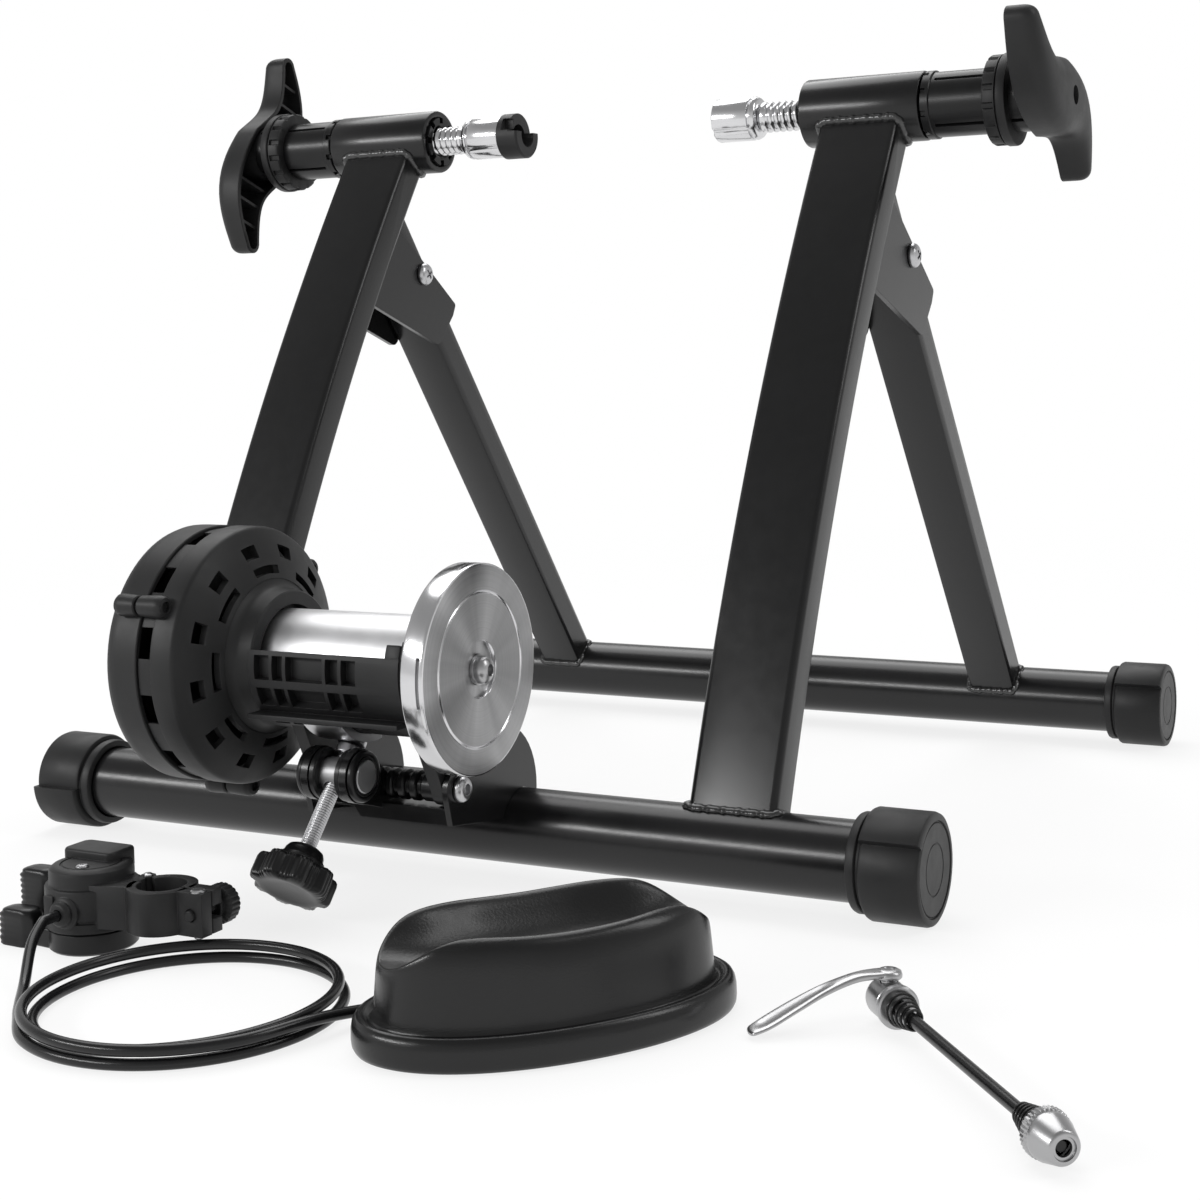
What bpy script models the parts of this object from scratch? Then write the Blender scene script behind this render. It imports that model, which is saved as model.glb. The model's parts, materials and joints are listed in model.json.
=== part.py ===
"""A folding indoor bike trainer: steel stand, screw clamps and a magnetic resistance unit.

Units are metres. +Z is up, +X points to the right-hand clamp and +Y to the rear base tube.
Trainer pieces are modelled with the front base tube's axis at Y = 0 and hang on one empty.
"""

import math

import bmesh
import bpy
from mathutils import Matrix, Vector

MM = 0.001
GAP = 0.3 * MM
RUN = 0.35 * MM
FINE_STEPS = 24
ROUND_STEPS = 18
SMALL_STEPS = 10

# Base tubes and their turning foot caps.
TUBE_RADIUS = 19.05 * MM
TUBE_WALL = 1.5 * MM
BASE_SPACING = 420.0 * MM
FRONT_SPAN = 520.0 * MM
REAR_SPAN = 545.0 * MM
FOOT_RADIUS = 26.0 * MM
FOOT_STEP = 2.0 * MM
FOOT_LENGTH = 36.0 * MM
FOOT_END_WALL = 5.0 * MM
FOOT_COLLAR_WIDTH = 5.0 * MM
FOOT_COLLAR_DROP = 1.0 * MM
FOOT_GROOVE_WIDTH = 1.6 * MM
FOOT_GROOVE_DEPTH = 1.6 * MM
FOOT_DISH_RADIUS = 17.5 * MM
FOOT_DISH_DEPTH = 1.2 * MM
FOOT_PLATEAU = (0.20, 0.70)

# Uprights: gently bent flat-sided tubes from the front tube to the clamp housings.
CLAMP_Y = 200.0 * MM
CLAMP_Z = 393.0 * MM
UPRIGHT_X = 159.7 * MM
UPRIGHT_WIDTH = 46.0 * MM
UPRIGHT_DEPTH = 21.0 * MM
UPRIGHT_CORNER = 3.5 * MM
UPRIGHT_BOW = 14.5 * MM
STEEL_WALL = 1.8 * MM

# Rear legs and the fold hinge.
HINGE_Y = 207.0 * MM
HINGE_Z = 311.5 * MM
LEG_X = 162.0 * MM
LEG_WIDTH = 30.0 * MM
LEG_DEPTH = 21.5 * MM
LEG_CORNER = 3.0 * MM
PLATE = 3.0 * MM
HINGE_BOLT_RADIUS = 4.0 * MM
HINGE_HEAD_RADIUS = 7.0 * MM
HINGE_HEAD_HEIGHT = 4.5 * MM

# Clamps. Distances are from the middle of the trainer outwards along X.
HOUSING_RADIUS = 19.1 * MM
HOUSING_BORE = 15.0 * MM
HOUSING_IN = 124.0 * MM
HOUSING_OUT = 194.0 * MM
SPINDLE_RADIUS = 8.75 * MM
SPINDLE_NOSE_RADIUS = 5.0 * MM
SPINDLE_NOSE = 8.0 * MM
TIP_RADIUS = 12.5 * MM
TIP_LENGTH = 26.5 * MM
TIP_CUP_RADIUS = 9.6 * MM
TIP_CUP_DEPTH = 13.0 * MM
TIP_INNER_END = {"left": 75.5 * MM, "right": 67.5 * MM}
INSERT_REACH = 14.5 * MM
INSERT_RADIUS = 13.7 * MM
BUSHING_DEPTH = 18.0 * MM
BUSHING_PROUD = 1.5 * MM
SLEEVE_RADIUS = 17.8 * MM
SLEEVE_IN = 152.0 * MM
COLLAR_RADIUS = 18.7 * MM
COLLAR_WIDTH = 5.0 * MM
RING_IN = 231.0 * MM
RING_WIDTH = 13.0 * MM
RING_RADIUS = 25.0 * MM
RING_TOOTH_DEPTH = 2.0 * MM
RING_TEETH = 15
HANDLE_IN = 254.0 * MM
HANDLE_DEPTH = 22.0 * MM
HANDLE_REACH = 62.0 * MM
HANDLE_SWAY = 11.0 * MM
HANDLE_HUB_WIDTH = 21.0 * MM
HANDLE_TIP_RADIUS = 6.5 * MM
HANDLE_WALL = 2.6 * MM
HANDLE_HUB_RADIUS = 16.5 * MM
HANDLE_TURN = {"left": -20.5, "right": 55.0}

# Resistance unit: the rotor axis, the tilt pivot and the tension screw.
ROTOR_Y = -65.0 * MM
ROTOR_Z = 117.0 * MM
ROLLER_RADIUS = 24.0 * MM
ROLLER_LEFT = -52.0 * MM
ROLLER_RIGHT = 36.0 * MM
ROLLER_CLEAR = 1.6 * MM
AXLE_RADIUS = 5.0 * MM
FLYWHEEL_RADIUS = 50.0 * MM
FLYWHEEL_IN = 48.8 * MM
FLYWHEEL_THICK = 12.0 * MM
BEARING_RADIUS = 11.0 * MM
BEARING_WIDTH = 6.0 * MM
BEARING_LEFT_X = -62.0 * MM
BEARING_RIGHT_X = 37.3 * MM
SHELL_RADIUS = 64.0 * MM
SHELL_WALL = 2.6 * MM
SHELL_SPLIT = -91.7 * MM
SHELL_RIM = -70.0 * MM
SHELL_END = -113.7 * MM
NECK_RADIUS = 33.0 * MM
NECK_X = -48.0 * MM
DISC_RADIUS = 53.0 * MM
DISC_THICK = 3.5 * MM
DISC_X = -87.5 * MM
MAGNET_RADIUS = 52.0 * MM
MAGNET_PLATE = 2.5 * MM
MAGNET_HEIGHT = 3.5 * MM
MAGNET_COUNT = 6
PIVOT_Y = -57.0 * MM
PIVOT_Z = 57.0 * MM
PIVOT_RADIUS = 4.0 * MM
BRACKET_HALF = 42.0 * MM
LEG_PLATE = 7.0 * MM
SCREW_X = -11.0 * MM
BARREL_Y = -81.0 * MM
BARREL_Z = 65.0 * MM
BARREL_RADIUS = 8.0 * MM
BARREL_HALF = 16.5 * MM
SCREW_RADIUS = 4.0 * MM
SCREW_LEAN = math.radians(42.0)
SCREW_DOWN = 62.5 * MM
SWIVEL_RADIUS = 6.0 * MM
SWIVEL_START = 9.6 * MM
SWIVEL_HEIGHT = 6.4 * MM
PAD_START = 16.5 * MM
PAD_SEAT = 3.0 * MM
PAD_THICK = 4.2 * MM
PAD_HALF = 11.0 * MM
PAD_ANGLES = (224.0, 278.0)
KNOB_RADIUS = 20.0 * MM
KNOB_THICK = 13.0 * MM
KNOB_LOBES = 8
YOKE_RADIUS = 13.0 * MM
YOKE_PLATE = 4.0 * MM
YOKE_OFFSET = 9.0 * MM

SHELL_BOSSES = (32.0, 152.0, 272.0)
NOTCH_START = 17.0
CRADLE_POCKETS = (
    (-45.5 * MM, -37.0 * MM), (-35.0 * MM, -29.0 * MM), (-27.0 * MM, -6.0 * MM), (-4.0 * MM, 3.0 * MM),
    (5.0 * MM, 13.0 * MM),
)
RIM_SLOTS = (88.0, 178.0, 268.0)
POST_RADIUS = 6.0 * MM
POST_END = -91.5 * MM
MAGNET_X = -102.5 * MM
MAGNET_RING = 38.0 * MM
MOON_CENTRE = (-20.0 * MM, 45.0 * MM)
MOON_RADIUS = 35.6 * MM
CHEEK_LOBE = 11.0 * MM

# Thumb shifter, in its own frame: the drum stands on the floor at the origin.
DRUM_RADIUS = 21.0 * MM
DRUM_LOW = 10.0 * MM
DRUM_HIGH = 38.0 * MM
LEVER_LOW = 0.0
BAR_CENTRE = (41.0 * MM, 0.0)
BAR_RADIUS = 11.2 * MM
JAW_RADIUS = 16.0 * MM
JAW_LOW = 12.5 * MM
JAW_HIGH = 32.0 * MM
JAW_HINGE = (25.0 * MM, 9.25 * MM)
JAW_HALF_GAP = 0.3 * MM
HINGE_KNUCKLE = 3.6 * MM
HINGE_SPLIT = 22.0 * MM
THUMB_SPOT = (62.5 * MM, 0.0)
THUMB_Z = 22.0 * MM
THUMB_ROD = 2.5 * MM
THUMB_REACH = 8.5 * MM
THUMB_HEAD = 9.0 * MM
STRAP_SWING_ROOM = 1.2 * MM
GLAND_SPOT = (2.0 * MM, 0.0)
GLAND_END = 25.0 * MM

# The shifter's cable, in the shifter's frame.
CABLE_RADIUS = 2.4 * MM
CABLE_EXIT_Z = 20.0 * MM
CABLE_CENTRE = (100.0 * MM, -55.0 * MM)
CABLE_LOOP = 67.0 * MM
CABLE_DRAW = 6.0 * MM
CABLE_TURNS = 2.36
CABLE_START = 215.0
CABLE_LAYER = 5.6 * MM
CABLE_CLIMB = 0.5
CABLE_STEP = 14.0 * MM
CABLE_LEAD = (
    (7.0 * MM, -46.0 * MM, 14.0 * MM), (20.0 * MM, -64.0 * MM, 4.2 * MM), (33.0 * MM, -80.0 * MM, 2.5 * MM),
)
CABLE_TAIL = (
    (170.4 * MM, -51.0 * MM, 6.8 * MM), (175.5 * MM, -32.0 * MM, 4.2 * MM),
    (179.5 * MM, -16.0 * MM, 2.8 * MM), (182.0 * MM, -6.0 * MM, 2.5 * MM),
)

# Front wheel block.
BLOCK_LENGTH = 160.0 * MM
BLOCK_WIDTH = 95.0 * MM
BLOCK_HEIGHT = 48.0 * MM
BLOCK_BASE_HEIGHT = 14.0 * MM
BLOCK_TROUGH_FLOOR = 27.0 * MM
WHEEL_RADIUS = 345.0 * MM
BLOCK_SECTION = [
    (-30.0 * MM, -22.0 * MM), (-22.0 * MM, -14.0 * MM), (-14.0 * MM, -4.5 * MM), (-7.0 * MM, -1.0 * MM),
    (0.0, 0.0), (7.0 * MM, -1.0 * MM), (14.0 * MM, -4.5 * MM), (22.0 * MM, -14.0 * MM),
    (30.0 * MM, -22.0 * MM),
]

# Rear axle skewer, along X in its own frame.
SKEWER_HALF = 62.0 * MM
SKEWER_RADIUS = 2.5 * MM
SKEWER_HEIGHT = 9.0 * MM
LEVER_PIN = 3.2 * MM
SPRING_WIRE = 0.55 * MM
LEVER_STATIONS = (
    (0.0, 4.5 * MM, 10.6 * MM, 9.0 * MM, 2.6 * MM), (-0.5 * MM, -5.0 * MM, 10.8 * MM, 8.6 * MM, 3.0 * MM),
    (-2.0 * MM, -14.0 * MM, 9.6 * MM, 7.0 * MM, 3.2 * MM), (-3.5 * MM, -26.0 * MM, 5.6 * MM, 9.0 * MM, 3.0 * MM),
    (-4.0 * MM, -38.0 * MM, 0.4 * MM, 11.5 * MM, 2.6 * MM), (-3.0 * MM, -50.0 * MM, -4.6 * MM, 12.0 * MM, 2.4 * MM),
    (-1.5 * MM, -58.0 * MM, -7.0 * MM, 8.0 * MM, 2.0 * MM),
)

BASE_Z = FOOT_RADIUS

# Where things stand on the floor: the trainer, and the loose pieces from its front tube's middle.
TRAINER_SPOT = (-56.8 * MM, -97.9 * MM, 0.0)
SHIFTER_SPOT = (-84.0 * MM, -172.0 * MM, 0.0)
SHIFTER_TURN = 0.0
BLOCK_SPOT = (160.0 * MM, -180.0 * MM, 0.0)
BLOCK_TURN = 52.0
SKEWER_SPOT = (332.0 * MM, -180.0 * MM, 0.0)
SKEWER_TURN = -48.0

BLACK_STEEL = ((0.018, 0.018, 0.019), 0.42, 0.3)
BLACK_PLASTIC = ((0.022, 0.022, 0.023), 0.55, 0.0)
CHROME = ((0.82, 0.82, 0.83), 0.12, 1.0)
TURNED_STEEL = ((0.62, 0.62, 0.63), 0.32, 1.0)
ZINC = ((0.55, 0.55, 0.56), 0.38, 1.0)
NYLON = ((0.03, 0.03, 0.031), 0.5, 0.0)


def remove_all_objects():
    """Empty the scene."""
    for item in list(bpy.data.objects):
        bpy.data.objects.remove(item)


def polar(radius, degrees, centre=(0.0, 0.0)):
    """A point on a circle."""
    angle = math.radians(degrees)
    return (centre[0] + radius * math.cos(angle), centre[1] + radius * math.sin(angle))


def arc(centre, radius, start, end, steps):
    """Points along an arc, both ends included."""
    return [polar(radius, start + (end - start) * i / steps, centre) for i in range(steps + 1)]


def circle(radius, steps, centre=(0.0, 0.0)):
    """Points round a full circle."""
    return [polar(radius, 360.0 * i / steps, centre) for i in range(steps)]


def rounded(points, radius, steps=4):
    """Round every corner of an outline; a radius can be one value or one for each corner."""
    radii = radius if isinstance(radius, (list, tuple)) else [radius] * len(points)
    result = []
    for i, point in enumerate(points):
        corner = Vector(point)
        before = Vector(points[i - 1]) - corner
        after = Vector(points[(i + 1) % len(points)]) - corner
        half = before.angle(after) / 2.0
        cut = radii[i] / math.tan(half) if radii[i] > 0.0 else 0.0
        if cut <= 0.0:
            result.append(tuple(corner))
            continue
        cut = min(cut, before.length * 0.49, after.length * 0.49)
        start = corner + before.normalized() * cut
        end = corner + after.normalized() * cut
        centre = corner + (before.normalized() + after.normalized()).normalized() * (
            cut / math.cos(half)
        )
        first = start - centre
        turn = first.angle_signed(end - centre)
        for k in range(steps + 1):
            angle = -turn * k / steps
            spoke = Matrix.Rotation(angle, 2) @ first
            result.append(tuple(centre + spoke))
    return result


def rectangle(width, depth, corner, steps=2):
    """A rounded rectangle centred on zero."""
    x, y = width / 2.0, depth / 2.0
    return rounded([(-x, -y), (x, -y), (x, y), (-x, y)], corner, steps)


def work_object(bm):
    """Wrap a bmesh in a working object with its faces pointing out."""
    bmesh.ops.remove_doubles(bm, verts=bm.verts, dist=1e-7)
    bmesh.ops.recalc_face_normals(bm, faces=bm.faces)
    mesh = bpy.data.meshes.new("work")
    bm.to_mesh(mesh)
    bm.free()
    result = bpy.data.objects.new("work", mesh)
    bpy.context.collection.objects.link(result)
    return result


def loft(rings):
    """A closed solid through rings of points, with a flat face on each end."""
    bm = bmesh.new()
    loops = [[bm.verts.new(point) for point in ring] for ring in rings]
    count = len(rings[0])
    for low, high in zip(loops, loops[1:]):
        for i in range(count):
            k = (i + 1) % count
            bm.faces.new((low[i], low[k], high[k], high[i]))
    bm.faces.new(list(reversed(loops[0])))
    bm.faces.new(loops[-1])
    return work_object(bm)


def prism(outline, low, high, axis="X"):
    """Extrude an outline along an axis; for X it lies in (y, z), for Z in (x, y)."""

    def point(pair, along):
        if axis == "X":
            return (along, pair[0], pair[1])
        if axis == "Y":
            return (pair[0], along, pair[1])
        return (pair[0], pair[1], along)

    return loft([[point(p, low) for p in outline], [point(p, high) for p in outline]])


def box(low, high):
    """A box between two corners."""
    outline = [(low[0], low[1]), (high[0], low[1]), (high[0], high[1]), (low[0], high[1])]
    return prism(outline, low[2], high[2], "Z")


def turned(profile, steps, origin=(0.0, 0.0, 0.0), axis=(1.0, 0.0, 0.0), closed=True):
    """Turn a profile of (radius, along) points round an axis through the origin point."""
    frame = Matrix.Translation(origin) @ Vector((0.0, 0.0, 1.0)).rotation_difference(
        Vector(axis)
    ).to_matrix().to_4x4()
    bm = bmesh.new()
    rings = []
    for radius, along in profile:
        if radius < 1e-9:
            rings.append([bm.verts.new(frame @ Vector((0.0, 0.0, along)))])
            continue
        ring = []
        for i in range(steps):
            x, y = polar(radius, 360.0 * i / steps)
            ring.append(bm.verts.new(frame @ Vector((x, y, along))))
        rings.append(ring)
    pairs = list(zip(rings, rings[1:]))
    if closed:
        pairs.append((rings[-1], rings[0]))
    for low, high in pairs:
        for i in range(steps):
            k = (i + 1) % steps
            corners = [low[i % len(low)], low[k % len(low)], high[k % len(high)], high[i % len(high)]]
            unique = list(dict.fromkeys(corners))
            if len(unique) > 2:
                bm.faces.new(unique)
    return work_object(bm)


def pipe(inner, outer, low, high, steps, origin=(0.0, 0.0, 0.0), axis=(1.0, 0.0, 0.0)):
    """A tube wall between two radii."""
    profile = [(inner, low), (outer, low), (outer, high), (inner, high)]
    return turned(profile, steps, origin, axis)


def rod(radius, low, high, steps, origin=(0.0, 0.0, 0.0), axis=(1.0, 0.0, 0.0)):
    """A plain cylinder."""
    profile = [(0.0, low), (radius, low), (radius, high), (0.0, high)]
    return turned(profile, steps, origin, axis, closed=False)


def in_triangles(item):
    """Split a working object's faces into triangles, so that every face is flat."""
    bm = bmesh.new()
    bm.from_mesh(item.data)
    bmesh.ops.triangulate(bm, faces=bm.faces)
    bm.to_mesh(item.data)
    bm.free()


def simplified(item):
    """Merge the flat faces that Booleans leave in pieces."""
    bm = bmesh.new()
    bm.from_mesh(item.data)
    bmesh.ops.remove_doubles(bm, verts=bm.verts, dist=2e-7)
    bmesh.ops.dissolve_degenerate(bm, edges=bm.edges, dist=1e-7)
    bmesh.ops.dissolve_limit(
        bm, angle_limit=math.radians(0.2), use_dissolve_boundaries=False, verts=bm.verts, edges=bm.edges
    )
    bmesh.ops.triangulate(bm, faces=[face for face in bm.faces if len(face.verts) > 4])
    bm.to_mesh(item.data)
    bm.free()


def combine(operation, first, others):
    """Boolean the other objects into the first and use them up."""
    in_triangles(first)
    for other in others:
        in_triangles(other)
        modifier = first.modifiers.new("combine", "BOOLEAN")
        modifier.operation = operation
        modifier.solver = "EXACT"
        modifier.object = other
        graph = bpy.context.evaluated_depsgraph_get()
        mesh = bpy.data.meshes.new_from_object(first.evaluated_get(graph))
        first.modifiers.clear()
        first.data = mesh
        bpy.data.objects.remove(other)
    simplified(first)
    return first


def cut(first, *others):
    """Take the other solids out of the first."""
    return combine("DIFFERENCE", first, others)


def join(first, *others):
    """Add the other solids to the first."""
    return combine("UNION", first, others)


def moved(item, matrix):
    """Move a working object's mesh."""
    item.data.transform(matrix)
    return item


def around(item, origin, degrees, axis="X"):
    """Turn a working object's mesh about an axis through a point."""
    shift = Matrix.Translation(origin)
    return moved(item, shift @ Matrix.Rotation(math.radians(degrees), 4, axis) @ shift.inverted())


def material_for(name, finish):
    """The part's own material."""
    colour, roughness, metallic = finish
    material = bpy.data.materials.new(name + "_finish")
    material.use_nodes = True
    shader = material.node_tree.nodes["Principled BSDF"]
    shader.inputs["Base Color"].default_value = (*colour, 1.0)
    shader.inputs["Roughness"].default_value = roughness
    shader.inputs["Metallic"].default_value = metallic
    return material


def part(name, item, finish, parent, origin=(0.0, 0.0, 0.0), smooth=35.0):
    """Name a finished solid, set its origin, shade it and hang it on its parent."""
    item.name = name
    item.data.name = name
    item.data.transform(Matrix.Translation(origin).inverted())
    item.data.materials.clear()
    item.data.materials.append(material_for(name, finish))
    item.data.shade_smooth()
    item.data.set_sharp_from_angle(angle=math.radians(smooth))
    item.parent = parent
    item.location = origin
    return item


def sign_of(side):
    """-1 on the left and +1 on the right."""
    return -1.0 if side == "left" else 1.0


def base_tube(name, span, y, parent):
    """A round base tube that ends just inside its two foot caps."""
    half = span / 2.0 - FOOT_END_WALL - GAP
    tube = pipe(TUBE_RADIUS - TUBE_WALL, TUBE_RADIUS, -half, half, FINE_STEPS, (0.0, y, BASE_Z))
    part(name, tube, BLACK_STEEL, parent, (0.0, y, BASE_Z))


def foot_outline(start, sense):
    """The levelling cam: a spiral with one step and a level stretch that stands on the floor."""
    points = []
    steps = 30
    widen = 1.0 / math.cos(math.pi / steps)
    for i in range(steps + 1):
        turn = i / steps
        lift = 0.0
        if turn < FOOT_PLATEAU[0]:
            lift = FOOT_STEP * (1.0 - turn / FOOT_PLATEAU[0])
        elif turn > FOOT_PLATEAU[1]:
            lift = -FOOT_STEP * (turn - FOOT_PLATEAU[1]) / (1.0 - FOOT_PLATEAU[1])
        points.append(polar(FOOT_RADIUS * widen + lift, start + sense * 360.0 * turn))
    return points


def foot_cap(name, side, span, y, parent):
    """A foot cap: a cup on the tube's end whose outer wall is a cam with a step."""
    sign = sign_of(side)
    start, sense = (180.0, 1.0) if side == "left" else (144.0, -1.0)
    outer = sign * span / 2.0
    inner = outer - sign * FOOT_LENGTH
    centre = (0.0, y, BASE_Z)
    shift = Matrix.Translation(centre)
    cam_start = inner + sign * (FOOT_COLLAR_WIDTH + FOOT_GROOVE_WIDTH)
    cam = moved(prism(foot_outline(start, sense), min(cam_start, outer), max(cam_start, outer)), shift)
    reach = TUBE_RADIUS + RUN
    groove = FOOT_RADIUS - FOOT_STEP - FOOT_GROOVE_DEPTH
    collar = FOOT_RADIUS - FOOT_COLLAR_DROP
    step_at = inner + sign * FOOT_COLLAR_WIDTH
    profile = [
        (reach - GAP, inner),
        (collar - 0.8 * MM, inner),
        (collar, inner + sign * 0.8 * MM),
        (collar, step_at),
        (groove, step_at),
        (groove, cam_start + sign * MM),
        (reach - GAP, cam_start + sign * MM),
    ]
    cap = join(cam, turned(profile, FINE_STEPS, centre))
    bore_end = outer - sign * FOOT_END_WALL
    cap = cut(
        cap,
        rod(reach, min(inner - sign * MM, bore_end), max(inner - sign * MM, bore_end), FINE_STEPS, centre),
    )
    dish = outer - sign * FOOT_DISH_DEPTH
    past = outer + sign * MM
    cap = cut(cap, rod(FOOT_DISH_RADIUS, min(dish, past), max(dish, past), ROUND_STEPS, centre))
    part(name, cap, BLACK_PLASTIC, parent, centre)


def upright_point(share):
    """The upright's centre line from the front tube's axis to the clamp axis, as (y, z)."""
    bow = UPRIGHT_BOW * 4.0 * share * (1.0 - share)
    return (CLAMP_Y * share - bow, BASE_Z + (CLAMP_Z - BASE_Z) * share)


def upright_sweep(side, grow, start, end, steps=8):
    """The upright's outline swept along its centre line, thickened by an allowance."""
    sign = sign_of(side)
    section = rectangle(UPRIGHT_WIDTH + 2.0 * grow, UPRIGHT_DEPTH + 2.0 * grow, UPRIGHT_CORNER + grow)
    rings = []
    for i in range(steps + 1):
        share = start + (end - start) * i / steps
        y, z = upright_point(share)
        before = upright_point(share - 0.01)
        after = upright_point(share + 0.01)
        run = Vector((after[0] - before[0], after[1] - before[1])).normalized()
        rings.append(
            [(sign * UPRIGHT_X + a, y + b * run[1], z - b * run[0]) for a, b in section]
        )
    return loft(rings)


def upright(side, parent):
    """A bent box tube, coped onto the front tube and the clamp housing."""
    body = upright_sweep(side, 0.0, 0.02, 0.985)
    hollow = upright_sweep(side, -STEEL_WALL, 0.015, 0.99)
    front = rod(TUBE_RADIUS + GAP, -FRONT_SPAN / 2.0, FRONT_SPAN / 2.0, FINE_STEPS, (0.0, 0.0, BASE_Z))
    housing = rod(HOUSING_RADIUS + GAP, -HOUSING_OUT, HOUSING_OUT, FINE_STEPS, (0.0, CLAMP_Y, CLAMP_Z))
    body = cut(body, hollow, front, housing)
    part(side + "_upright", body, BLACK_STEEL, parent)


def leg_direction():
    """The rear leg's direction from the rear tube up to the hinge, as (y, z)."""
    return Vector((HINGE_Y - BASE_SPACING, HINGE_Z - BASE_Z)).normalized()


def leg_sweep(side, grow, low, high):
    """The rear leg's outline between two distances from the rear tube's axis."""
    sign = sign_of(side)
    run = leg_direction()
    section = rectangle(LEG_WIDTH + 2.0 * grow, LEG_DEPTH + 2.0 * grow, LEG_CORNER + grow)
    rings = []
    for along in (low, high):
        y = BASE_SPACING + run[0] * along
        z = BASE_Z + run[1] * along
        rings.append([(sign * LEG_X + a, y + b * run[1], z - b * run[0]) for a, b in section])
    return loft(rings)


def hinge_normal():
    """The upright's direction and rear-facing normal beside the hinge, as (y, z) pairs."""
    share = (HINGE_Z + 8.0 * MM - BASE_Z) / (CLAMP_Z - BASE_Z)
    low = Vector(upright_point(share - 0.02))
    high = Vector(upright_point(share + 0.02))
    run = (high - low).normalized()
    return run, Vector((run[1], -run[0])), Vector(upright_point(share))


def leg_heel():
    """How far the leg runs past the hinge until its heel meets the bracket's web."""
    run, normal, beside = hinge_normal()
    hinge = Vector((HINGE_Y, HINGE_Z))
    face = (hinge - beside).dot(normal) - UPRIGHT_DEPTH / 2.0 - 2.0 * GAP - PLATE
    leg = leg_direction()
    corner = LEG_DEPTH / 2.0 * abs(Vector((leg[1], -leg[0])).dot(normal))
    return (face - corner - 2.0 * GAP) / -leg.dot(normal)


def rear_leg(side, parent):
    """A straight box tube from the rear base tube to the fold hinge."""
    length = Vector((HINGE_Y - BASE_SPACING, HINGE_Z - BASE_Z)).length
    top = length + leg_heel()
    body = leg_sweep(side, 0.0, 4.0 * MM, top)
    hollow = leg_sweep(side, -STEEL_WALL, 2.0 * MM, top + MM)
    tube = rod(
        TUBE_RADIUS + GAP, -REAR_SPAN / 2.0, REAR_SPAN / 2.0, FINE_STEPS, (0.0, BASE_SPACING, BASE_Z)
    )
    bolt = rod(HINGE_BOLT_RADIUS + RUN, -UPRIGHT_X * 2.0, UPRIGHT_X * 2.0, SMALL_STEPS, (0.0, HINGE_Y, HINGE_Z))
    body = cut(body, hollow, tube, bolt)
    part(side + "_rear_leg", body, BLACK_STEEL, parent)


def hinge_bracket(side, parent):
    """A folded bracket behind the upright: two cheeks that hold the leg's bolt, and a web."""
    sign = sign_of(side)
    run, normal, beside = hinge_normal()
    hinge = Vector((HINGE_Y, HINGE_Z))
    root_low = beside - run * 24.0 * MM
    root_high = beside + run * 30.0 * MM
    outline = [
        tuple(root_low),
        tuple(hinge + normal * 4.0 * MM - run * 30.0 * MM),
        tuple(hinge + normal * 24.0 * MM - run * 6.0 * MM),
        tuple(hinge + normal * 6.0 * MM + run * 16.0 * MM),
        tuple(root_high),
    ]
    outline = rounded(outline, [0.0, 9.0 * MM, 11.0 * MM, 14.0 * MM, 0.0], 4)
    low = sign * LEG_X - LEG_WIDTH / 2.0 - RUN - PLATE
    high = sign * LEG_X + LEG_WIDTH / 2.0 + RUN + PLATE
    cheeks = prism(outline, low, high)
    room = prism(
        [
            tuple(root_low - run * 40.0 * MM),
            tuple(root_low - run * 40.0 * MM + normal * 120.0 * MM),
            tuple(root_high + run * 40.0 * MM + normal * 120.0 * MM),
            tuple(root_high + run * 40.0 * MM),
        ],
        low + PLATE,
        high - PLATE,
    )
    room = cut(room, upright_sweep(side, GAP + PLATE, 0.2, 0.99, 20))
    bolt = rod(HINGE_BOLT_RADIUS + GAP, low - MM, high + MM, SMALL_STEPS, (0.0, HINGE_Y, HINGE_Z))
    cheeks = cut(cheeks, room, upright_sweep(side, GAP, 0.2, 0.99, 20), bolt)
    part(side + "_hinge_bracket", cheeks, BLACK_STEEL, parent)


def hinge_bolt(side, parent):
    """The fold bolt, with a low round head on its +X end and a thin nut on the other."""
    low = sign_of(side) * LEG_X - LEG_WIDTH / 2.0 - RUN - PLATE - GAP
    high = sign_of(side) * LEG_X + LEG_WIDTH / 2.0 + RUN + PLATE + GAP
    centre = (0.0, HINGE_Y, HINGE_Z)
    profile = [
        (0.0, low - HINGE_HEAD_HEIGHT - MM),
        (HINGE_BOLT_RADIUS, low - HINGE_HEAD_HEIGHT - MM),
        (HINGE_BOLT_RADIUS, high),
        (HINGE_HEAD_RADIUS, high),
        (HINGE_HEAD_RADIUS, high + HINGE_HEAD_HEIGHT * 0.5),
        (HINGE_HEAD_RADIUS * 0.6, high + HINGE_HEAD_HEIGHT),
        (0.0, high + HINGE_HEAD_HEIGHT),
    ]
    bolt = turned(profile, SMALL_STEPS, centre, closed=False)
    nut = prism(
        circle(HINGE_HEAD_RADIUS, 6, (HINGE_Y, HINGE_Z)), low - HINGE_HEAD_HEIGHT, low
    )
    part(side + "_hinge_bolt", join(bolt, nut), ZINC, parent, centre)


def clamp_axis(side):
    """The clamp axis point in the trainer's middle and the outward direction."""
    return (0.0, CLAMP_Y, CLAMP_Z), (sign_of(side), 0.0, 0.0)


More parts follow.
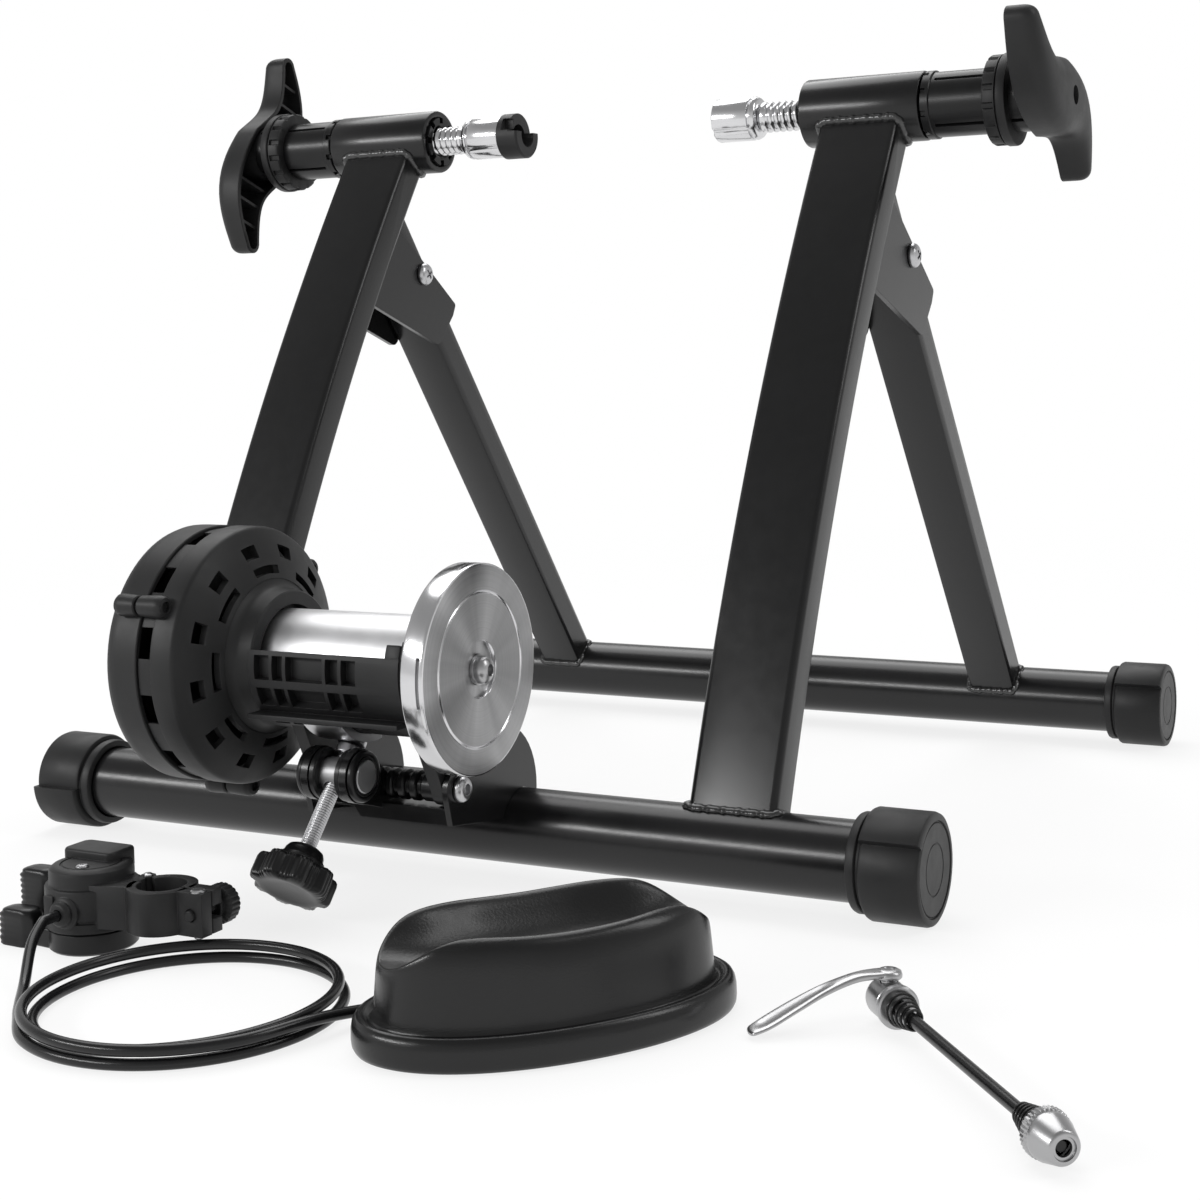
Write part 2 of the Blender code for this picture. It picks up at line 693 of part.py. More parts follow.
def teeth(count, width, inner, outer, low, high, centre, axis, first=0.0):
    """Radial blocks round an axis, joined in one working object for a cut."""
    bm = bmesh.new()
    frame = Matrix.Translation(centre) @ Vector((0.0, 0.0, 1.0)).rotation_difference(
        Vector(axis)
    ).to_matrix().to_4x4()
    for i in range(count):
        turn = Matrix.Rotation(math.radians(first + 360.0 * i / count), 4, "Z")
        corners = []
        for z in (low, high):
            for x, y in ((inner, -width / 2), (outer, -width / 2), (outer, width / 2), (inner, width / 2)):
                corners.append(bm.verts.new(frame @ turn @ Vector((x, y, z))))
        for a, b, c, d in ((3, 2, 1, 0), (4, 5, 6, 7), (0, 1, 5, 4), (1, 2, 6, 5), (2, 3, 7, 6), (3, 0, 4, 7)):
            bm.faces.new((corners[a], corners[b], corners[c], corners[d]))
    return work_object(bm)


def clamp_housing(side, parent):
    """The steel tube that carries the clamp screw."""
    centre, axis = clamp_axis(side)
    body = pipe(HOUSING_BORE, HOUSING_RADIUS, HOUSING_IN, HOUSING_OUT, FINE_STEPS, centre, axis)
    part(side + "_clamp_housing", body, BLACK_STEEL, parent, centre)


def clamp_bushing(side, parent):
    """The nut moulding in the housing's inner end, with notches round its mouth."""
    centre, axis = clamp_axis(side)
    low = HOUSING_IN - BUSHING_PROUD
    profile = [
        (SPINDLE_RADIUS + RUN, low + 1.5 * MM),
        (SPINDLE_RADIUS + RUN + 1.5 * MM, low),
        (HOUSING_BORE - GAP, low),
        (HOUSING_BORE - GAP, HOUSING_IN + BUSHING_DEPTH),
        (SPINDLE_RADIUS + RUN, HOUSING_IN + BUSHING_DEPTH),
    ]
    body = turned(profile, ROUND_STEPS, centre, axis)
    notches = teeth(
        8, 3.6 * MM, SPINDLE_RADIUS + 2.6 * MM, HOUSING_BORE + MM, low - MM, low + 3.0 * MM, centre, axis
    )
    part(side + "_clamp_bushing", cut(body, notches), NYLON, parent, centre)


def spindle_start(side):
    """Where the spindle's shoulder meets the back of the tip."""
    return TIP_INNER_END[side] + TIP_LENGTH + GAP


def clamp_spindle(side, parent):
    """The screw: a nose that the tip turns on, and a shank up to the handle."""
    centre, axis = clamp_axis(side)
    start = spindle_start(side)
    end = HANDLE_IN + HANDLE_DEPTH - HANDLE_WALL - 6.0 * MM
    profile = [
        (0.0, start - SPINDLE_NOSE),
        (SPINDLE_NOSE_RADIUS, start - SPINDLE_NOSE),
        (SPINDLE_NOSE_RADIUS, start),
        (SPINDLE_RADIUS - 0.8 * MM, start),
        (SPINDLE_RADIUS, start + 0.8 * MM),
        (SPINDLE_RADIUS, end),
        (0.0, end),
    ]
    part(side + "_spindle", turned(profile, ROUND_STEPS, centre, axis, closed=False), CHROME, parent, centre)


def clamp_tip(side, parent):
    """The chrome cup that takes the bike's axle end, with a flute along its lower front."""
    centre, axis = clamp_axis(side)
    start = TIP_INNER_END[side]
    end = start + TIP_LENGTH
    nose = SPINDLE_NOSE_RADIUS + RUN
    floor = end - SPINDLE_NOSE - 1.2 * MM
    profile = [
        (0.0, start + TIP_CUP_DEPTH),
        (TIP_CUP_RADIUS - 2.0 * MM, start + TIP_CUP_DEPTH),
        (TIP_CUP_RADIUS, start + TIP_CUP_DEPTH - 2.0 * MM),
        (TIP_CUP_RADIUS, start),
        (TIP_RADIUS - 0.6 * MM, start),
        (TIP_RADIUS, start + 0.6 * MM),
        (TIP_RADIUS, end - 4.0 * MM),
        (TIP_RADIUS - 1.6 * MM, end - 2.5 * MM),
        (TIP_RADIUS - 1.6 * MM, end),
        (nose, end),
        (nose, floor),
        (0.0, floor),
    ]
    body = turned(profile, ROUND_STEPS, centre, axis, closed=False)
    flute = teeth(1, 4.5 * MM, TIP_RADIUS - 1.2 * MM, TIP_RADIUS + MM, start - MM, end - 4.5 * MM,
                  centre, (1.0, 0.0, 0.0) if side == "right" else (-1.0, 0.0, 0.0),
                  215.0 if side == "right" else -35.0)
    part(side + "_tip", cut(body, flute), CHROME, parent, centre)


def tip_insert(parent):
    """The plastic seat in the left tip, with a low side for a quick-release lever."""
    centre, axis = clamp_axis("left")
    start = TIP_INNER_END["left"] - INSERT_REACH
    face = TIP_INNER_END["left"] - GAP
    seat = TIP_CUP_RADIUS - GAP
    bore = seat - 2.2 * MM
    profile = [
        (bore, start),
        (INSERT_RADIUS - MM, start),
        (INSERT_RADIUS, start + MM),
        (INSERT_RADIUS, face),
        (seat, face),
        (seat, face + TIP_CUP_DEPTH - 3.0 * MM),
        (bore, face + TIP_CUP_DEPTH - 3.0 * MM),
    ]
    body = turned(profile, ROUND_STEPS, centre, axis)
    x = -start + MM
    low_side = box(
        (-start - 6.0 * MM, CLAMP_Y - 30.0 * MM, CLAMP_Z + 2.0 * MM),
        (x, CLAMP_Y + 30.0 * MM, CLAMP_Z + 30.0 * MM),
    )
    slot = box(
        (-start - 11.0 * MM, CLAMP_Y - 30.0 * MM, CLAMP_Z + 3.0 * MM),
        (x, CLAMP_Y - bore + MM, CLAMP_Z + 10.0 * MM),
    )
    part("left_tip_insert", cut(body, low_side, slot), BLACK_PLASTIC, parent, centre)


def clamp_sleeve(side, parent):
    """The slotted nylon sleeve that turns with the spindle and slides in the housing."""
    centre, axis = clamp_axis(side)
    bore = SPINDLE_RADIUS + GAP
    inside = HOUSING_BORE - RUN
    collar = HOUSING_OUT + 0.8 * MM
    profile = [
        (bore, SLEEVE_IN),
        (inside, SLEEVE_IN),
        (inside, collar),
        (COLLAR_RADIUS, collar),
        (COLLAR_RADIUS, collar + COLLAR_WIDTH),
        (SLEEVE_RADIUS, collar + COLLAR_WIDTH),
        (SLEEVE_RADIUS, HANDLE_IN - GAP),
        (bore, HANDLE_IN - GAP),
    ]
    body = turned(profile, ROUND_STEPS, centre, axis)
    notches = teeth(9, 2.8 * MM, SLEEVE_RADIUS - 0.6 * MM, COLLAR_RADIUS + MM, collar - MM,
                    collar + 3.0 * MM, centre, axis)
    slits = teeth(4, 1.6 * MM, SLEEVE_RADIUS - 2.2 * MM, SLEEVE_RADIUS + MM, collar + COLLAR_WIDTH + 2 * MM,
                  HANDLE_IN - 2.0 * MM, centre, axis, 45.0)
    part(side + "_sleeve", cut(body, notches, slits), NYLON, parent, centre)


def lock_ring(side, parent):
    """The knurled jam ring on the sleeve."""
    centre, axis = clamp_axis(side)
    end = RING_IN + RING_WIDTH
    profile = [
        (SLEEVE_RADIUS + RUN, RING_IN),
        (RING_RADIUS - 2.5 * MM, RING_IN),
        (RING_RADIUS - 0.6 * MM, RING_IN + 1.5 * MM),
        (RING_RADIUS - 0.6 * MM, end - 6.5 * MM),
        (RING_RADIUS, end - 5.5 * MM),
        (RING_RADIUS, end - MM),
        (RING_RADIUS - MM, end),
        (SLEEVE_RADIUS + RUN, end),
    ]
    body = turned(profile, FINE_STEPS, centre, axis)
    grooves = teeth(RING_TEETH, 3.4 * MM, RING_RADIUS - RING_TOOTH_DEPTH, RING_RADIUS + MM, RING_IN - MM,
                    end - 6.5 * MM, centre, axis)
    part(side + "_lock_ring", cut(body, grooves), BLACK_PLASTIC, parent, centre)


def blade_half_width(share):
    """The handle's half width along a blade, from the hub to the tip."""
    return HANDLE_HUB_WIDTH - (HANDLE_HUB_WIDTH - HANDLE_TIP_RADIUS) * abs(share) ** 1.15


def handle_outline(inset):
    """The S-shaped handle's outline, drawn in by an inset, in (across, along) points."""
    steps = 6

    def middle(share):
        return Vector((HANDLE_SWAY * math.sin(math.pi * share), HANDLE_REACH * share))

    half = []
    for i in range(-steps, steps + 1):
        share = i / steps
        run = (middle(share + 0.01) - middle(share - 0.01)).normalized()
        side_way = Vector((run[1], -run[0]))
        half.append(middle(share) + side_way * (blade_half_width(share) - inset))
    run = (middle(1.0) - middle(0.98)).normalized()
    heading = math.degrees(math.atan2(-run[0], run[1]))
    cap = arc(tuple(middle(1.0)), HANDLE_TIP_RADIUS - inset, heading, heading + 180.0, 4)[1:-1]
    side_points = [tuple(p) for p in half] + cap
    return side_points + [(-x, -y) for x, y in side_points]


def clamp_handle(side, parent):
    """An S-shaped turning handle: a shell open on its inner side, with ribs and a hub."""
    sign = sign_of(side)
    centre, axis = clamp_axis(side)
    outer = HANDLE_IN + HANDLE_DEPTH

    def blank(inset, low, high):
        outline = [(-sign * x, y) for x, y in handle_outline(inset)]
        return prism(outline, min(sign * low, sign * high), max(sign * low, sign * high))

    edge = 2.5 * MM
    rings = []
    for inset, along in ((0.0, HANDLE_IN), (0.0, outer - edge), (edge * 0.35, outer - edge * 0.35), (edge, outer)):
        rings.append([(sign * along, -sign * x, y) for x, y in handle_outline(inset)])
    body = loft(rings)
    body = cut(body, blank(HANDLE_WALL, HANDLE_IN - MM, outer - HANDLE_WALL - MM))
    hub_end = outer - HANDLE_WALL
    parts = [rod(HANDLE_HUB_RADIUS, HANDLE_IN, hub_end, ROUND_STEPS, (0, 0, 0), axis)]
    rib = 1.8 * MM
    reach = HANDLE_REACH
    for share in (-0.78, -0.48, 0.48, 0.78):
        x = -sign * HANDLE_SWAY * math.sin(math.pi * share)
        y = reach * share
        width = blade_half_width(share) - 0.8 * MM
        rib_low = HANDLE_IN + 3.0 * MM
        rib_box = box(
            (min(sign * rib_low, sign * hub_end), x - width, y - rib / 2.0),
            (max(sign * rib_low, sign * hub_end), x + width, y + rib / 2.0),
        )
        parts.append(rib_box)
    body = join(body, *parts)
    body = cut(
        body,
        rod(SPINDLE_RADIUS + GAP, HANDLE_IN - MM, hub_end - 6.0 * MM + GAP, ROUND_STEPS, (0, 0, 0), axis),
        rod(8.0 * MM, outer - 3.5 * MM, outer + MM, SMALL_STEPS, (0, 0, 0), axis),
    )
    body = moved(body, Matrix.Rotation(math.radians(HANDLE_TURN[side]), 4, "X"))
    body = moved(body, Matrix.Translation(centre))
    part(side + "_handle", body, BLACK_PLASTIC, parent, centre)


def clamp(side, parent):
    """All pieces of one clamp."""
    clamp_housing(side, parent)
    clamp_bushing(side, parent)
    clamp_spindle(side, parent)
    clamp_tip(side, parent)
    clamp_sleeve(side, parent)
    lock_ring(side, parent)
    clamp_handle(side, parent)


def rotor_centre():
    """The rotor axis in the trainer's middle."""
    return (0.0, ROTOR_Y, ROTOR_Z)


def sector(inner, outer, start, end, low, high, steps=4, centre=(ROTOR_Y, ROTOR_Z)):
    """A curved block between two radii, two angles and two places along X."""
    outline = arc(centre, outer, start, end, steps) + arc(centre, inner, end, start, steps)
    return prism(outline, low, high)


def merged(items):
    """Several separate cutters in one working object."""
    bm = bmesh.new()
    for item in items:
        bm.from_mesh(item.data)
        bpy.data.objects.remove(item)
    return work_object(bm)


def roller_carrier(parent):
    """The unit's moulding: inner shell, neck, ribbed roller cradle, end wall and two legs."""
    centre = rotor_centre()
    clear = ROLLER_RADIUS + ROLLER_CLEAR
    seat = BEARING_RADIUS + GAP
    lip = BEARING_LEFT_X + BEARING_WIDTH + GAP
    inside = SHELL_RADIUS - SHELL_WALL
    profile = [
        (NECK_RADIUS, NECK_X),
        (NECK_RADIUS + 0.6 * MM, NECK_X - 8.0 * MM),
        (NECK_RADIUS + 4.0 * MM, NECK_X - 11.0 * MM),
        (NECK_RADIUS + 14.0 * MM, NECK_X - 14.5 * MM),
        (NECK_RADIUS + 24.0 * MM, NECK_X - 18.8 * MM),
        (SHELL_RADIUS - 2.0 * MM, SHELL_RIM),
        (SHELL_RADIUS, SHELL_RIM - 3.0 * MM),
        (SHELL_RADIUS, SHELL_SPLIT),
        (inside, SHELL_SPLIT),
        (inside, SHELL_RIM - 4.0 * MM),
        (SHELL_RADIUS - 9.0 * MM, SHELL_RIM + 0.2 * MM),
        (NECK_RADIUS + 13.0 * MM, NECK_X - 17.4 * MM),
        (NECK_RADIUS, NECK_X - 13.6 * MM),
        (BEARING_RADIUS + 6.0 * MM, NECK_X - 13.6 * MM),
        (BEARING_RADIUS + 6.0 * MM, BEARING_LEFT_X - GAP),
        (seat, BEARING_LEFT_X - GAP),
        (seat, lip),
        (AXLE_RADIUS + 3.0 * MM, lip),
        (AXLE_RADIUS + 3.0 * MM, lip + 1.6 * MM),
        (clear + 0.5 * MM, lip + 1.6 * MM),
        (clear + 0.5 * MM, NECK_X),
    ]
    body = turned(profile, FINE_STEPS, centre)
    rim = clear + 8.4 * MM
    cradle = sector(clear, rim, 165.0, 345.0, NECK_X - MM, ROLLER_RIGHT + MM, 18)
    rail = box(
        (NECK_X - MM, ROTOR_Y - rim - 2.0 * MM, ROTOR_Z - 24.2 * MM),
        (ROLLER_RIGHT + MM, ROTOR_Y - clear + 3.0 * MM, ROTOR_Z - 21.6 * MM),
    )
    wall_end = BEARING_RIGHT_X + BEARING_WIDTH + GAP
    top = math.degrees(math.asin(16.0 * MM / (rim - MM)))
    end_wall = prism(
        arc((ROTOR_Y, ROTOR_Z), rim - MM, 180.0 - top, 360.0 + top, 20), ROLLER_RIGHT + 0.8 * MM, wall_end
    )
    legs = []
    lobe = 8.3 * MM
    for low in (-BRACKET_HALF + PLATE + 0.6 * MM, BRACKET_HALF - PLATE - 0.6 * MM - LEG_PLATE):
        outline = arc((PIVOT_Y, PIVOT_Z), lobe, 190.0, 350.0, 8)
        outline += [
            (ROTOR_Y + 26.0 * MM, ROTOR_Z - 22.0 * MM),
            (ROTOR_Y + 10.0 * MM, ROTOR_Z - clear - 2.0 * MM),
            (ROTOR_Y - 18.0 * MM, ROTOR_Z - clear + 1.2 * MM),
        ]
        legs.append(prism(outline, low, low + LEG_PLATE))
    bosses = []
    for angle in SHELL_BOSSES:
        y, z = polar(SHELL_RADIUS + 3.2 * MM, angle, (ROTOR_Y, ROTOR_Z))
        bosses.append(rod(5.5 * MM, SHELL_SPLIT, SHELL_RIM - 6.0 * MM, SMALL_STEPS, (0.0, y, z)))
    body = join(body, cradle, rail, end_wall, *legs, *bosses)
    pockets = []
    for start, end in ((169.0, 189.0), (196.0, 213.0), (222.0, 239.0)):
        for low, high in CRADLE_POCKETS:
            pockets.append(sector(rim - 4.6 * MM, rim + 6.0 * MM, start, end, low, high, 2))
    slots = []
    for i in range(12):
        angle = 30.0 * i + 10.0
        slots.append(sector(50.0 * MM, 55.0 * MM, angle - 4.5, angle + 4.5, -80.0 * MM, -57.0 * MM, 1))
    notches = teeth(
        12, 15.0 * MM, inside - 2.0 * MM, SHELL_RADIUS + MM, SHELL_SPLIT - MM, SHELL_SPLIT + 7.0 * MM,
        centre, (1.0, 0.0, 0.0), NOTCH_START
    )
    body = cut(
        body,
        merged(pockets),
        merged(slots),
        notches,
        rod(seat, ROLLER_RIGHT, wall_end + MM, ROUND_STEPS, centre),
        rod(PIVOT_RADIUS + RUN, -BRACKET_HALF, BRACKET_HALF, SMALL_STEPS, (0.0, PIVOT_Y, PIVOT_Z)),
        push_pad(GAP),
    )
    part("roller_carrier", body, BLACK_PLASTIC, parent, (0.0, PIVOT_Y, PIVOT_Z))


def outer_shell(parent):
    """The unit's outer cover, with the post that the magnet plate slides on."""
    centre = rotor_centre()
    inside = SHELL_RADIUS - SHELL_WALL
    open_end = SHELL_SPLIT - 0.4 * MM
    floor = SHELL_END + SHELL_WALL
    profile = [
        (0.0, SHELL_END),
        (SHELL_RADIUS - 7.0 * MM, SHELL_END),
        (SHELL_RADIUS - 2.0 * MM, SHELL_END + 1.8 * MM),
        (SHELL_RADIUS, SHELL_END + 6.0 * MM),
        (SHELL_RADIUS, open_end),
        (inside, open_end),
        (inside, SHELL_END + 7.0 * MM),
        (inside - 3.0 * MM, floor),
        (POST_RADIUS, floor),
        (POST_RADIUS, POST_END),
        (0.0, POST_END),
    ]
    body = turned(profile, FINE_STEPS, centre, closed=False)
    bosses = []
    for angle in SHELL_BOSSES:
        y, z = polar(SHELL_RADIUS + 3.2 * MM, angle, (ROTOR_Y, ROTOR_Z))
        bosses.append(rod(5.5 * MM, SHELL_END + 9.0 * MM, open_end, SMALL_STEPS, (0.0, y, z)))
    body = join(body, *bosses)
    part("outer_shell", body, BLACK_PLASTIC, parent, centre)


def magnet_plate(parent):
    """The sliding steel plate with its ring of magnets."""
    centre = rotor_centre()
    bore = POST_RADIUS + RUN
    profile = [
        (bore, MAGNET_X),
        (MAGNET_RADIUS, MAGNET_X),
        (MAGNET_RADIUS, MAGNET_X + MAGNET_PLATE),
        (bore + 3.0 * MM, MAGNET_X + MAGNET_PLATE),
        (bore + 3.0 * MM, MAGNET_X + MAGNET_PLATE + 3.0 * MM),
        (bore, MAGNET_X + MAGNET_PLATE + 3.0 * MM),
    ]
    body = turned(profile, FINE_STEPS, centre)
    pucks = []
    for i in range(MAGNET_COUNT):
        y, z = polar(MAGNET_RING, 360.0 * i / MAGNET_COUNT, (ROTOR_Y, ROTOR_Z))
        low = MAGNET_X + MAGNET_PLATE - 0.5 * MM
        pucks.append(rod(9.0 * MM, low, low + MAGNET_HEIGHT + 0.5 * MM, SMALL_STEPS, (0.0, y, z)))
    body = join(body, merged(pucks))
    part("magnet_plate", body, TURNED_STEEL, parent, centre)


def rotor(parent):
    """Everything that spins: axle, conductor disc, roller, flywheel and its nut."""
    centre = rotor_centre()
    fit = AXLE_RADIUS + GAP
    face = FLYWHEEL_IN + FLYWHEEL_THICK
    axle = rod(AXLE_RADIUS, DISC_X - 1.5 * MM, face + 1.0 * MM, SMALL_STEPS, centre)
    part("rotor_axle", axle, TURNED_STEEL, parent, centre)
    hub = DISC_X + DISC_THICK + 5.0 * MM
    disc = turned(
        [
            (fit, DISC_X), (DISC_RADIUS, DISC_X), (DISC_RADIUS, DISC_X + DISC_THICK),
            (12.0 * MM, DISC_X + DISC_THICK), (12.0 * MM, hub), (fit, hub),
        ],
        FINE_STEPS, centre,
    )
    part("conductor_disc", disc, TURNED_STEEL, parent, centre)
    web = 7.0 * MM
    inner = ROLLER_RADIUS - 3.0 * MM
    roller = turned(
        [
            (fit, ROLLER_LEFT + web), (inner, ROLLER_LEFT + web), (inner, ROLLER_LEFT),
            (ROLLER_RADIUS - 0.6 * MM, ROLLER_LEFT), (ROLLER_RADIUS, ROLLER_LEFT + 0.6 * MM),
            (ROLLER_RADIUS, ROLLER_RIGHT - 0.6 * MM), (ROLLER_RADIUS - 0.6 * MM, ROLLER_RIGHT),
            (inner, ROLLER_RIGHT), (inner, ROLLER_RIGHT - web), (fit, ROLLER_RIGHT - web),
        ],
        FINE_STEPS, centre,
    )
    part("roller", roller, CHROME, parent, centre)
    groove = FLYWHEEL_RADIUS * 0.73
    recess = FLYWHEEL_RADIUS * 0.27
    depth = 2.0 * MM
    flywheel = turned(
        [
            (fit, FLYWHEEL_IN), (FLYWHEEL_RADIUS - 1.0 * MM, FLYWHEEL_IN),
            (FLYWHEEL_RADIUS, FLYWHEEL_IN + 1.0 * MM), (FLYWHEEL_RADIUS, face - 1.0 * MM),
            (FLYWHEEL_RADIUS - 1.0 * MM, face), (groove + 0.8 * MM, face), (groove, face - 0.9 * MM),
            (groove - 0.8 * MM, face), (recess, face), (recess - 0.5 * MM, face - depth),
            (fit, face - depth),
        ],
        FINE_STEPS + 6, centre,
    )
    slots = []
    for angle in RIM_SLOTS:
        slots.append(
            sector(FLYWHEEL_RADIUS - 1.6 * MM, FLYWHEEL_RADIUS + MM, angle - 13.0, angle + 13.0,
                   face - 3.6 * MM, face - 2.0 * MM, 3)
        )
    part("flywheel", cut(flywheel, merged(slots)), CHROME, parent, centre)
    seat = face - depth + GAP
    nut = turned(
        [
            (fit, seat), (7.4 * MM, seat), (7.4 * MM, seat + 1.2 * MM), (6.6 * MM, seat + 1.4 * MM),
            (6.6 * MM, seat + 5.0 * MM), (5.4 * MM, seat + 6.6 * MM), (3.0 * MM, seat + 7.2 * MM),
            (2.6 * MM, seat + 5.4 * MM), (0.0, seat + 5.4 * MM), (0.0, face + 1.0 * MM + GAP),
            (fit, face + 1.0 * MM + GAP),
        ],
        SMALL_STEPS, centre,
    )
    part("flywheel_nut", nut, CHROME, parent, centre)


def rotor_bearing(name, low, parent):
    """A ball bearing's outer shape."""
    centre = rotor_centre()
    shield = 0.5 * MM
    high = low + BEARING_WIDTH
    inner = AXLE_RADIUS + GAP
    profile = [
        (inner, low + shield), (BEARING_RADIUS - 1.6 * MM, low + shield), (BEARING_RADIUS - 1.6 * MM, low),
        (BEARING_RADIUS, low), (BEARING_RADIUS, high), (BEARING_RADIUS - 1.6 * MM, high),
        (BEARING_RADIUS - 1.6 * MM, high - shield), (inner, high - shield),
    ]
    part(name, turned(profile, SMALL_STEPS + 4, centre), TURNED_STEEL, parent, centre)


def screw_up():
    """The tension screw's direction from the knob up to the carrier."""
    return Vector((0.0, math.sin(SCREW_LEAN), math.cos(SCREW_LEAN)))


def screw_point(along):
    """A point on the tension screw's axis, measured up from the barrel's middle."""
    return Vector((SCREW_X, BARREL_Y, BARREL_Z)) + screw_up() * along


def push_pad(grow):
    """The curved metal pad under the cradle that the tension screw presses on."""
    rim = ROLLER_RADIUS + ROLLER_CLEAR + 8.4 * MM
    pad = sector(
        rim + GAP - grow, rim + PAD_THICK + grow, PAD_ANGLES[0] - grow * 800.0, PAD_ANGLES[1] + grow * 800.0,
        SCREW_X - PAD_HALF - grow, SCREW_X + PAD_HALF + grow, 12,
    )
    return pad


def tension_pad(parent):
    """The pad with the round seat that faces the screw."""
    seat = rod(SWIVEL_RADIUS + MM, 0.0, PAD_SEAT, SMALL_STEPS, screw_point(PAD_START), screw_up())
    pad = join(push_pad(0.0), seat)
    part("tension_pad", pad, ZINC, parent, tuple(screw_point(PAD_START)))


def yoke_arm_range(index):
    """Where one yoke arm lies along X: 0 is the left arm and 1 the right."""
    if index == 0:
        return SCREW_X - YOKE_OFFSET - YOKE_PLATE, SCREW_X - YOKE_OFFSET
    return SCREW_X + YOKE_OFFSET, SCREW_X + YOKE_OFFSET + YOKE_PLATE


def unit_bracket(parent):
    """The welded steel bracket on the front tube: base, two cheeks and the screw's yoke arms."""
    floor = BASE_Z + TUBE_RADIUS + GAP + 0.06 * MM
    front = PIVOT_Y - 7.0 * MM
    cheek = arc(MOON_CENTRE, MOON_RADIUS, -12.0, 100.0, 14)
    cheek += arc((PIVOT_Y, PIVOT_Z), CHEEK_LOBE, 95.0, 205.0, 8)
    cheek += [(front, floor), (-16.0 * MM, floor), (-12.0 * MM, floor - 12.0 * MM)]
    cheeks = []
    for low in (-BRACKET_HALF, BRACKET_HALF - PLATE):
        cheeks.append(prism(cheek, low, low + PLATE))
    base = box(
        (-BRACKET_HALF + 0.5 * MM, front, floor), (BRACKET_HALF - 0.5 * MM, 8.0 * MM, floor + PLATE)
    )
    flange = prism(
        [
            (-BRACKET_HALF + 26.0 * MM, floor + 0.5 * PLATE), (-BRACKET_HALF + 31.0 * MM, floor - 5.0 * MM),
            (BRACKET_HALF - 8.0 * MM, floor - 5.0 * MM), (BRACKET_HALF - 4.0 * MM, floor + 0.5 * PLATE),
        ],
        front, front + PLATE, "Y",
    )
    arms = []
    for index in (0, 1):
        low, high = yoke_arm_range(index)
        outline = arc((BARREL_Y, BARREL_Z), YOKE_RADIUS, 45.0, 245.0, 14)
        outline += [
            (front + 2.0 * MM, floor + 0.2 * MM),
            (front + 24.0 * MM, floor + 0.2 * MM),
            (front + 24.0 * MM, floor + PLATE + 1.0 * MM),
            (front + 14.0 * MM, floor + PLATE + 6.0 * MM),
        ]
        arms.append(prism(outline, low, high))
    body = join(base, *cheeks, flange, *arms)
    body = cut(
        body,
        rod(TUBE_RADIUS + GAP, -FRONT_SPAN / 2.0, FRONT_SPAN / 2.0, FINE_STEPS, (0.0, 0.0, BASE_Z)),
        rod(PIVOT_RADIUS + GAP, -BRACKET_HALF - MM, BRACKET_HALF + MM, SMALL_STEPS, (0.0, PIVOT_Y, PIVOT_Z)),
        rod(BARREL_RADIUS + 3.0 * MM, SCREW_X - 20.0 * MM, SCREW_X + 20.0 * MM, ROUND_STEPS, (0.0, BARREL_Y, BARREL_Z)),
    )
    part("unit_bracket", body, BLACK_STEEL, parent)


def unit_pivot_bolt(parent):
    """The bolt that the carrier tilts on, with a socket head on its right end."""
    centre = (0.0, PIVOT_Y, PIVOT_Z)
    high = BRACKET_HALF + GAP
    profile = [
        (0.0, -high - 5.0 * MM), (PIVOT_RADIUS, -high - 5.0 * MM), (PIVOT_RADIUS, high),
        (6.4 * MM, high), (6.4 * MM, high + 3.4 * MM), (5.6 * MM, high + 4.2 * MM),
        (2.8 * MM, high + 4.2 * MM), (2.8 * MM, high + 1.6 * MM), (0.0, high + 1.6 * MM),
    ]
    bolt = turned(profile, SMALL_STEPS, centre, closed=False)
    nut = prism(circle(7.0 * MM, 6, (PIVOT_Y, PIVOT_Z)), -high - 4.2 * MM, -high)
    part("unit_pivot_bolt", join(bolt, nut), ZINC, parent, centre)


def yoke_bushing(index, name, parent):
    """A flanged nylon bushing in one yoke arm."""
    low, high = yoke_arm_range(index)
    bore = BARREL_RADIUS + RUN
    wall = BARREL_RADIUS + 3.0 * MM - GAP
    flange = 12.4 * MM
    if index == 0:
        outer, inner, way = low - GAP, high, -1.0
    else:
        outer, inner, way = high + GAP, low, 1.0
    tip = outer + way * 3.0 * MM
    profile = [
        (bore, inner), (wall, inner), (wall, outer), (flange, outer), (flange, tip - way * 0.8 * MM),
        (flange - 0.8 * MM, tip), (bore, tip),
    ]
    centre = (0.0, BARREL_Y, BARREL_Z)
    part(name, turned(profile, ROUND_STEPS, centre), NYLON, parent, centre)


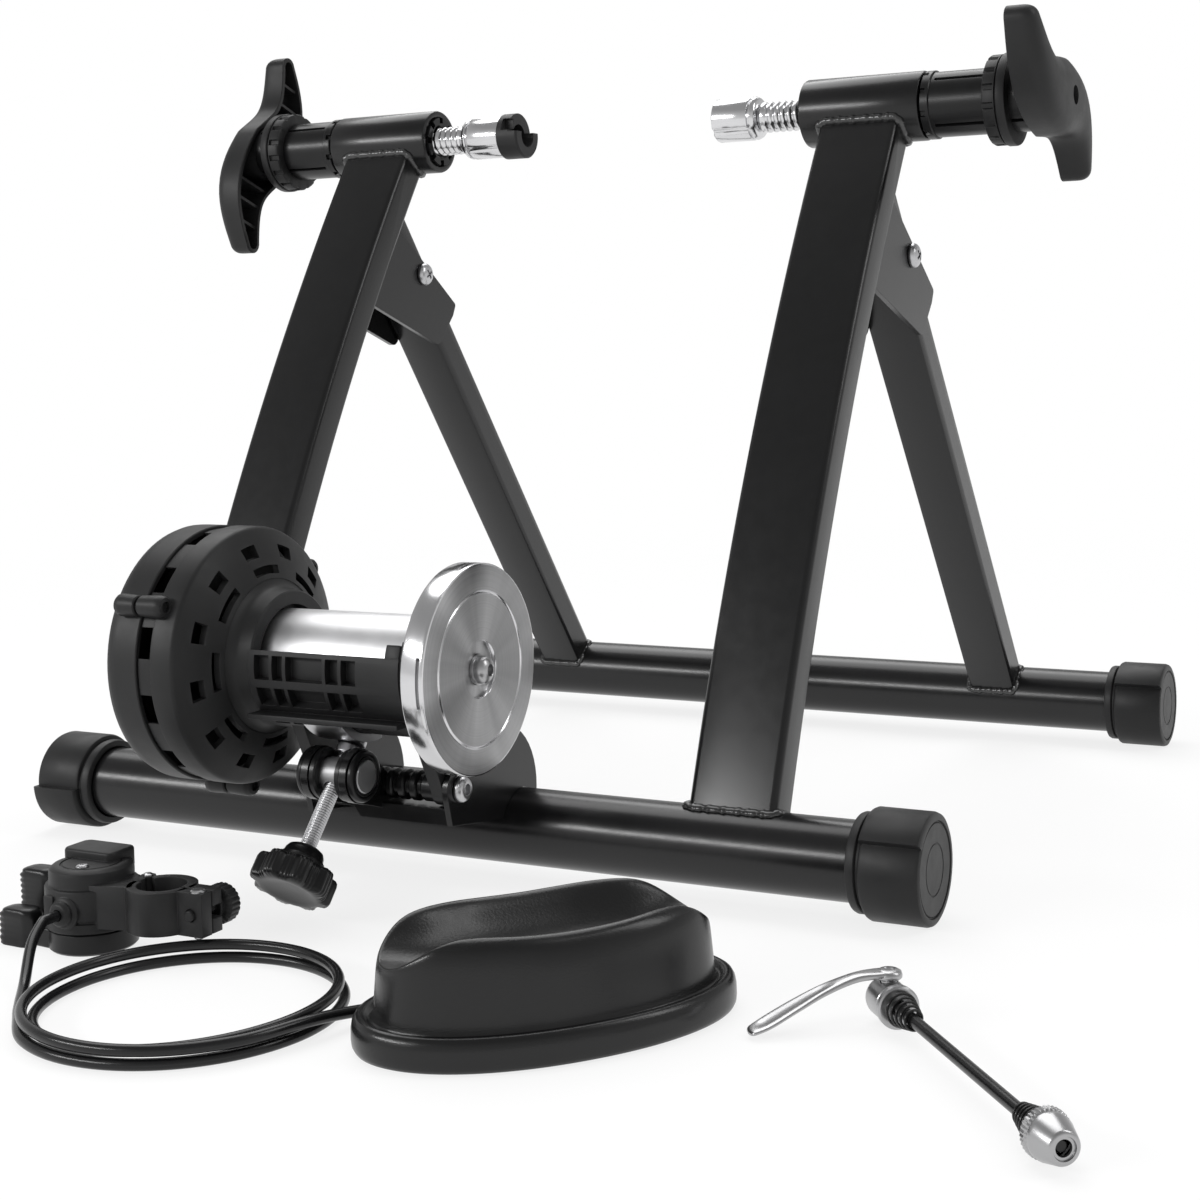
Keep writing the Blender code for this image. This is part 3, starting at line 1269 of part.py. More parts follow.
def tension_screw(parent):
    """The tension screw's barrel, rod, swivel cap and star knob."""
    centre = screw_point(0.0)
    barrel = rod(BARREL_RADIUS, SCREW_X - BARREL_HALF, SCREW_X + BARREL_HALF, ROUND_STEPS, (0.0, BARREL_Y, BARREL_Z))
    hole = rod(SCREW_RADIUS + RUN, -20.0 * MM, 20.0 * MM, SMALL_STEPS, centre, screw_up())
    part("screw_barrel", cut(barrel, hole), CHROME, parent, tuple(centre))

    top = SWIVEL_START + SWIVEL_HEIGHT
    neck = SCREW_RADIUS - 1.2 * MM
    seat = SWIVEL_START + 3.6 * MM
    screw = turned(
        [
            (0.0, -SCREW_DOWN + 4.0 * MM), (SCREW_RADIUS, -SCREW_DOWN + 4.0 * MM),
            (SCREW_RADIUS, SWIVEL_START - GAP), (neck, SWIVEL_START - GAP), (neck, seat), (0.0, seat),
        ],
        SMALL_STEPS, centre, screw_up(), closed=False,
    )
    part("tension_rod", screw, CHROME, parent, tuple(centre))

    cap = turned(
        [
            (neck + RUN, SWIVEL_START), (SWIVEL_RADIUS, SWIVEL_START), (SWIVEL_RADIUS, top - 1.5 * MM),
            (SWIVEL_RADIUS - 2.5 * MM, top), (0.0, top), (0.0, seat + GAP), (neck + RUN, seat + GAP),
        ],
        SMALL_STEPS, centre, screw_up(),
    )
    part("screw_cap", cap, ZINC, parent, tuple(centre))

    count = KNOB_LOBES * 8
    outline = []
    for i in range(count):
        angle = 360.0 * i / count
        wave = math.tanh(2.4 * math.cos(math.radians(angle * KNOB_LOBES)))
        outline.append(polar(KNOB_RADIUS - 1.3 * MM + 1.3 * MM * wave, angle))
    knob = prism(outline, -SCREW_DOWN, -SCREW_DOWN + KNOB_THICK, "Z")
    neck_profile = [
        (0.0, -SCREW_DOWN + KNOB_THICK - 2.0 * MM), (11.5 * MM, -SCREW_DOWN + KNOB_THICK - 2.0 * MM),
        (11.5 * MM, -SCREW_DOWN + KNOB_THICK + 3.0 * MM), (10.0 * MM, -SCREW_DOWN + KNOB_THICK + 7.0 * MM),
        (6.5 * MM, -SCREW_DOWN + KNOB_THICK + 9.5 * MM), (0.0, -SCREW_DOWN + KNOB_THICK + 9.5 * MM),
    ]
    dish = turned(
        [
            (0.0, -SCREW_DOWN + 1.2 * MM), (KNOB_RADIUS - 6.0 * MM, -SCREW_DOWN - 0.1 * MM),
            (KNOB_RADIUS - 6.0 * MM, -SCREW_DOWN - 2.0 * MM), (0.0, -SCREW_DOWN - 2.0 * MM),
        ],
        ROUND_STEPS, axis=(0.0, 0.0, 1.0), closed=False,
    )
    knob = join(knob, turned(neck_profile, ROUND_STEPS, axis=(0.0, 0.0, 1.0), closed=False))
    knob = cut(knob, dish)
    turn = Vector((0.0, 0.0, 1.0)).rotation_difference(screw_up()).to_matrix().to_4x4()
    knob = moved(knob, Matrix.Translation(centre) @ turn)
    bore = rod(
        SCREW_RADIUS + GAP, -SCREW_DOWN + 4.0 * MM - GAP, 0.0, SMALL_STEPS, centre, screw_up()
    )
    part("tension_knob", cut(knob, bore), BLACK_PLASTIC, parent, tuple(centre))


def lever_body(parent):
    """The thumb shifter's drum with its fixed clamp jaw and the cable's gland."""
    drum = turned(
        [
            (0.0, DRUM_LOW), (DRUM_RADIUS, DRUM_LOW), (DRUM_RADIUS, DRUM_HIGH - 2.0 * MM),
            (DRUM_RADIUS - 2.0 * MM, DRUM_HIGH), (0.0, DRUM_HIGH),
        ],
        ROUND_STEPS, axis=(0.0, 0.0, 1.0), closed=False,
    )
    ear = prism(rounded([(-20 * MM, 2 * MM), (10 * MM, 2 * MM), (10 * MM, 20 * MM), (-20 * MM, 20 * MM)],
                        3.0 * MM), DRUM_HIGH - 3.0 * MM, DRUM_HIGH + 4.0 * MM, "Z")
    jaw = prism(arc(BAR_CENTRE, JAW_RADIUS, 181.0, 359.0, 16), JAW_LOW, JAW_HIGH, "Z")
    lug = box((52.0 * MM, -7.0 * MM, JAW_LOW), (69.0 * MM, -GAP, JAW_HIGH))
    web = prism(
        [(12 * MM, -14 * MM), (30 * MM, -8 * MM), (30 * MM, -0.28 * MM), (28.5 * MM, -0.28 * MM),
         (27.5 * MM, 4.5 * MM), (22 * MM, 8 * MM), (12 * MM, 12 * MM)],
        JAW_LOW, JAW_HIGH, "Z",
    )
    hinge = rod(HINGE_KNUCKLE, JAW_LOW, HINGE_SPLIT - GAP, SMALL_STEPS, (*JAW_HINGE, 0.0), (0.0, 0.0, 1.0))
    gland = rod(5.0 * MM, DRUM_RADIUS - 3.0 * MM, GLAND_END, SMALL_STEPS, (*GLAND_SPOT, CABLE_EXIT_Z), (0.0, -1.0, 0.0))
    body = join(drum, ear, jaw, lug, web, hinge, gland)
    body = cut(
        body,
        rod(BAR_RADIUS, JAW_LOW - MM, JAW_HIGH + MM, ROUND_STEPS, (*BAR_CENTRE, 0.0), (0.0, 0.0, 1.0)),
        rod(THUMB_ROD + RUN, -20 * MM, 20 * MM, SMALL_STEPS, (*THUMB_SPOT, THUMB_Z), (0.0, 1.0, 0.0)),
        rod(HINGE_KNUCKLE + GAP, HINGE_SPLIT - GAP, JAW_HIGH + MM, SMALL_STEPS, (*JAW_HINGE, 0.0), (0.0, 0.0, 1.0)),
        rod(DRUM_RADIUS, -MM, DRUM_LOW, ROUND_STEPS, axis=(0.0, 0.0, 1.0)),
    )
    part("shifter_body", body, BLACK_PLASTIC, parent)


def bar_strap(parent):
    """The hinged half of the handlebar clamp."""
    knuckle = rod(HINGE_KNUCKLE, HINGE_SPLIT, JAW_HIGH, SMALL_STEPS, (*JAW_HINGE, 0.0), (0.0, 0.0, 1.0))
    band = prism(arc(BAR_CENTRE, JAW_RADIUS, 1.0, 148.0, 16) + [BAR_CENTRE], JAW_LOW, JAW_HIGH, "Z")
    lug = box((52.0 * MM, GAP, JAW_LOW), (69.0 * MM, 7.0 * MM, JAW_HIGH))
    body = cut(
        join(band, lug),
        rod(BAR_RADIUS, JAW_LOW - MM, JAW_HIGH + MM, ROUND_STEPS, (*BAR_CENTRE, 0.0), (0.0, 0.0, 1.0)),
        box((THUMB_SPOT[0] - THUMB_ROD - RUN - STRAP_SWING_ROOM, -MM, THUMB_Z - THUMB_ROD - RUN),
            (75.0 * MM, 20.0 * MM, THUMB_Z + THUMB_ROD + RUN)),
        rod(HINGE_KNUCKLE + GAP, JAW_LOW - MM, HINGE_SPLIT, SMALL_STEPS, (*JAW_HINGE, 0.0), (0.0, 0.0, 1.0)),
    )
    part("bar_strap", join(body, knuckle), BLACK_PLASTIC, parent, (*JAW_HINGE, JAW_HIGH))


def thumb_screw(parent):
    """The screw with a round thumb head that closes the handlebar clamp."""
    head = JAW_HALF_GAP + 7.0 * MM + GAP
    profile = [
        (0.0, -THUMB_REACH), (THUMB_ROD, -THUMB_REACH), (THUMB_ROD, head), (5.5 * MM, head),
        (5.5 * MM, head + 2.0 * MM), (THUMB_HEAD, head + 3.0 * MM), (THUMB_HEAD, head + 9.0 * MM),
        (THUMB_HEAD - 2.0 * MM, head + 11.0 * MM), (0.0, head + 11.0 * MM),
    ]
    centre = (*THUMB_SPOT, THUMB_Z)
    body = turned(profile, SMALL_STEPS, centre, (0.0, 1.0, 0.0), closed=False)
    part("thumb_screw", body, BLACK_PLASTIC, parent, centre)


def thumb_lever(parent):
    """The shifter's lever: a ring under the drum with two thumb paddles."""
    ring = rod(DRUM_RADIUS - MM, LEVER_LOW, DRUM_LOW - GAP, ROUND_STEPS, axis=(0.0, 0.0, 1.0))
    paddle = []
    for centre, low, high in (((-33.0 * MM, 5.0 * MM), LEVER_LOW, 31.0 * MM),
                              ((-30.0 * MM, -12.0 * MM), LEVER_LOW, 17.0 * MM)):
        outline = rounded(
            [(centre[0] - 13 * MM, centre[1] - 6 * MM), (centre[0] + 8 * MM, centre[1] - 7 * MM),
             (centre[0] + 8 * MM, centre[1] + 7 * MM), (centre[0] - 13 * MM, centre[1] + 6 * MM)],
            5.0 * MM,
        )
        paddle.append(prism(outline, low, high, "Z"))
    arm = prism(
        [(-28.0 * MM, -14.0 * MM), (-8.0 * MM, -16.0 * MM), (-8.0 * MM, 16.0 * MM), (-28.0 * MM, 10.0 * MM)],
        LEVER_LOW, DRUM_LOW - GAP, "Z",
    )
    body = join(ring, arm, *paddle)
    body = cut(body, rod(DRUM_RADIUS + 0.6 * MM, DRUM_LOW - 0.2 * MM, 60.0 * MM, ROUND_STEPS, axis=(0.0, 0.0, 1.0)))
    part("thumb_lever", body, BLACK_PLASTIC, parent, (0.0, 0.0, LEVER_LOW))


def smooth_route(points, spacing):
    """Evenly spaced points on a smooth curve through a cord's own points."""
    count = len(points)

    def spline(i, t):
        p0 = points[max(i - 1, 0)]
        p1, p2 = points[i], points[i + 1]
        p3 = points[min(i + 2, count - 1)]
        return 0.5 * (
            2.0 * p1 + (p2 - p0) * t + (2.0 * p0 - 5.0 * p1 + 4.0 * p2 - p3) * t * t
            + (3.0 * p1 - p0 - 3.0 * p2 + p3) * t ** 3
        )

    dense = [spline(i, k / 24.0) for i in range(count - 1) for k in range(24)] + [points[-1]]
    lengths = [0.0]
    for a, b in zip(dense, dense[1:]):
        lengths.append(lengths[-1] + (b - a).length)
    number = max(2, round(lengths[-1] / spacing))
    result = []
    index = 0
    for k in range(number + 1):
        target = lengths[-1] * k / number
        while index < len(lengths) - 2 and lengths[index + 1] < target:
            index += 1
        span = max(lengths[index + 1] - lengths[index], 1e-9)
        result.append(dense[index].lerp(dense[index + 1], (target - lengths[index]) / span))
    return result


def cable_route():
    """The shifter cable: out of its gland, down to the floor and round the piled loops."""
    centre = Vector((*CABLE_CENTRE, 0.0))
    rest = CABLE_RADIUS
    exit_point = Vector((GLAND_SPOT[0], -GLAND_END - GAP, CABLE_EXIT_Z))
    points = [exit_point + Vector((0.0, -8.0 * MM, 0.0))]
    points += [Vector(p) for p in CABLE_LEAD]
    half = CABLE_TURNS / 2.0
    per_turn = 16
    total = round(CABLE_TURNS * per_turn)
    climb = CABLE_CLIMB / 2.0
    for i in range(total + 1):
        turn = i / per_turn
        if turn <= half:
            radius = CABLE_LOOP - CABLE_DRAW * turn
        else:
            radius = CABLE_LOOP - CABLE_DRAW * (2.0 * half - turn)
        share = min(max((turn - half + climb) / CABLE_CLIMB, 0.0), 1.0)
        height = rest + CABLE_LAYER * share * share * (3.0 - 2.0 * share)
        x, y = polar(radius, CABLE_START + 360.0 * turn)
        points.append(centre + Vector((x, y, height)))
    points += [Vector(p) for p in CABLE_TAIL]
    return exit_point, points


def tube_object(name, points, radius, resolution, finish, parent):
    """A round tube along a list of points, as a bevelled curve with filled ends."""
    curve = bpy.data.curves.new(name, "CURVE")
    curve.dimensions = "3D"
    curve.bevel_depth = radius
    curve.bevel_resolution = resolution
    curve.use_fill_caps = True
    spline = curve.splines.new("POLY")
    spline.points.add(len(points) - 1)
    for target, point in zip(spline.points, points):
        target.co = (*point, 1.0)
    curve.materials.append(material_for(name, finish))
    item = bpy.data.objects.new(name, curve)
    bpy.context.collection.objects.link(item)
    item.parent = parent
    return item


def least_self_gap(points, radius, skip):
    """The least clear gap between stretches of one tube that aren't neighbours."""
    least = 1.0
    for i, a in enumerate(points):
        for b in points[i + skip:]:
            least = min(least, (a - b).length - 2.0 * radius)
    return least


def shifter_cable(parent):
    """The cable with its loops."""
    exit_point, route = cable_route()
    points = [exit_point] + smooth_route(route, CABLE_STEP)
    length = sum((b - a).length for a, b in zip(points, points[1:]))
    dense = smooth_route(route, 2.0 * MM)
    gap = least_self_gap(dense, CABLE_RADIUS, 20)
    print(f"shifter_cable: {length:.3f} m long, {CABLE_TURNS} loops, least gap {gap * 1000.0:.2f} mm")
    tube_object("shifter_cable", points, CABLE_RADIUS, 2, NYLON, parent)


def wheel_block(parent):
    """The front wheel block: an oval base, a drafted body and a curved trough for the tyre."""

    def oval(length, width, z, power=2.5, steps=28):
        points = []
        for i in range(steps):
            angle = math.radians(360.0 * i / steps)
            c, s = math.cos(angle), math.sin(angle)
            x = length / 2.0 * math.copysign(abs(c) ** (2.0 / power), c)
            y = width / 2.0 * math.copysign(abs(s) ** (2.0 / power), s)
            points.append((x, y, z))
        return points

    base = BLOCK_BASE_HEIGHT
    rings = [
        oval(BLOCK_LENGTH - 4.0 * MM, BLOCK_WIDTH - 4.0 * MM, 0.0, 2.1),
        oval(BLOCK_LENGTH, BLOCK_WIDTH, 3.0 * MM, 2.1),
        oval(BLOCK_LENGTH, BLOCK_WIDTH, base - 4.0 * MM, 2.1),
        oval(BLOCK_LENGTH - 6.0 * MM, BLOCK_WIDTH - 6.0 * MM, base, 2.1),
        oval(BLOCK_LENGTH - 18.0 * MM, BLOCK_WIDTH - 18.0 * MM, base + 0.5 * MM, 2.2),
        oval(BLOCK_LENGTH - 24.0 * MM, BLOCK_WIDTH - 22.0 * MM, base + 14.0 * MM, 2.3),
        oval(BLOCK_LENGTH - 34.0 * MM, BLOCK_WIDTH - 30.0 * MM, BLOCK_HEIGHT - 7.0 * MM, 2.4),
        oval(BLOCK_LENGTH - 42.0 * MM, BLOCK_WIDTH - 38.0 * MM, BLOCK_HEIGHT - 1.5 * MM, 2.4),
        oval(BLOCK_LENGTH - 52.0 * MM, BLOCK_WIDTH - 48.0 * MM, BLOCK_HEIGHT, 2.4),
    ]
    body = loft(rings)
    arm = WHEEL_RADIUS + BLOCK_TROUGH_FLOOR
    trough = []
    steps = 12
    for i in range(steps + 1):
        swing = math.radians(-20.0 + 40.0 * i / steps)
        ring = []
        for y, r in [(-60.0 * MM, -46.0 * MM)] + BLOCK_SECTION + [(60.0 * MM, -46.0 * MM)]:
            reach = WHEEL_RADIUS + r
            ring.append((reach * math.sin(swing), y, arm - reach * math.cos(swing)))
        trough.append(ring)
    body = cut(body, loft(trough))
    part("wheel_block", body, BLACK_PLASTIC, parent, (0.0, 0.0, 0.0), 50.0)


def spring_points(start, end, radius_start, radius_end, turns):
    """A conical spring along X."""
    points = []
    per_turn = 8
    total = turns * per_turn
    for i in range(total + 1):
        share = i / total
        angle = math.radians(360.0 * i / per_turn)
        radius = radius_start + (radius_end - radius_start) * share
        x = start + (end - start) * share
        points.append(Vector((x, radius * math.cos(angle), SKEWER_HEIGHT + radius * math.sin(angle))))
    return points


def skewer(parent):
    """The rear axle skewer: cam head and lever, rod, two conical springs and the cone nut."""
    centre = (0.0, 0.0, SKEWER_HEIGHT)
    axle = (1.0, 0.0, 0.0)
    head_in = -SKEWER_HALF
    rod_end = SKEWER_HALF + 13.0 * MM
    shaft = rod(SKEWER_RADIUS, head_in - 3.0 * MM, rod_end, SMALL_STEPS, centre, axle)
    part("skewer_rod", shaft, BLACK_STEEL, parent, centre)
    bore = SKEWER_RADIUS + GAP
    head = turned(
        [
            (bore, head_in - 4.0 * MM), (5.5 * MM, head_in - 4.0 * MM), (7.4 * MM, head_in),
            (8.6 * MM, head_in), (8.6 * MM, head_in - 3.0 * MM), (8.0 * MM, head_in - 3.6 * MM),
            (8.0 * MM, head_in - 16.0 * MM), (6.5 * MM, head_in - 18.0 * MM), (0.0, head_in - 18.0 * MM),
            (0.0, head_in - 3.0 * MM - GAP), (bore, head_in - 3.0 * MM - GAP),
        ],
        ROUND_STEPS, centre, axle,
    )
    slot = rod(LEVER_PIN + RUN, -7.4 * MM - GAP, 20.0 * MM, SMALL_STEPS, (head_in - 10.5 * MM, 0.0, SKEWER_HEIGHT),
               (0.0, 0.0, 1.0))
    part("skewer_head", cut(head, slot), CHROME, parent, centre)
    lever(parent, head_in - 10.5 * MM)
    nut_in = SKEWER_HALF
    nut = turned(
        [
            (bore, nut_in), (7.0 * MM, nut_in), (9.0 * MM, nut_in + 0.8 * MM), (9.0 * MM, nut_in + 4.0 * MM),
            (8.4 * MM, nut_in + 4.6 * MM), (8.4 * MM, nut_in + 6.0 * MM), (6.0 * MM, nut_in + 15.0 * MM),
            (5.2 * MM, nut_in + 15.6 * MM), (bore, nut_in + 15.6 * MM),
        ],
        ROUND_STEPS, centre, axle,
    )
    knurl = teeth(12, 1.8 * MM, 8.5 * MM, 10.0 * MM, nut_in - MM, nut_in + 3.2 * MM, centre, axle)
    part("skewer_nut", cut(nut, knurl), CHROME, parent, centre)
    small = SKEWER_RADIUS + SPRING_WIRE + GAP
    turns = 5
    left = spring_points(head_in + 1.4 * MM, head_in + 16.0 * MM, 6.6 * MM, small, turns)
    right = spring_points(nut_in - 16.0 * MM, nut_in - 1.4 * MM, small, 6.6 * MM, turns)
    for name, points in (("head_spring", left), ("nut_spring", right)):
        gap = least_self_gap(points, SPRING_WIRE, 6)
        print(f"{name}: {turns} coils, least gap {gap * 1000.0:.2f} mm")
        tube_object(name, points, SPRING_WIRE, 1, BLACK_STEEL, parent)


def lever(parent, pin_x):
    """The skewer's cam lever: an upright cam pin and a flat arm that droops to the floor."""
    centre = (pin_x, 0.0, SKEWER_HEIGHT)
    pin = rod(LEVER_PIN, -7.4 * MM, 10.0 * MM, SMALL_STEPS, centre, (0.0, 0.0, 1.0))
    rings = []
    for x, y, z, width, thick in LEVER_STATIONS:
        ring = []
        for i in range(12):
            c, s = polar(1.0, 30.0 * i)
            ring.append((pin_x + x + width / 2.0 * c, y, SKEWER_HEIGHT + z + thick / 2.0 * s))
        rings.append(ring)
    arm = loft(rings)
    part("skewer_lever", join(pin, arm), CHROME, parent, centre)


def place(name, spot, degrees=0.0, parent=None):
    """An empty that carries one group of pieces."""
    holder = bpy.data.objects.new(name, None)
    bpy.context.collection.objects.link(holder)
    holder.parent = parent
    holder.location = spot
    holder.rotation_euler = (0.0, 0.0, math.radians(degrees))
    return holder


def build():
    """Model the whole trainer and the loose pieces that lie in front of it."""
    remove_all_objects()
    trainer = place("trainer", TRAINER_SPOT)
    base_tube("front_base_tube", FRONT_SPAN, 0.0, trainer)
    base_tube("rear_base_tube", REAR_SPAN, BASE_SPACING, trainer)
    for side in ("left", "right"):
        foot_cap("front_" + side + "_foot", side, FRONT_SPAN, 0.0, trainer)
        foot_cap("rear_" + side + "_foot", side, REAR_SPAN, BASE_SPACING, trainer)
        upright(side, trainer)
        rear_leg(side, trainer)
        hinge_bracket(side, trainer)
        hinge_bolt(side, trainer)
        clamp(side, trainer)
    tip_insert(trainer)
    unit_bracket(trainer)
    unit_pivot_bolt(trainer)
    yoke_bushing(0, "left_yoke_bushing", trainer)
    yoke_bushing(1, "right_yoke_bushing", trainer)
    roller_carrier(trainer)
    outer_shell(trainer)
    magnet_plate(trainer)
    tension_pad(trainer)
    rotor(trainer)
    rotor_bearing("left_bearing", BEARING_LEFT_X, trainer)
    rotor_bearing("right_bearing", BEARING_RIGHT_X, trainer)
    tension_screw(trainer)
    shifter = place("shifter", SHIFTER_SPOT, SHIFTER_TURN, trainer)
    lever_body(shifter)
    thumb_lever(shifter)
    bar_strap(shifter)
    thumb_screw(shifter)
    shifter_cable(shifter)
    block = place("block", BLOCK_SPOT, BLOCK_TURN, trainer)
    wheel_block(block)
    axle_skewer = place("skewer", SKEWER_SPOT, SKEWER_TURN, trainer)
    skewer(axle_skewer)
    bpy.context.view_layer.update()


build()
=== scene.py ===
"""A folding indoor bike trainer with its loose accessories, dressed for a studio picture.

+Z is up, +X points to the right-hand clamp and +Y to the rear base tube. Shapes and places are
written in millimetres and come to metres when a mesh is made; camera and lights are in metres.
Trainer pieces are drawn with the front base tube's axis at Y = 0 and then moved to their place.
"""

import json
import math

import bmesh
import bpy
from mathutils import Matrix, Vector

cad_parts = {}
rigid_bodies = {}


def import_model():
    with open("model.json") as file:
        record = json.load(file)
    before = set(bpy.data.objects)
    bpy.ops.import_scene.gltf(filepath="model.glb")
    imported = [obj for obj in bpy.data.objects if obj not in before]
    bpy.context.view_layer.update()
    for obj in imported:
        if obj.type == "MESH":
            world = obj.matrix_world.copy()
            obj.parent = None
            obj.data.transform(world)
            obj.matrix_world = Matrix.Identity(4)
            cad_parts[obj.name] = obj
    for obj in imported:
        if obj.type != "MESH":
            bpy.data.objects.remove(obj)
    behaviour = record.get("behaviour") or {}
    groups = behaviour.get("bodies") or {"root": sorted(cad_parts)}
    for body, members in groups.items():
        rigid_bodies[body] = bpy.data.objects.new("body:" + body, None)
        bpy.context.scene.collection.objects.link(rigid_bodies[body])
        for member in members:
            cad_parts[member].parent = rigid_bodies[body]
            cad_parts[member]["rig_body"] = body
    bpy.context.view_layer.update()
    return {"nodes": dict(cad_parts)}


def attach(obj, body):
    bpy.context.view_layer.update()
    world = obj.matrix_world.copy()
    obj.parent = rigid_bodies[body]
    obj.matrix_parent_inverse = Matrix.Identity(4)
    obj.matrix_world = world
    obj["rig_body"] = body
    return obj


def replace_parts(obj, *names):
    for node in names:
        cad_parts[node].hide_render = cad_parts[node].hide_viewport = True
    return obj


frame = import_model()

MM = 0.001
GAP = 0.3
RUN = 0.35
ZERO = (0.0, 0.0, 0.0)
ACROSS = (1.0, 0.0, 0.0)
UP = (0.0, 0.0, 1.0)
SIGN = {"left": -1.0, "right": 1.0}
WHITE = (1.0, 1.0, 1.0, 1.0)

# Steps round a circle, for large, middling and small forms.
FINE = 96
ROUND = 64
SMALL = 32

# Base tubes and their turning foot caps.
TUBE_RADIUS = 19.05
TUBE_WALL = 1.5
BASE_SPACING = 420.0
FRONT_SPAN = 520.0
REAR_SPAN = 545.0
FOOT_RADIUS = 26.0
FOOT_STEP = 2.0
FOOT_LENGTH = 36.0
FOOT_END_WALL = 5.0
FOOT_COLLAR = 5.0
FOOT_GROOVE = 1.6
FOOT_PLATEAU = (0.20, 0.70)
BASE_Z = FOOT_RADIUS

# Uprights: gently bent flat-sided tubes from the front tube to the clamp housings.
CLAMP_Y = 200.0
CLAMP_Z = 393.0
CLAMP = (0.0, CLAMP_Y, CLAMP_Z)
UPRIGHT_X = 159.7
UPRIGHT_WIDTH = 46.0
UPRIGHT_DEPTH = 21.0
UPRIGHT_CORNER = 3.5
UPRIGHT_BOW = 14.5
STEEL_WALL = 1.8

# Rear legs and the fold hinge.
HINGE_Y = 207.0
HINGE_Z = 311.5
HINGE = (0.0, HINGE_Y, HINGE_Z)
LEG_X = 162.0
LEG_WIDTH = 30.0
LEG_DEPTH = 21.5
LEG_CORNER = 3.0
PLATE = 3.0
HINGE_BOLT = 4.0
HINGE_HEAD = 7.0
HINGE_HEAD_HEIGHT = 4.5

# Clamps. Distances are from the middle of the trainer outwards along X.
HOUSING_RADIUS = 19.1
HOUSING_BORE = 15.0
HOUSING_IN = 124.0
HOUSING_OUT = 194.0
SPINDLE_RADIUS = 8.75
NOSE_RADIUS = 5.0
NOSE_LENGTH = 8.0
TIP_RADIUS = 12.5
TIP_LENGTH = 26.5
TIP_CUP_RADIUS = 9.6
TIP_CUP_DEPTH = 13.0
TIP_START = {"left": 75.5, "right": 67.5}
INSERT_REACH = 14.5
INSERT_RADIUS = 13.7
BUSHING_DEPTH = 18.0
BUSHING_PROUD = 1.5
SLEEVE_RADIUS = 17.8
SLEEVE_IN = 152.0
COLLAR_RADIUS = 18.7
COLLAR_WIDTH = 5.0
RING_IN = 231.0
RING_WIDTH = 13.0
RING_RADIUS = 25.0
RING_TOOTH_DEPTH = 2.0
RING_PITCH = 24.0
HANDLE_IN = 254.0
HANDLE_DEPTH = 22.0
HANDLE_REACH = 62.0
HANDLE_SWAY = 11.0
HANDLE_HUB_WIDTH = 21.0
HANDLE_TIP_RADIUS = 6.5
HANDLE_TAPER = 0.3
HANDLE_WALL = 2.6
HANDLE_HUB_RADIUS = 16.5
HANDLE_RIB = 1.8
HANDLE_TURN = {"left": -20.5, "right": 55.0}

# Resistance unit: the rotor axis, the tilt pivot and the tension screw.
ROTOR_Y = -65.0
ROTOR_Z = 117.0
ROTOR = (0.0, ROTOR_Y, ROTOR_Z)
ROLLER_RADIUS = 24.0
ROLLER_LEFT = -52.0
ROLLER_RIGHT = 36.0
ROLLER_CLEAR = 1.6
CRADLE_RIM = ROLLER_RADIUS + ROLLER_CLEAR + 8.4
AXLE_RADIUS = 5.0
FLYWHEEL_RADIUS = 50.0
FLYWHEEL_IN = 48.8
FLYWHEEL_OUT = 60.8
BEARING_RADIUS = 11.0
BEARING_WIDTH = 6.0
BEARING_LEFT_X = -62.0
BEARING_RIGHT_X = 37.3
SHELL_RADIUS = 64.0
SHELL_WALL = 2.6
SHELL_SPLIT = -91.7
SHELL_RIM = -70.0
SHELL_END = -113.7
SHELL_BOSSES = (32.0, 152.0, 272.0)
BOSS_REACH = SHELL_RADIUS + 3.2
NOTCH_START = 17.0
NECK_RADIUS = 33.0
NECK_X = -48.0
DISC_RADIUS = 53.0
DISC_THICK = 3.5
DISC_X = -87.5
MAGNET_X = -102.5
MAGNET_RADIUS = 52.0
MAGNET_RING = 38.0
MAGNET_PUCK = 9.0
MAGNET_PLATE = 2.5
MAGNET_HEIGHT = 3.5
MAGNET_COUNT = 6
POST_RADIUS = 6.0
POST_END = -91.5
CRADLE_POCKETS = ((-45.5, -37.0), (-35.0, -29.0), (-27.0, -6.0), (-4.0, 3.0), (5.0, 13.0))
POCKET_ANGLES = ((169.0, 189.0), (196.0, 213.0), (222.0, 239.0))
RIM_SLOTS = (88.0, 178.0, 268.0)
PIVOT_Y = -57.0
PIVOT_Z = 57.0
PIVOT = (0.0, PIVOT_Y, PIVOT_Z)
PIVOT_RADIUS = 4.0
BRACKET_HALF = 42.0
LEG_PLATE = 7.0
MOON_CENTRE = (-20.0, 45.0)
MOON_RADIUS = 35.6
CHEEK_LOBE = 11.0
SCREW_X = -11.0
BARREL_Y = -81.0
BARREL_Z = 65.0
BARREL = (0.0, BARREL_Y, BARREL_Z)
BARREL_RADIUS = 8.0
BARREL_HALF = 16.5
SCREW_RADIUS = 4.0
SCREW_LEAN = math.radians(42.0)
SCREW_UP = Vector((0.0, math.sin(SCREW_LEAN), math.cos(SCREW_LEAN)))
SCREW = Vector((SCREW_X, BARREL_Y, BARREL_Z))
SCREW_DOWN = 62.5
SCREW_PITCH = 1.25
SWIVEL_RADIUS = 6.0
SWIVEL_START = 9.6
SWIVEL_HEIGHT = 6.4
PAD_START = 16.5
PAD_SEAT = 3.0
PAD_THICK = 4.2
PAD_HALF = 11.0
PAD_ANGLES = (224.0, 278.0)
KNOB_RADIUS = 20.0
KNOB_LOBES = 8
YOKE_RADIUS = 13.0
YOKE_PLATE = 4.0
YOKE_OFFSET = 9.0
YOKE_FLANGE = 12.4

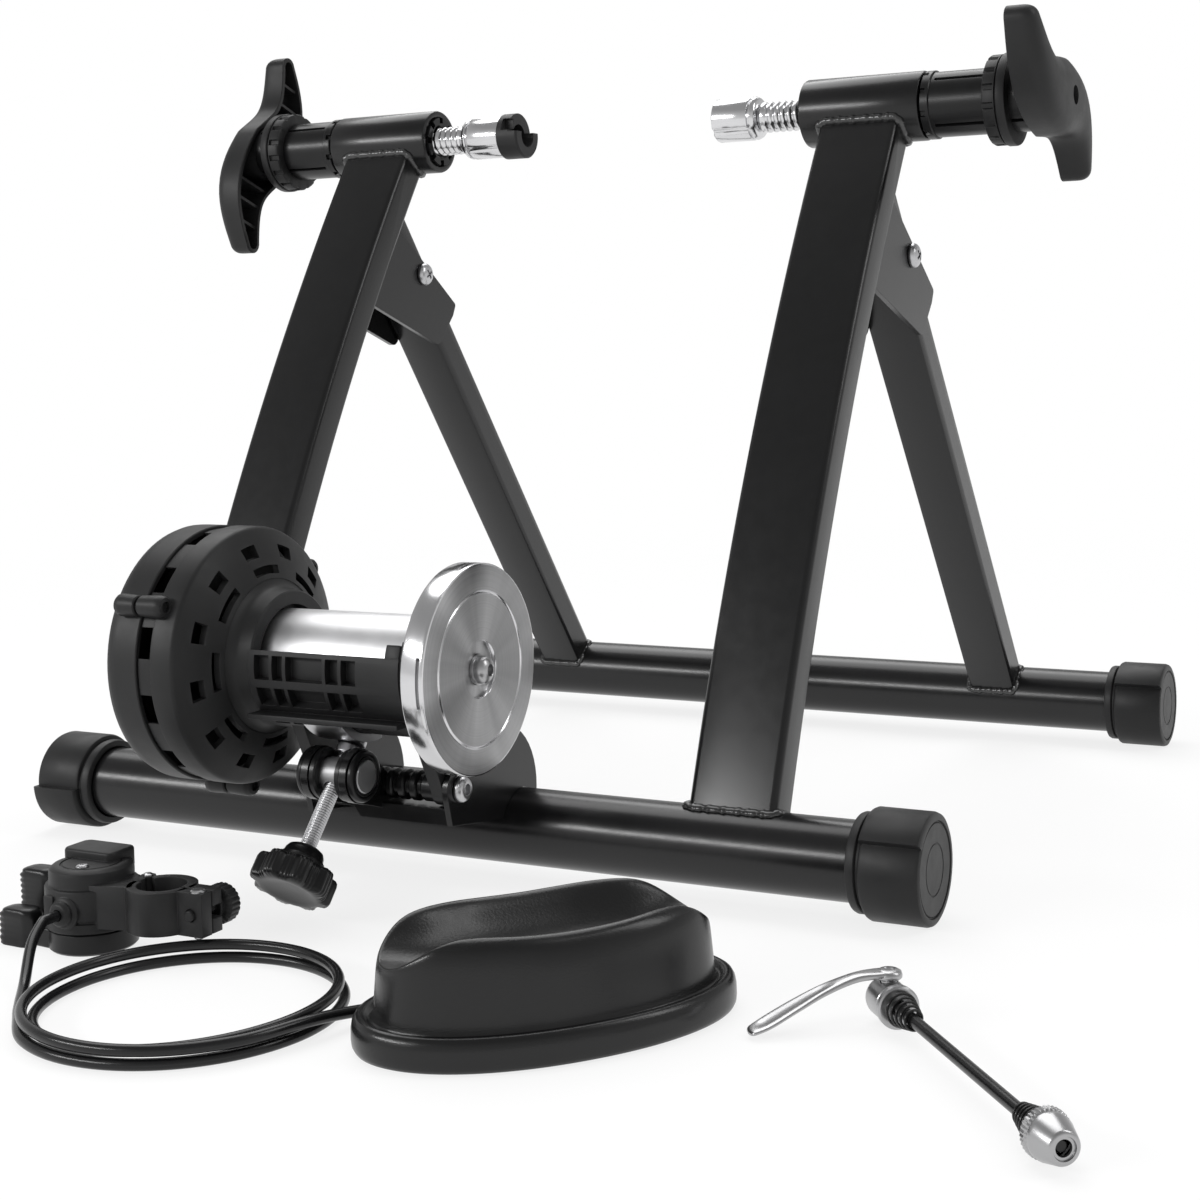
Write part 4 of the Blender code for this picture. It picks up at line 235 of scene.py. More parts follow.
# Thumb shifter, in its own frame: the drum stands on the floor at the origin.
DRUM_RADIUS = 21.0
DRUM_LOW = 10.0
DRUM_HIGH = 38.0
BAR_CENTRE = (41.0, 0.0)
BAR_RADIUS = 11.2
JAW_RADIUS = 16.0
JAW_LOW = 12.5
JAW_HIGH = 32.0
JAW_HINGE = (25.0, 9.25)
JAW_HALF_GAP = 0.3
KNUCKLE = 3.6
HINGE_SPLIT = 22.0
THUMB_SPOT = (62.5, 0.0, 22.0)
THUMB_ROD = 2.5
THUMB_REACH = 8.5
THUMB_HEAD = 9.0
STRAP_SWING_ROOM = 1.2
PADDLES = ((-33.0, 5.0, 31.0), (-30.0, -12.0, 17.0))
PADDLE_CORNERS = [(-13.0, -6.0), (8.0, -7.0), (8.0, 7.0), (-13.0, 6.0)]

# The shifter's cable, in the shifter's frame.
CABLE_RADIUS = 2.4
GLAND_X = 2.0
GLAND_END = 25.0
CABLE_EXIT_Z = 20.0
CABLE_CENTRE = (100.0, -55.0, 0.0)
CABLE_LOOP = 67.0
CABLE_DRAW = 6.0
CABLE_TURNS = 2.36
CABLE_START = 215.0
CABLE_LAYER = 5.6
CABLE_CLIMB = 0.5
CABLE_LEAD = ((7.0, -46.0, 14.0), (20.0, -64.0, 4.2), (33.0, -80.0, 2.5))
CABLE_TAIL = ((170.4, -51.0, 6.8), (175.5, -32.0, 4.2), (179.5, -16.0, 2.8), (182.0, -6.0, 2.5))
CABLE_SPACING = 3.5

# Front wheel block: the base's rows of inset and height, from the floor up, and the side above them.
BLOCK_LENGTH = 160.0
BLOCK_WIDTH = 95.0
BLOCK_HEIGHT = 48.0
BLOCK_TROUGH_FLOOR = 27.0
WHEEL_RADIUS = 345.0
BLOCK_SIDE_ROWS = 44
BLOCK_TOP_ROWS = 26
BLOCK_SIDE_FOOT = (17.4, 14.0)
BLOCK_LEAN = 9.6
BLOCK_SHOULDER = 22.0
BLOCK_TOP_INSET = 94.6
GRAIN_HEIGHT = 26.0
GRAIN_HALF = 27.0
BLOCK_BASE = [
    (5.0, 0.0), (2.0, 0.7), (0.5, 2.2), (0.0, 4.4), (0.2, 8.6), (1.2, 11.2), (3.2, 13.0), (5.8, 13.8),
    (8.8, 13.7), (11.4, 12.9), (13.0, 11.9), (14.4, 11.5), (15.6, 11.7), (16.6, 12.6),
]

# Rear axle skewer, along X in its own frame; the lever's stations are x, y, z, width and thickness.
SKEWER_HALF = 62.0
SKEWER_RADIUS = 2.5
SKEWER_HEIGHT = 9.0
SKEWER = (0.0, 0.0, SKEWER_HEIGHT)
PIN_BACK = 10.5
LEVER_PIN = 3.2
SPRING_WIRE = 0.55
SPRING_TURNS = 5
LEVER_STATIONS = (
    (4.5, 0.0, 10.6, 9.0, 2.6), (-5.0, -0.5, 10.8, 8.6, 3.0), (-14.0, -2.0, 9.6, 7.0, 3.2),
    (-26.0, -3.5, 5.6, 9.0, 3.0), (-38.0, -4.0, 0.4, 11.5, 2.6), (-50.0, -3.0, -4.6, 12.0, 2.4),
    (-58.0, -1.5, -7.0, 8.0, 2.0),
)

# Where things stand on the floor: the trainer, and the loose pieces from its front tube's middle.
TRAINER_SPOT = (-56.8, -97.9, 0.0)
SHIFTER_SPOT = (-84.0, -172.0, 0.0)
BLOCK_SPOT = (160.0, -180.0, 0.0)
BLOCK_TURN = 52.0
SKEWER_SPOT = (332.0, -180.0, 0.0)
SKEWER_TURN = -48.0

# Finishes: colour, roughness, metal, gloss level, grain size and depth, edge radius in metres.
STEEL = "powder_coat"
PLASTIC = "moulded_plastic"
NYLON = "satin_nylon"
CHROME = "polished_chrome"
ZINC = "zinc_plate"
ALLOY = "cast_alloy"
FINISHES = {
    STEEL: ((0.0036, 0.0036, 0.0038), 0.25, 0.0, 0.42, 1500.0, 0.00001, 0.0005),
    "weld_steel": ((0.016, 0.016, 0.016), 0.18, 0.0, 0.7, 900.0, 0.00003, 0.0),
    PLASTIC: ((0.0115, 0.0115, 0.0118), 0.46, 0.0, 0.28, 2600.0, 0.000018, 0.0004),
    NYLON: ((0.0055, 0.0055, 0.0058), 0.3, 0.0, 0.3, 1500.0, 0.000008, 0.0003),
    CHROME: ((0.66, 0.66, 0.67), 0.17, 1.0, 0.5, 500.0, 0.000002, 0.0003),
    "ground_steel": ((0.7, 0.7, 0.71), 0.42, 1.0, 0.5, 700.0, 0.000002, 0.0),
    "turned_steel": ((0.5, 0.5, 0.51), 0.3, 1.0, 0.5, 900.0, 0.000008, 0.0002),
    ZINC: ((0.5, 0.5, 0.51), 0.3, 1.0, 0.5, 1200.0, 0.000012, 0.0003),
    ALLOY: ((0.41, 0.41, 0.415), 0.3, 1.0, 0.5, 900.0, 0.000003, 0.0),
    # painted shade: this finish is darkened below bare metal so that the disc and plate seen through the
    # shell's slots read black, as the shade inside the unit does
    "shade_dark_steel": ((0.05, 0.05, 0.05), 0.55, 1.0, 0.3, 900.0, 0.00001, 0.0),
    "worn_steel": ((0.36, 0.36, 0.365), 0.48, 1.0, 0.5, 900.0, 0.00005, 0.0003),
    "cable_sheath": ((0.0065, 0.0065, 0.007), 0.24, 0.0, 0.35, 1800.0, 0.000006, 0.0),
    "block_plastic": ((0.0042, 0.0042, 0.0044), 0.25, 0.0, 0.42, 1300.0, 0.00005, 0.0),
    "grained_plastic": ((0.0045, 0.0045, 0.0047), 0.3, 0.0, 0.42, 900.0, 0.00007, 0.0),
}
MADE = {}


def feed(node, values=(), **inputs):
    """Set a node's inputs, by place or by name, to values or to other nodes' outputs."""
    named = [(node.inputs[key.replace("_", " ")], value) for key, value in inputs.items()]
    for socket, value in [*zip(node.inputs, values), *named]:
        if isinstance(value, bpy.types.NodeSocket):
            node.id_data.links.new(value, socket)
        else:
            socket.default_value = value


def add(tree, kind, *values, out=0, settings=None, **inputs):
    """Add a shader node and return one of its outputs."""
    made = tree.nodes.new("ShaderNode" + kind)
    for key, value in (settings or {}).items():
        setattr(made, key, value)
    feed(made, values, **inputs)
    return made.outputs[out]


def spread(tree, source, low, high):
    """Map a noise's middle range to a low and a high value."""
    return add(tree, "MapRange", source, 0.3, 0.7, low, high)


def new_material(name):
    """A material with its node tree and shader."""
    material = bpy.data.materials.new(name)
    material.use_nodes = True
    return material, material.node_tree, material.node_tree.nodes["Principled BSDF"]


def finish_material(kind):
    """The shared material of one finish, with broad tone changes, fine grain and worn edges."""
    if kind in MADE:
        return MADE[kind]
    colour, rough, metal, gloss, grain, depth, edge = FINISHES[kind]
    material, tree, shader = new_material(kind)
    where = add(tree, "TexCoord", out="Object")

    def noise(scale, detail):
        return add(tree, "TexNoise", Vector=where, Scale=scale, Detail=detail)

    def shade(factor):
        return tuple(min(c * factor, 1.0) for c in colour) + (1.0,)

    change = 0.05 if metal else 0.22
    tone = spread(tree, noise(22.0, 4.0), 0.0, 1.0)
    body = add(tree, "MixRGB", tone, shade(1.0 - change), shade(1.0 + change))
    crest = add(tree, "NewGeometry", out="Pointiness")
    rub = add(tree, "MapRange", crest, 0.53, 0.62, 0.0, 0.0 if metal else 0.35)
    dull = 0.06 if metal else 0.07
    bump = {"Height": noise(grain, 2.0), "Distance": depth, "Strength": 1.0}
    if edge:
        bump["Normal"] = add(tree, "Bevel", settings={"samples": 4}, Radius=edge)
    feed(
        shader, Base_Color=add(tree, "MixRGB", rub, body, shade(2.6)), Metallic=metal,
        Roughness=spread(tree, noise(140.0, 3.0), rough * (1.0 - dull), rough * (1.0 + dull)),
        Specular_IOR_Level=gloss, Normal=add(tree, "Bump", **bump),
    )
    MADE[kind] = material
    return material


def brushed_face():
    """Steel faced on a lathe: fine rings, an anisotropic highlight that spreads from the middle, and dark
    wedges by angle painted into the colour as a painted reflection.
    """
    material, tree, shader = new_material("faced_steel")

    def vector(operation, *values, out=0):
        return add(tree, "VectorMath", *values, out=out, settings={"operation": operation})

    middle = (Vector(ROTOR) + Vector(TRAINER_SPOT)) * MM
    away = vector("SUBTRACT", add(tree, "TexCoord", out="Object"), middle)
    flat = vector("MULTIPLY", away, (0.0, 1.0, 1.0))
    ring = add(tree, "CombineXYZ", vector("LENGTH", flat, out="Value"))
    lines = add(tree, "TexNoise", Vector=ring, Scale=1500.0, Detail=3.0)
    # painted reflection: noise on the direction round the middle paints dark wedges into the colour, standing
    # in for the bow-tie highlight of lathe-faced steel
    painted_wedges = add(tree, "TexNoise", Vector=vector("NORMALIZE", flat), Scale=3.2, Detail=5.0)
    tone = spread(tree, lines, 0.0, 1.0)
    shade = add(tree, "MixRGB", tone, (0.36, 0.36, 0.365, 1.0), (0.5, 0.5, 0.505, 1.0))
    # the dark grey mixed in here is the painted reflection of the wedges
    body = add(tree, "MixRGB", spread(tree, painted_wedges, 0.0, 0.35), shade, (0.2, 0.2, 0.203, 1.0))
    feed(
        shader, Base_Color=body, Roughness=spread(tree, lines, 0.28, 0.42), Metallic=1.0,
        Anisotropic=0.9, Anisotropic_Rotation=0.25,
        Tangent=add(tree, "Tangent", settings={"direction_type": "RADIAL", "axis": "X"}),
        Normal=add(tree, "Bump", Height=lines, Distance=0.00001, Strength=1.0),
    )
    return material


def link(item):
    """Put an object in the scene."""
    bpy.context.scene.collection.objects.link(item)
    return item


def turn(degrees, axis="X"):
    """A turn about one of the main axes."""
    return Matrix.Rotation(math.radians(degrees), 4, axis)


def photo_camera():
    """The photograph's viewpoint: low, from the right front, with its framing."""
    data = bpy.data.cameras.new("camera")
    data.sensor_width = 36.0
    data.lens = 59.93
    data.shift_x = -0.0364
    data.shift_y = -0.142
    data.clip_start = 0.01
    camera = link(bpy.data.objects.new("camera", data))
    spot = Vector((0.5551, -0.8559, 0.2765)) + Vector(TRAINER_SPOT) * MM
    camera.matrix_world = Matrix.Translation(spot) @ turn(27.15, "Z") @ turn(87.0) @ turn(-1.35, "Z")
    bpy.context.scene.camera = camera


def greater(tree, first, second):
    """The greater of two values."""
    return add(tree, "Math", first, second, settings={"operation": "MAXIMUM"})


def seen_directly(tree):
    """1 for what the camera sees, straight or in a reflection."""
    rays = tree.nodes.new("ShaderNodeLightPath").outputs
    first = greater(tree, rays["Is Camera Ray"], rays["Is Glossy Ray"])
    return greater(tree, first, rays["Is Transmission Ray"])


def pale_surroundings():
    """A white world that lights softly and is brighter where it is seen."""
    world = bpy.data.worlds.new("studio")
    bpy.context.scene.world = world
    world.use_nodes = True
    tree = world.node_tree
    tree.nodes.clear()
    height = add(tree, "SeparateXYZ", add(tree, "TexCoord", out="Generated"), out="Z")
    level = add(tree, "MapRange", height, 0.08, 0.7, 0.72, 0.35)
    full = greater(tree, level, add(tree, "LightPath", out="Is Camera Ray"))
    soft = add(tree, "Background", WHITE, 0.5)
    mix = add(tree, "MixShader", seen_directly(tree), soft, add(tree, "Background", WHITE, full))
    feed(tree.nodes.new("ShaderNodeOutputWorld"), [mix])


def pale_floor():
    """A wide white floor that takes shadows near the trainer and fades out to plain white."""
    bm = bmesh.new()
    bmesh.ops.create_grid(bm, x_segments=4, y_segments=4, size=60.0)
    mesh = bpy.data.meshes.new("floor")
    bm.to_mesh(mesh)
    bm.free()
    floor = link(bpy.data.objects.new("floor", mesh))
    floor.location = (0.0, 0.0, -0.0004)
    material, tree, _ = new_material("pale_floor")
    tree.nodes.clear()
    paper = add(tree, "BsdfDiffuse", (0.9, 0.9, 0.9, 1.0))
    glow = add(tree, "Emission", WHITE, 1.0)
    where = add(tree, "TexCoord", out="Object")
    away = add(tree, "VectorMath", where, out="Value", settings={"operation": "LENGTH"})
    fade = add(tree, "MapRange", away, 0.6, 1.7, 0.8, 1.0)
    share = add(tree, "Math", seen_directly(tree), fade, settings={"operation": "MULTIPLY"})
    mix = add(tree, "MixShader", share, paper, glow)
    feed(tree.nodes.new("ShaderNodeOutputMaterial"), [mix])
    mesh.materials.append(material)


def studio():
    """A white studio: surroundings, floor, a soft overhead light and three soft boxes."""
    pale_surroundings()
    pale_floor()
    sun = bpy.data.lights.new("overhead", "SUN")
    sun.energy = 1.5
    sun.angle = math.radians(50.0)
    lamp = link(bpy.data.objects.new("overhead", sun))
    lamp.rotation_euler = (math.radians(-24.0), math.radians(-20.0), 0.0)
    for name, spot, size, power in (
        ("left_softbox", (-1.2, -1.85, 0.95), (1.6, 0.2), 24.0),
        ("right_softbox", (1.5, 0.3, 1.5), (0.5, 1.2), 8.0),
        ("back_softbox", (-0.6, 1.5, 1.7), (1.6, 0.4), 2.5),
    ):
        data = bpy.data.lights.new(name, "AREA")
        data.shape = "RECTANGLE"
        data.size, data.size_y = size
        data.energy = power
        lamp = link(bpy.data.objects.new(name, data))
        lamp.location = spot
        aim = Vector((0.0, 0.0, 0.18)) - Vector(spot)
        lamp.rotation_euler = aim.to_track_quat("-Z", "Y").to_euler()
    bpy.context.scene.view_settings.view_transform = "Standard"


def dress(item, name, finish, node, group, smooth=35.0):
    """Bring a finished piece to its place, give it its looks and let it ride with its node's body."""
    item.name = name
    item.data.name = name
    item.data.transform(group)
    item.data.materials.clear()
    item.data.materials.append(finish_material(finish))
    item.data.shade_smooth()
    item.data.set_sharp_from_angle(angle=math.radians(smooth))
    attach(item, frame["nodes"][node]["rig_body"])
    return item


def part(name, item, finish, group, smooth=35.0):
    """A finished piece that stands for its node."""
    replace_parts(dress(item, name + "_look", finish, name, group, smooth), name)
    return item


def as_object(bm):
    """A working object with a bmesh's shape."""
    mesh = bpy.data.meshes.new("work")
    bm.to_mesh(mesh)
    bm.free()
    return link(bpy.data.objects.new("work", mesh))


def gather(items):
    """Several shapes in one working object."""
    bm = bmesh.new()
    for item in items:
        bm.from_mesh(item.data)
        bpy.data.objects.remove(item)
    return as_object(bm)


def modified(item, kind, **settings):
    """Apply one modifier to a working object."""
    modifier = item.modifiers.new("work", kind)
    for key, value in settings.items():
        setattr(modifier, key, value)
    graph = bpy.context.evaluated_depsgraph_get()
    mesh = bpy.data.meshes.new_from_object(item.evaluated_get(graph))
    item.modifiers.clear()
    item.data = mesh
    return item


def softened(item, width, segments=2):
    """Round a working object's sharp edges."""
    return modified(
        item, "BEVEL", width=width * MM, segments=segments, limit_method="ANGLE",
        angle_limit=math.radians(30.0), use_clamp_overlap=True,
    )


def polar(radius, degrees, centre=(0.0, 0.0)):
    """A point on a circle."""
    angle = math.radians(degrees)
    return (centre[0] + radius * math.cos(angle), centre[1] + radius * math.sin(angle))


def arc(centre, radius, start, end, steps):
    """Points along an arc, both ends included."""
    return [polar(radius, start + (end - start) * i / steps, centre) for i in range(steps + 1)]


def circle(radius, steps, centre=(0.0, 0.0)):
    """Points round a full circle."""
    return arc(centre, radius, 0.0, 360.0, steps)[:-1]


def between(value, low, high):
    """A value's share of the way from low to high, kept within 0 and 1."""
    return min(max((value - low) / (high - low), 0.0), 1.0)


def rounded(points, radius, steps=4):
    """Round every corner of an outline; a radius can be one value or one for each corner."""
    radii = radius if isinstance(radius, list) else [radius] * len(points)
    result = []
    for i, point in enumerate(points):
        corner = Vector(point)
        before = Vector(points[i - 1]) - corner
        after = Vector(points[(i + 1) % len(points)]) - corner
        half = before.angle(after) / 2.0
        if radii[i] <= 0.0:
            result.append(tuple(corner))
            continue
        length = min(radii[i] / math.tan(half), before.length * 0.49, after.length * 0.49)
        start = corner + before.normalized() * length
        end = corner + after.normalized() * length
        middle = (before.normalized() + after.normalized()).normalized()
        centre = corner + middle * (length / math.cos(half))
        swing = (start - centre).angle_signed(end - centre)
        for k in range(steps + 1):
            result.append(tuple(centre + Matrix.Rotation(-swing * k / steps, 2) @ (start - centre)))
    return result


def rectangle(width, depth, corner, steps=2):
    """A rounded rectangle centred on zero."""
    x, y = width / 2.0, depth / 2.0
    return rounded([(-x, -y), (x, -y), (x, y), (-x, y)], corner, steps)


def loft(rings, ends="flat"):
    """A skin through rings of points, with ends that are flat, open, or run on as a loop."""
    bm = bmesh.new()
    loops = [[bm.verts.new(point) for point in ring] for ring in rings]
    count = max(len(loop) for loop in loops)
    if ends == "flat":
        bm.faces.new(loops[0])
        bm.faces.new(loops[-1])
    if ends == "loop":
        loops.append(loops[0])
    for low, high in zip(loops, loops[1:]):
        for i in range(count):
            k = (i + 1) % count
            corners = [low[i % len(low)], low[k % len(low)], high[k % len(high)], high[i % len(high)]]
            corners = list(dict.fromkeys(corners))
            if len(corners) > 2:
                bm.faces.new(corners)
    for vert in bm.verts:
        vert.co *= MM
    bmesh.ops.remove_doubles(bm, verts=bm.verts, dist=1e-7)
    bmesh.ops.recalc_face_normals(bm, faces=bm.faces)
    return as_object(bm)


def prism(outline, low, high, axis="X"):
    """Extrude an outline along an axis; it lies in (y, z), in (x, z) or in (x, y)."""
    n = "XYZ".index(axis)
    return loft([[(*p[:n], along, *p[n:]) for p in outline] for along in (low, high)])


def box(low, high):
    """A box between two corners."""
    outline = [(low[0], low[1]), (high[0], low[1]), (high[0], high[1]), (low[0], high[1])]
    return prism(outline, low[2], high[2], "Z")


def turned(profile, steps=SMALL, origin=ZERO, axis=ACROSS, start=0.0, sign=1.0, ends="loop", angles=None):
    """Turn a profile of (radius, along) round an axis; a radius may be a function of the angle."""
    to_axis = Vector(UP).rotation_difference(Vector(axis)).to_matrix()
    rings = []
    for radius, along in profile:
        ring = []
        for angle in [0.0] if radius == 0.0 else angles or [360.0 * i / steps for i in range(steps)]:
            c, s = polar(radius(angle) if callable(radius) else radius, angle)
            ring.append(Vector(origin) + to_axis @ Vector((-s, c, start + sign * along)))
        rings.append(ring)
    return loft(rings, ends)


def skin(rows, steps, origin=ZERO, ends="flat", **places):
    """Turn rows of (along, radius) round an axis, with flat ends."""
    return turned([(radius, along) for along, radius in rows], steps, origin, ends=ends, **places)


def pipe(inner, outer, low, high, steps, origin=ZERO, axis=ACROSS):
    """A tube wall between two radii."""
    return turned([(inner, low), (outer, low), (outer, high), (inner, high)], steps, origin, axis)


def rod(radius, low, high, steps=SMALL, origin=ZERO, axis=ACROSS):
    """A plain cylinder."""
    return turned([(0.0, low), (radius, low), (radius, high), (0.0, high)], steps, origin, axis)


def edited(item, change):
    """Change a working object's mesh."""
    bm = bmesh.new()
    bm.from_mesh(item.data)
    change(bm)
    bm.to_mesh(item.data)
    bm.free()


def in_triangles(bm):
    """Split every face, so that all are flat."""
    bmesh.ops.triangulate(bm, faces=bm.faces)


def simplified(bm):
    """Merge the flat faces that Booleans leave in pieces."""
    bmesh.ops.remove_doubles(bm, verts=bm.verts, dist=2e-7)
    bmesh.ops.dissolve_degenerate(bm, edges=bm.edges, dist=1e-7)
    bmesh.ops.dissolve_limit(
        bm, angle_limit=math.radians(0.2), use_dissolve_boundaries=False, verts=bm.verts, edges=bm.edges
    )
    bmesh.ops.triangulate(bm, faces=[face for face in bm.faces if len(face.verts) > 4])


def combine(operation, first, others):
    """Boolean the other objects into the first and use them up."""
    edited(first, in_triangles)
    for other in others:
        edited(other, in_triangles)
        modified(first, "BOOLEAN", operation=operation, solver="EXACT", object=other)
        bpy.data.objects.remove(other)
    edited(first, simplified)
    return first


def cut(first, *others):
    """Take the other solids out of the first."""
    return combine("DIFFERENCE", first, others)


def join(first, *others):
    """Add the other solids to the first."""
    return combine("UNION", first, others)


def moved(item, spot, matrix=Matrix()):
    """Turn a working object's mesh about the origin and move it to a spot."""
    item.data.transform(Matrix.Translation(Vector(spot) * MM) @ matrix)
    return item


def spokes(count, low, high, centre, first=0.0):
    """A block, and its copies turned round the X axis through a centre."""
    return gather(moved(box(low, high), centre, turn(first + 360.0 * i / count)) for i in range(count))


def apart(angle, middle, pitch=360.0):
    """How far an angle is from a middle that comes back after every pitch."""
    return abs((angle - middle + pitch / 2.0) % pitch - pitch / 2.0)


def notched(radius, floor, pitch, half, first=0.0):
    """A radius that drops to a floor in evenly spaced notches of a half width."""
    def reach(angle):
        return floor if apart(angle, first, pitch) < half else radius
    return reach


def base_tube(name, span, y, parent):
    """A round base tube that ends just inside its two foot caps."""
    half = span / 2.0 - FOOT_END_WALL - GAP
    tube = pipe(TUBE_RADIUS - TUBE_WALL, TUBE_RADIUS, -half, half, FINE, (0.0, y, BASE_Z))
    part(name, tube, STEEL, parent)


def offsets(first, second, *pairs):
    """Pairs as offsets from two values, for the rows of a profile near one of its corners."""
    return [(first + a, b if callable(b) else second + b) for a, b in pairs]


def foot_cap(name, side, span, y, parent):
    """A foot cap: a low collar, a groove, a levelling cam with one step, and a ringed end."""
    sign = SIGN[side]
    start, sense = (180.0, 1.0) if side == "left" else (144.0, -1.0)
    low, high = FOOT_PLATEAU

    def cam(drop):
        def reach(angle):
            share = ((angle - start) * sense / 360.0) % 1.0
            lift = max(1.0 - share / low, 0.0) - between(share, high, 1.0)
            return FOOT_RADIUS + FOOT_STEP * lift - drop
        return reach

    collar = FOOT_RADIUS - 2.6
    lowest = FOOT_RADIUS - FOOT_STEP
    cam_at = FOOT_COLLAR + FOOT_GROOVE
    rows = [
        (6.0, TUBE_RADIUS + 0.1), *offsets(0.0, TUBE_RADIUS + RUN, (0.6, 0.0), (0.0, 0.6)),
        *offsets(0.0, collar, (0.0, -1.6), (0.5, -0.5), (1.6, 0.0)),
        *offsets(FOOT_COLLAR, collar, (-0.6, 0.0), (0.0, -0.6)),
        *offsets(0.0, lowest - 1.9, (FOOT_COLLAR + 0.2, 0.0), (cam_at - 0.3, 0.0), (cam_at, 0.3)),
        *offsets(cam_at, 0.0, (0.0, cam(1.9)), (0.6, cam(0.6)), (1.9, cam(0.0))),
        *offsets(FOOT_LENGTH, 0.0, (-2.0, cam(0.0)), (-0.6, cam(0.5)), (0.0, cam(1.7))),
        *offsets(FOOT_LENGTH, lowest - 1.7, (0.0, 0.0), (-0.9, -0.3), (-0.9, -0.8), (-0.3, -1.3)),
        *offsets(FOOT_LENGTH, 0.0, (-0.4, 12.4), (-0.8, 12.1), (-0.8, 11.7), (-0.45, 11.4), (-0.5, 1.5)),
    ]
    angles = sorted({3.75 * i for i in range(96)} | {(start - 0.25) % 360.0, (start + 0.25) % 360.0})
    inner = sign * (span / 2.0 - FOOT_LENGTH)
    body = skin(rows, 0, (0.0, y, BASE_Z), start=inner, sign=sign, angles=angles)
    part(name, body, PLASTIC, parent)


def upright_point(share):
    """The upright's centre line from the front tube's axis to the clamp axis, as (y, z)."""
    bow = UPRIGHT_BOW * 4.0 * share * (1.0 - share)
    return Vector((CLAMP_Y * share - bow, BASE_Z + (CLAMP_Z - BASE_Z) * share))


def upright_run(share):
    """The direction of the upright's centre line, as (y, z)."""
    return (upright_point(share + 0.01) - upright_point(share - 0.01)).normalized()


def on_upright(side, a, b, share):
    """Where a point of the upright's outline lies at a share of the height."""
    spot = upright_point(share)
    run = upright_run(share)
    return (SIGN[side] * UPRIGHT_X + a, spot[0] + b * run[1], spot[1] - b * run[0])


def upright_sweep(side, start, end, steps, grow=0.0, corner_steps=2):
    """The upright's outline swept along its centre line, thickened by an allowance."""
    section = rectangle(
        UPRIGHT_WIDTH + 2.0 * grow, UPRIGHT_DEPTH + 2.0 * grow, UPRIGHT_CORNER + grow, corner_steps
    )
    shares = [start + (end - start) * i / steps for i in range(steps + 1)]
    return loft([[on_upright(side, a, b, share) for a, b in section] for share in shares])


def upright(side, parent):
    """A gently bent box tube from the front tube to the clamp housing, ending inside the front tube and
    saddled to the housing.
    """
    body = upright_sweep(side, 0.02, 0.965, 32, corner_steps=6)
    axis = (SIGN[side], 0.0, 0.0)
    saddle = rod(HOUSING_RADIUS - 1.2, HOUSING_IN - 1.0, HOUSING_OUT + 1.0, FINE, CLAMP, axis)
    part(side + "_upright", cut(body, saddle), STEEL, parent)


def leg_line():
    """The rear leg's line from the rear tube up to the hinge, as (y, z)."""
    return Vector((HINGE_Y - BASE_SPACING, HINGE_Z - BASE_Z))


def on_leg(side, a, b, along):
    """Where a point of the rear leg's outline lies at a distance from the rear tube's axis."""
    run = leg_line().normalized()
    y = BASE_SPACING + run[0] * along + b * run[1]
    z = BASE_Z + run[1] * along - b * run[0]
    return (SIGN[side] * LEG_X + a, y, z)


def leg_sweep(side, grow, low, high):
    """The rear leg's outline between two distances from the rear tube's axis."""
    section = rectangle(LEG_WIDTH + 2.0 * grow, LEG_DEPTH + 2.0 * grow, LEG_CORNER + grow)
    return loft([[on_leg(side, a, b, along) for a, b in section] for along in (low, high)])


def beside_hinge():
    """The upright's direction, rear-facing normal and middle beside the hinge, as (y, z) pairs."""
    share = (HINGE_Z + 8.0 - BASE_Z) / (CLAMP_Z - BASE_Z)
    run = upright_run(share)
    return run, Vector((run[1], -run[0])), upright_point(share)


def leg_heel():
    """How far the leg runs past the hinge until its heel meets the bracket's web."""
    _, normal, beside = beside_hinge()
    face = (Vector(HINGE[1:]) - beside).dot(normal) - UPRIGHT_DEPTH / 2.0 - 2.0 * GAP - PLATE
    leg = leg_line().normalized()
    corner = LEG_DEPTH / 2.0 * abs(Vector((leg[1], -leg[0])).dot(normal))
    return (face - corner - 2.0 * GAP) / -leg.dot(normal)


def rear_leg(side, parent):
    """A straight box tube from the rear base tube to the fold hinge."""
    top = leg_line().length + leg_heel()
    half = REAR_SPAN / 2.0
    body = cut(
        leg_sweep(side, 0.0, 4.0, top), leg_sweep(side, -STEEL_WALL, 2.0, top + 1.0),
        rod(TUBE_RADIUS + GAP, -half, half, FINE, (0.0, BASE_SPACING, BASE_Z)),
        rod(HINGE_BOLT + RUN, -half, half, SMALL, HINGE),
    )
    part(side + "_rear_leg", body, STEEL, parent)


def bracket_sides(side):
    """The outer faces of a hinge bracket's cheeks, along X."""
    half = LEG_WIDTH / 2.0 + RUN + PLATE
    return SIGN[side] * LEG_X - half, SIGN[side] * LEG_X + half


def hinge_bracket(side, parent):
    """A folded bracket behind the upright: two cheeks that hold the leg's bolt, and a web."""
    run, normal, beside = beside_hinge()
    hinge = Vector(HINGE[1:])
    root_low = beside - run * 26.0
    root_high = beside + run * 34.0
    corner = hinge + Vector((37.0, -19.0))
    outline = [
        root_low, hinge + Vector((16.0, -45.0)), corner + Vector((-3.5, -7.0)), corner, root_high,
    ]
    low, high = bracket_sides(side)
    cheeks = prism(rounded(outline, [0.0, 5.0, 1.0, 2.0, 0.0]), low, high)
    foot = root_low - run * 40.0
    head = root_high + run * 40.0
    reach = normal * 120.0
    room = prism([foot, foot + reach, head + reach, head], low + PLATE, high - PLATE)
    room = cut(room, upright_sweep(side, 0.2, 0.99, 20, GAP + PLATE))
    bolt = rod(HINGE_BOLT + GAP, low - 1.0, high + 1.0, SMALL, HINGE)
    cheeks = cut(cheeks, room, upright_sweep(side, 0.2, 0.99, 20, GAP), bolt)
    part(side + "_hinge_bracket", cheeks, STEEL, parent)


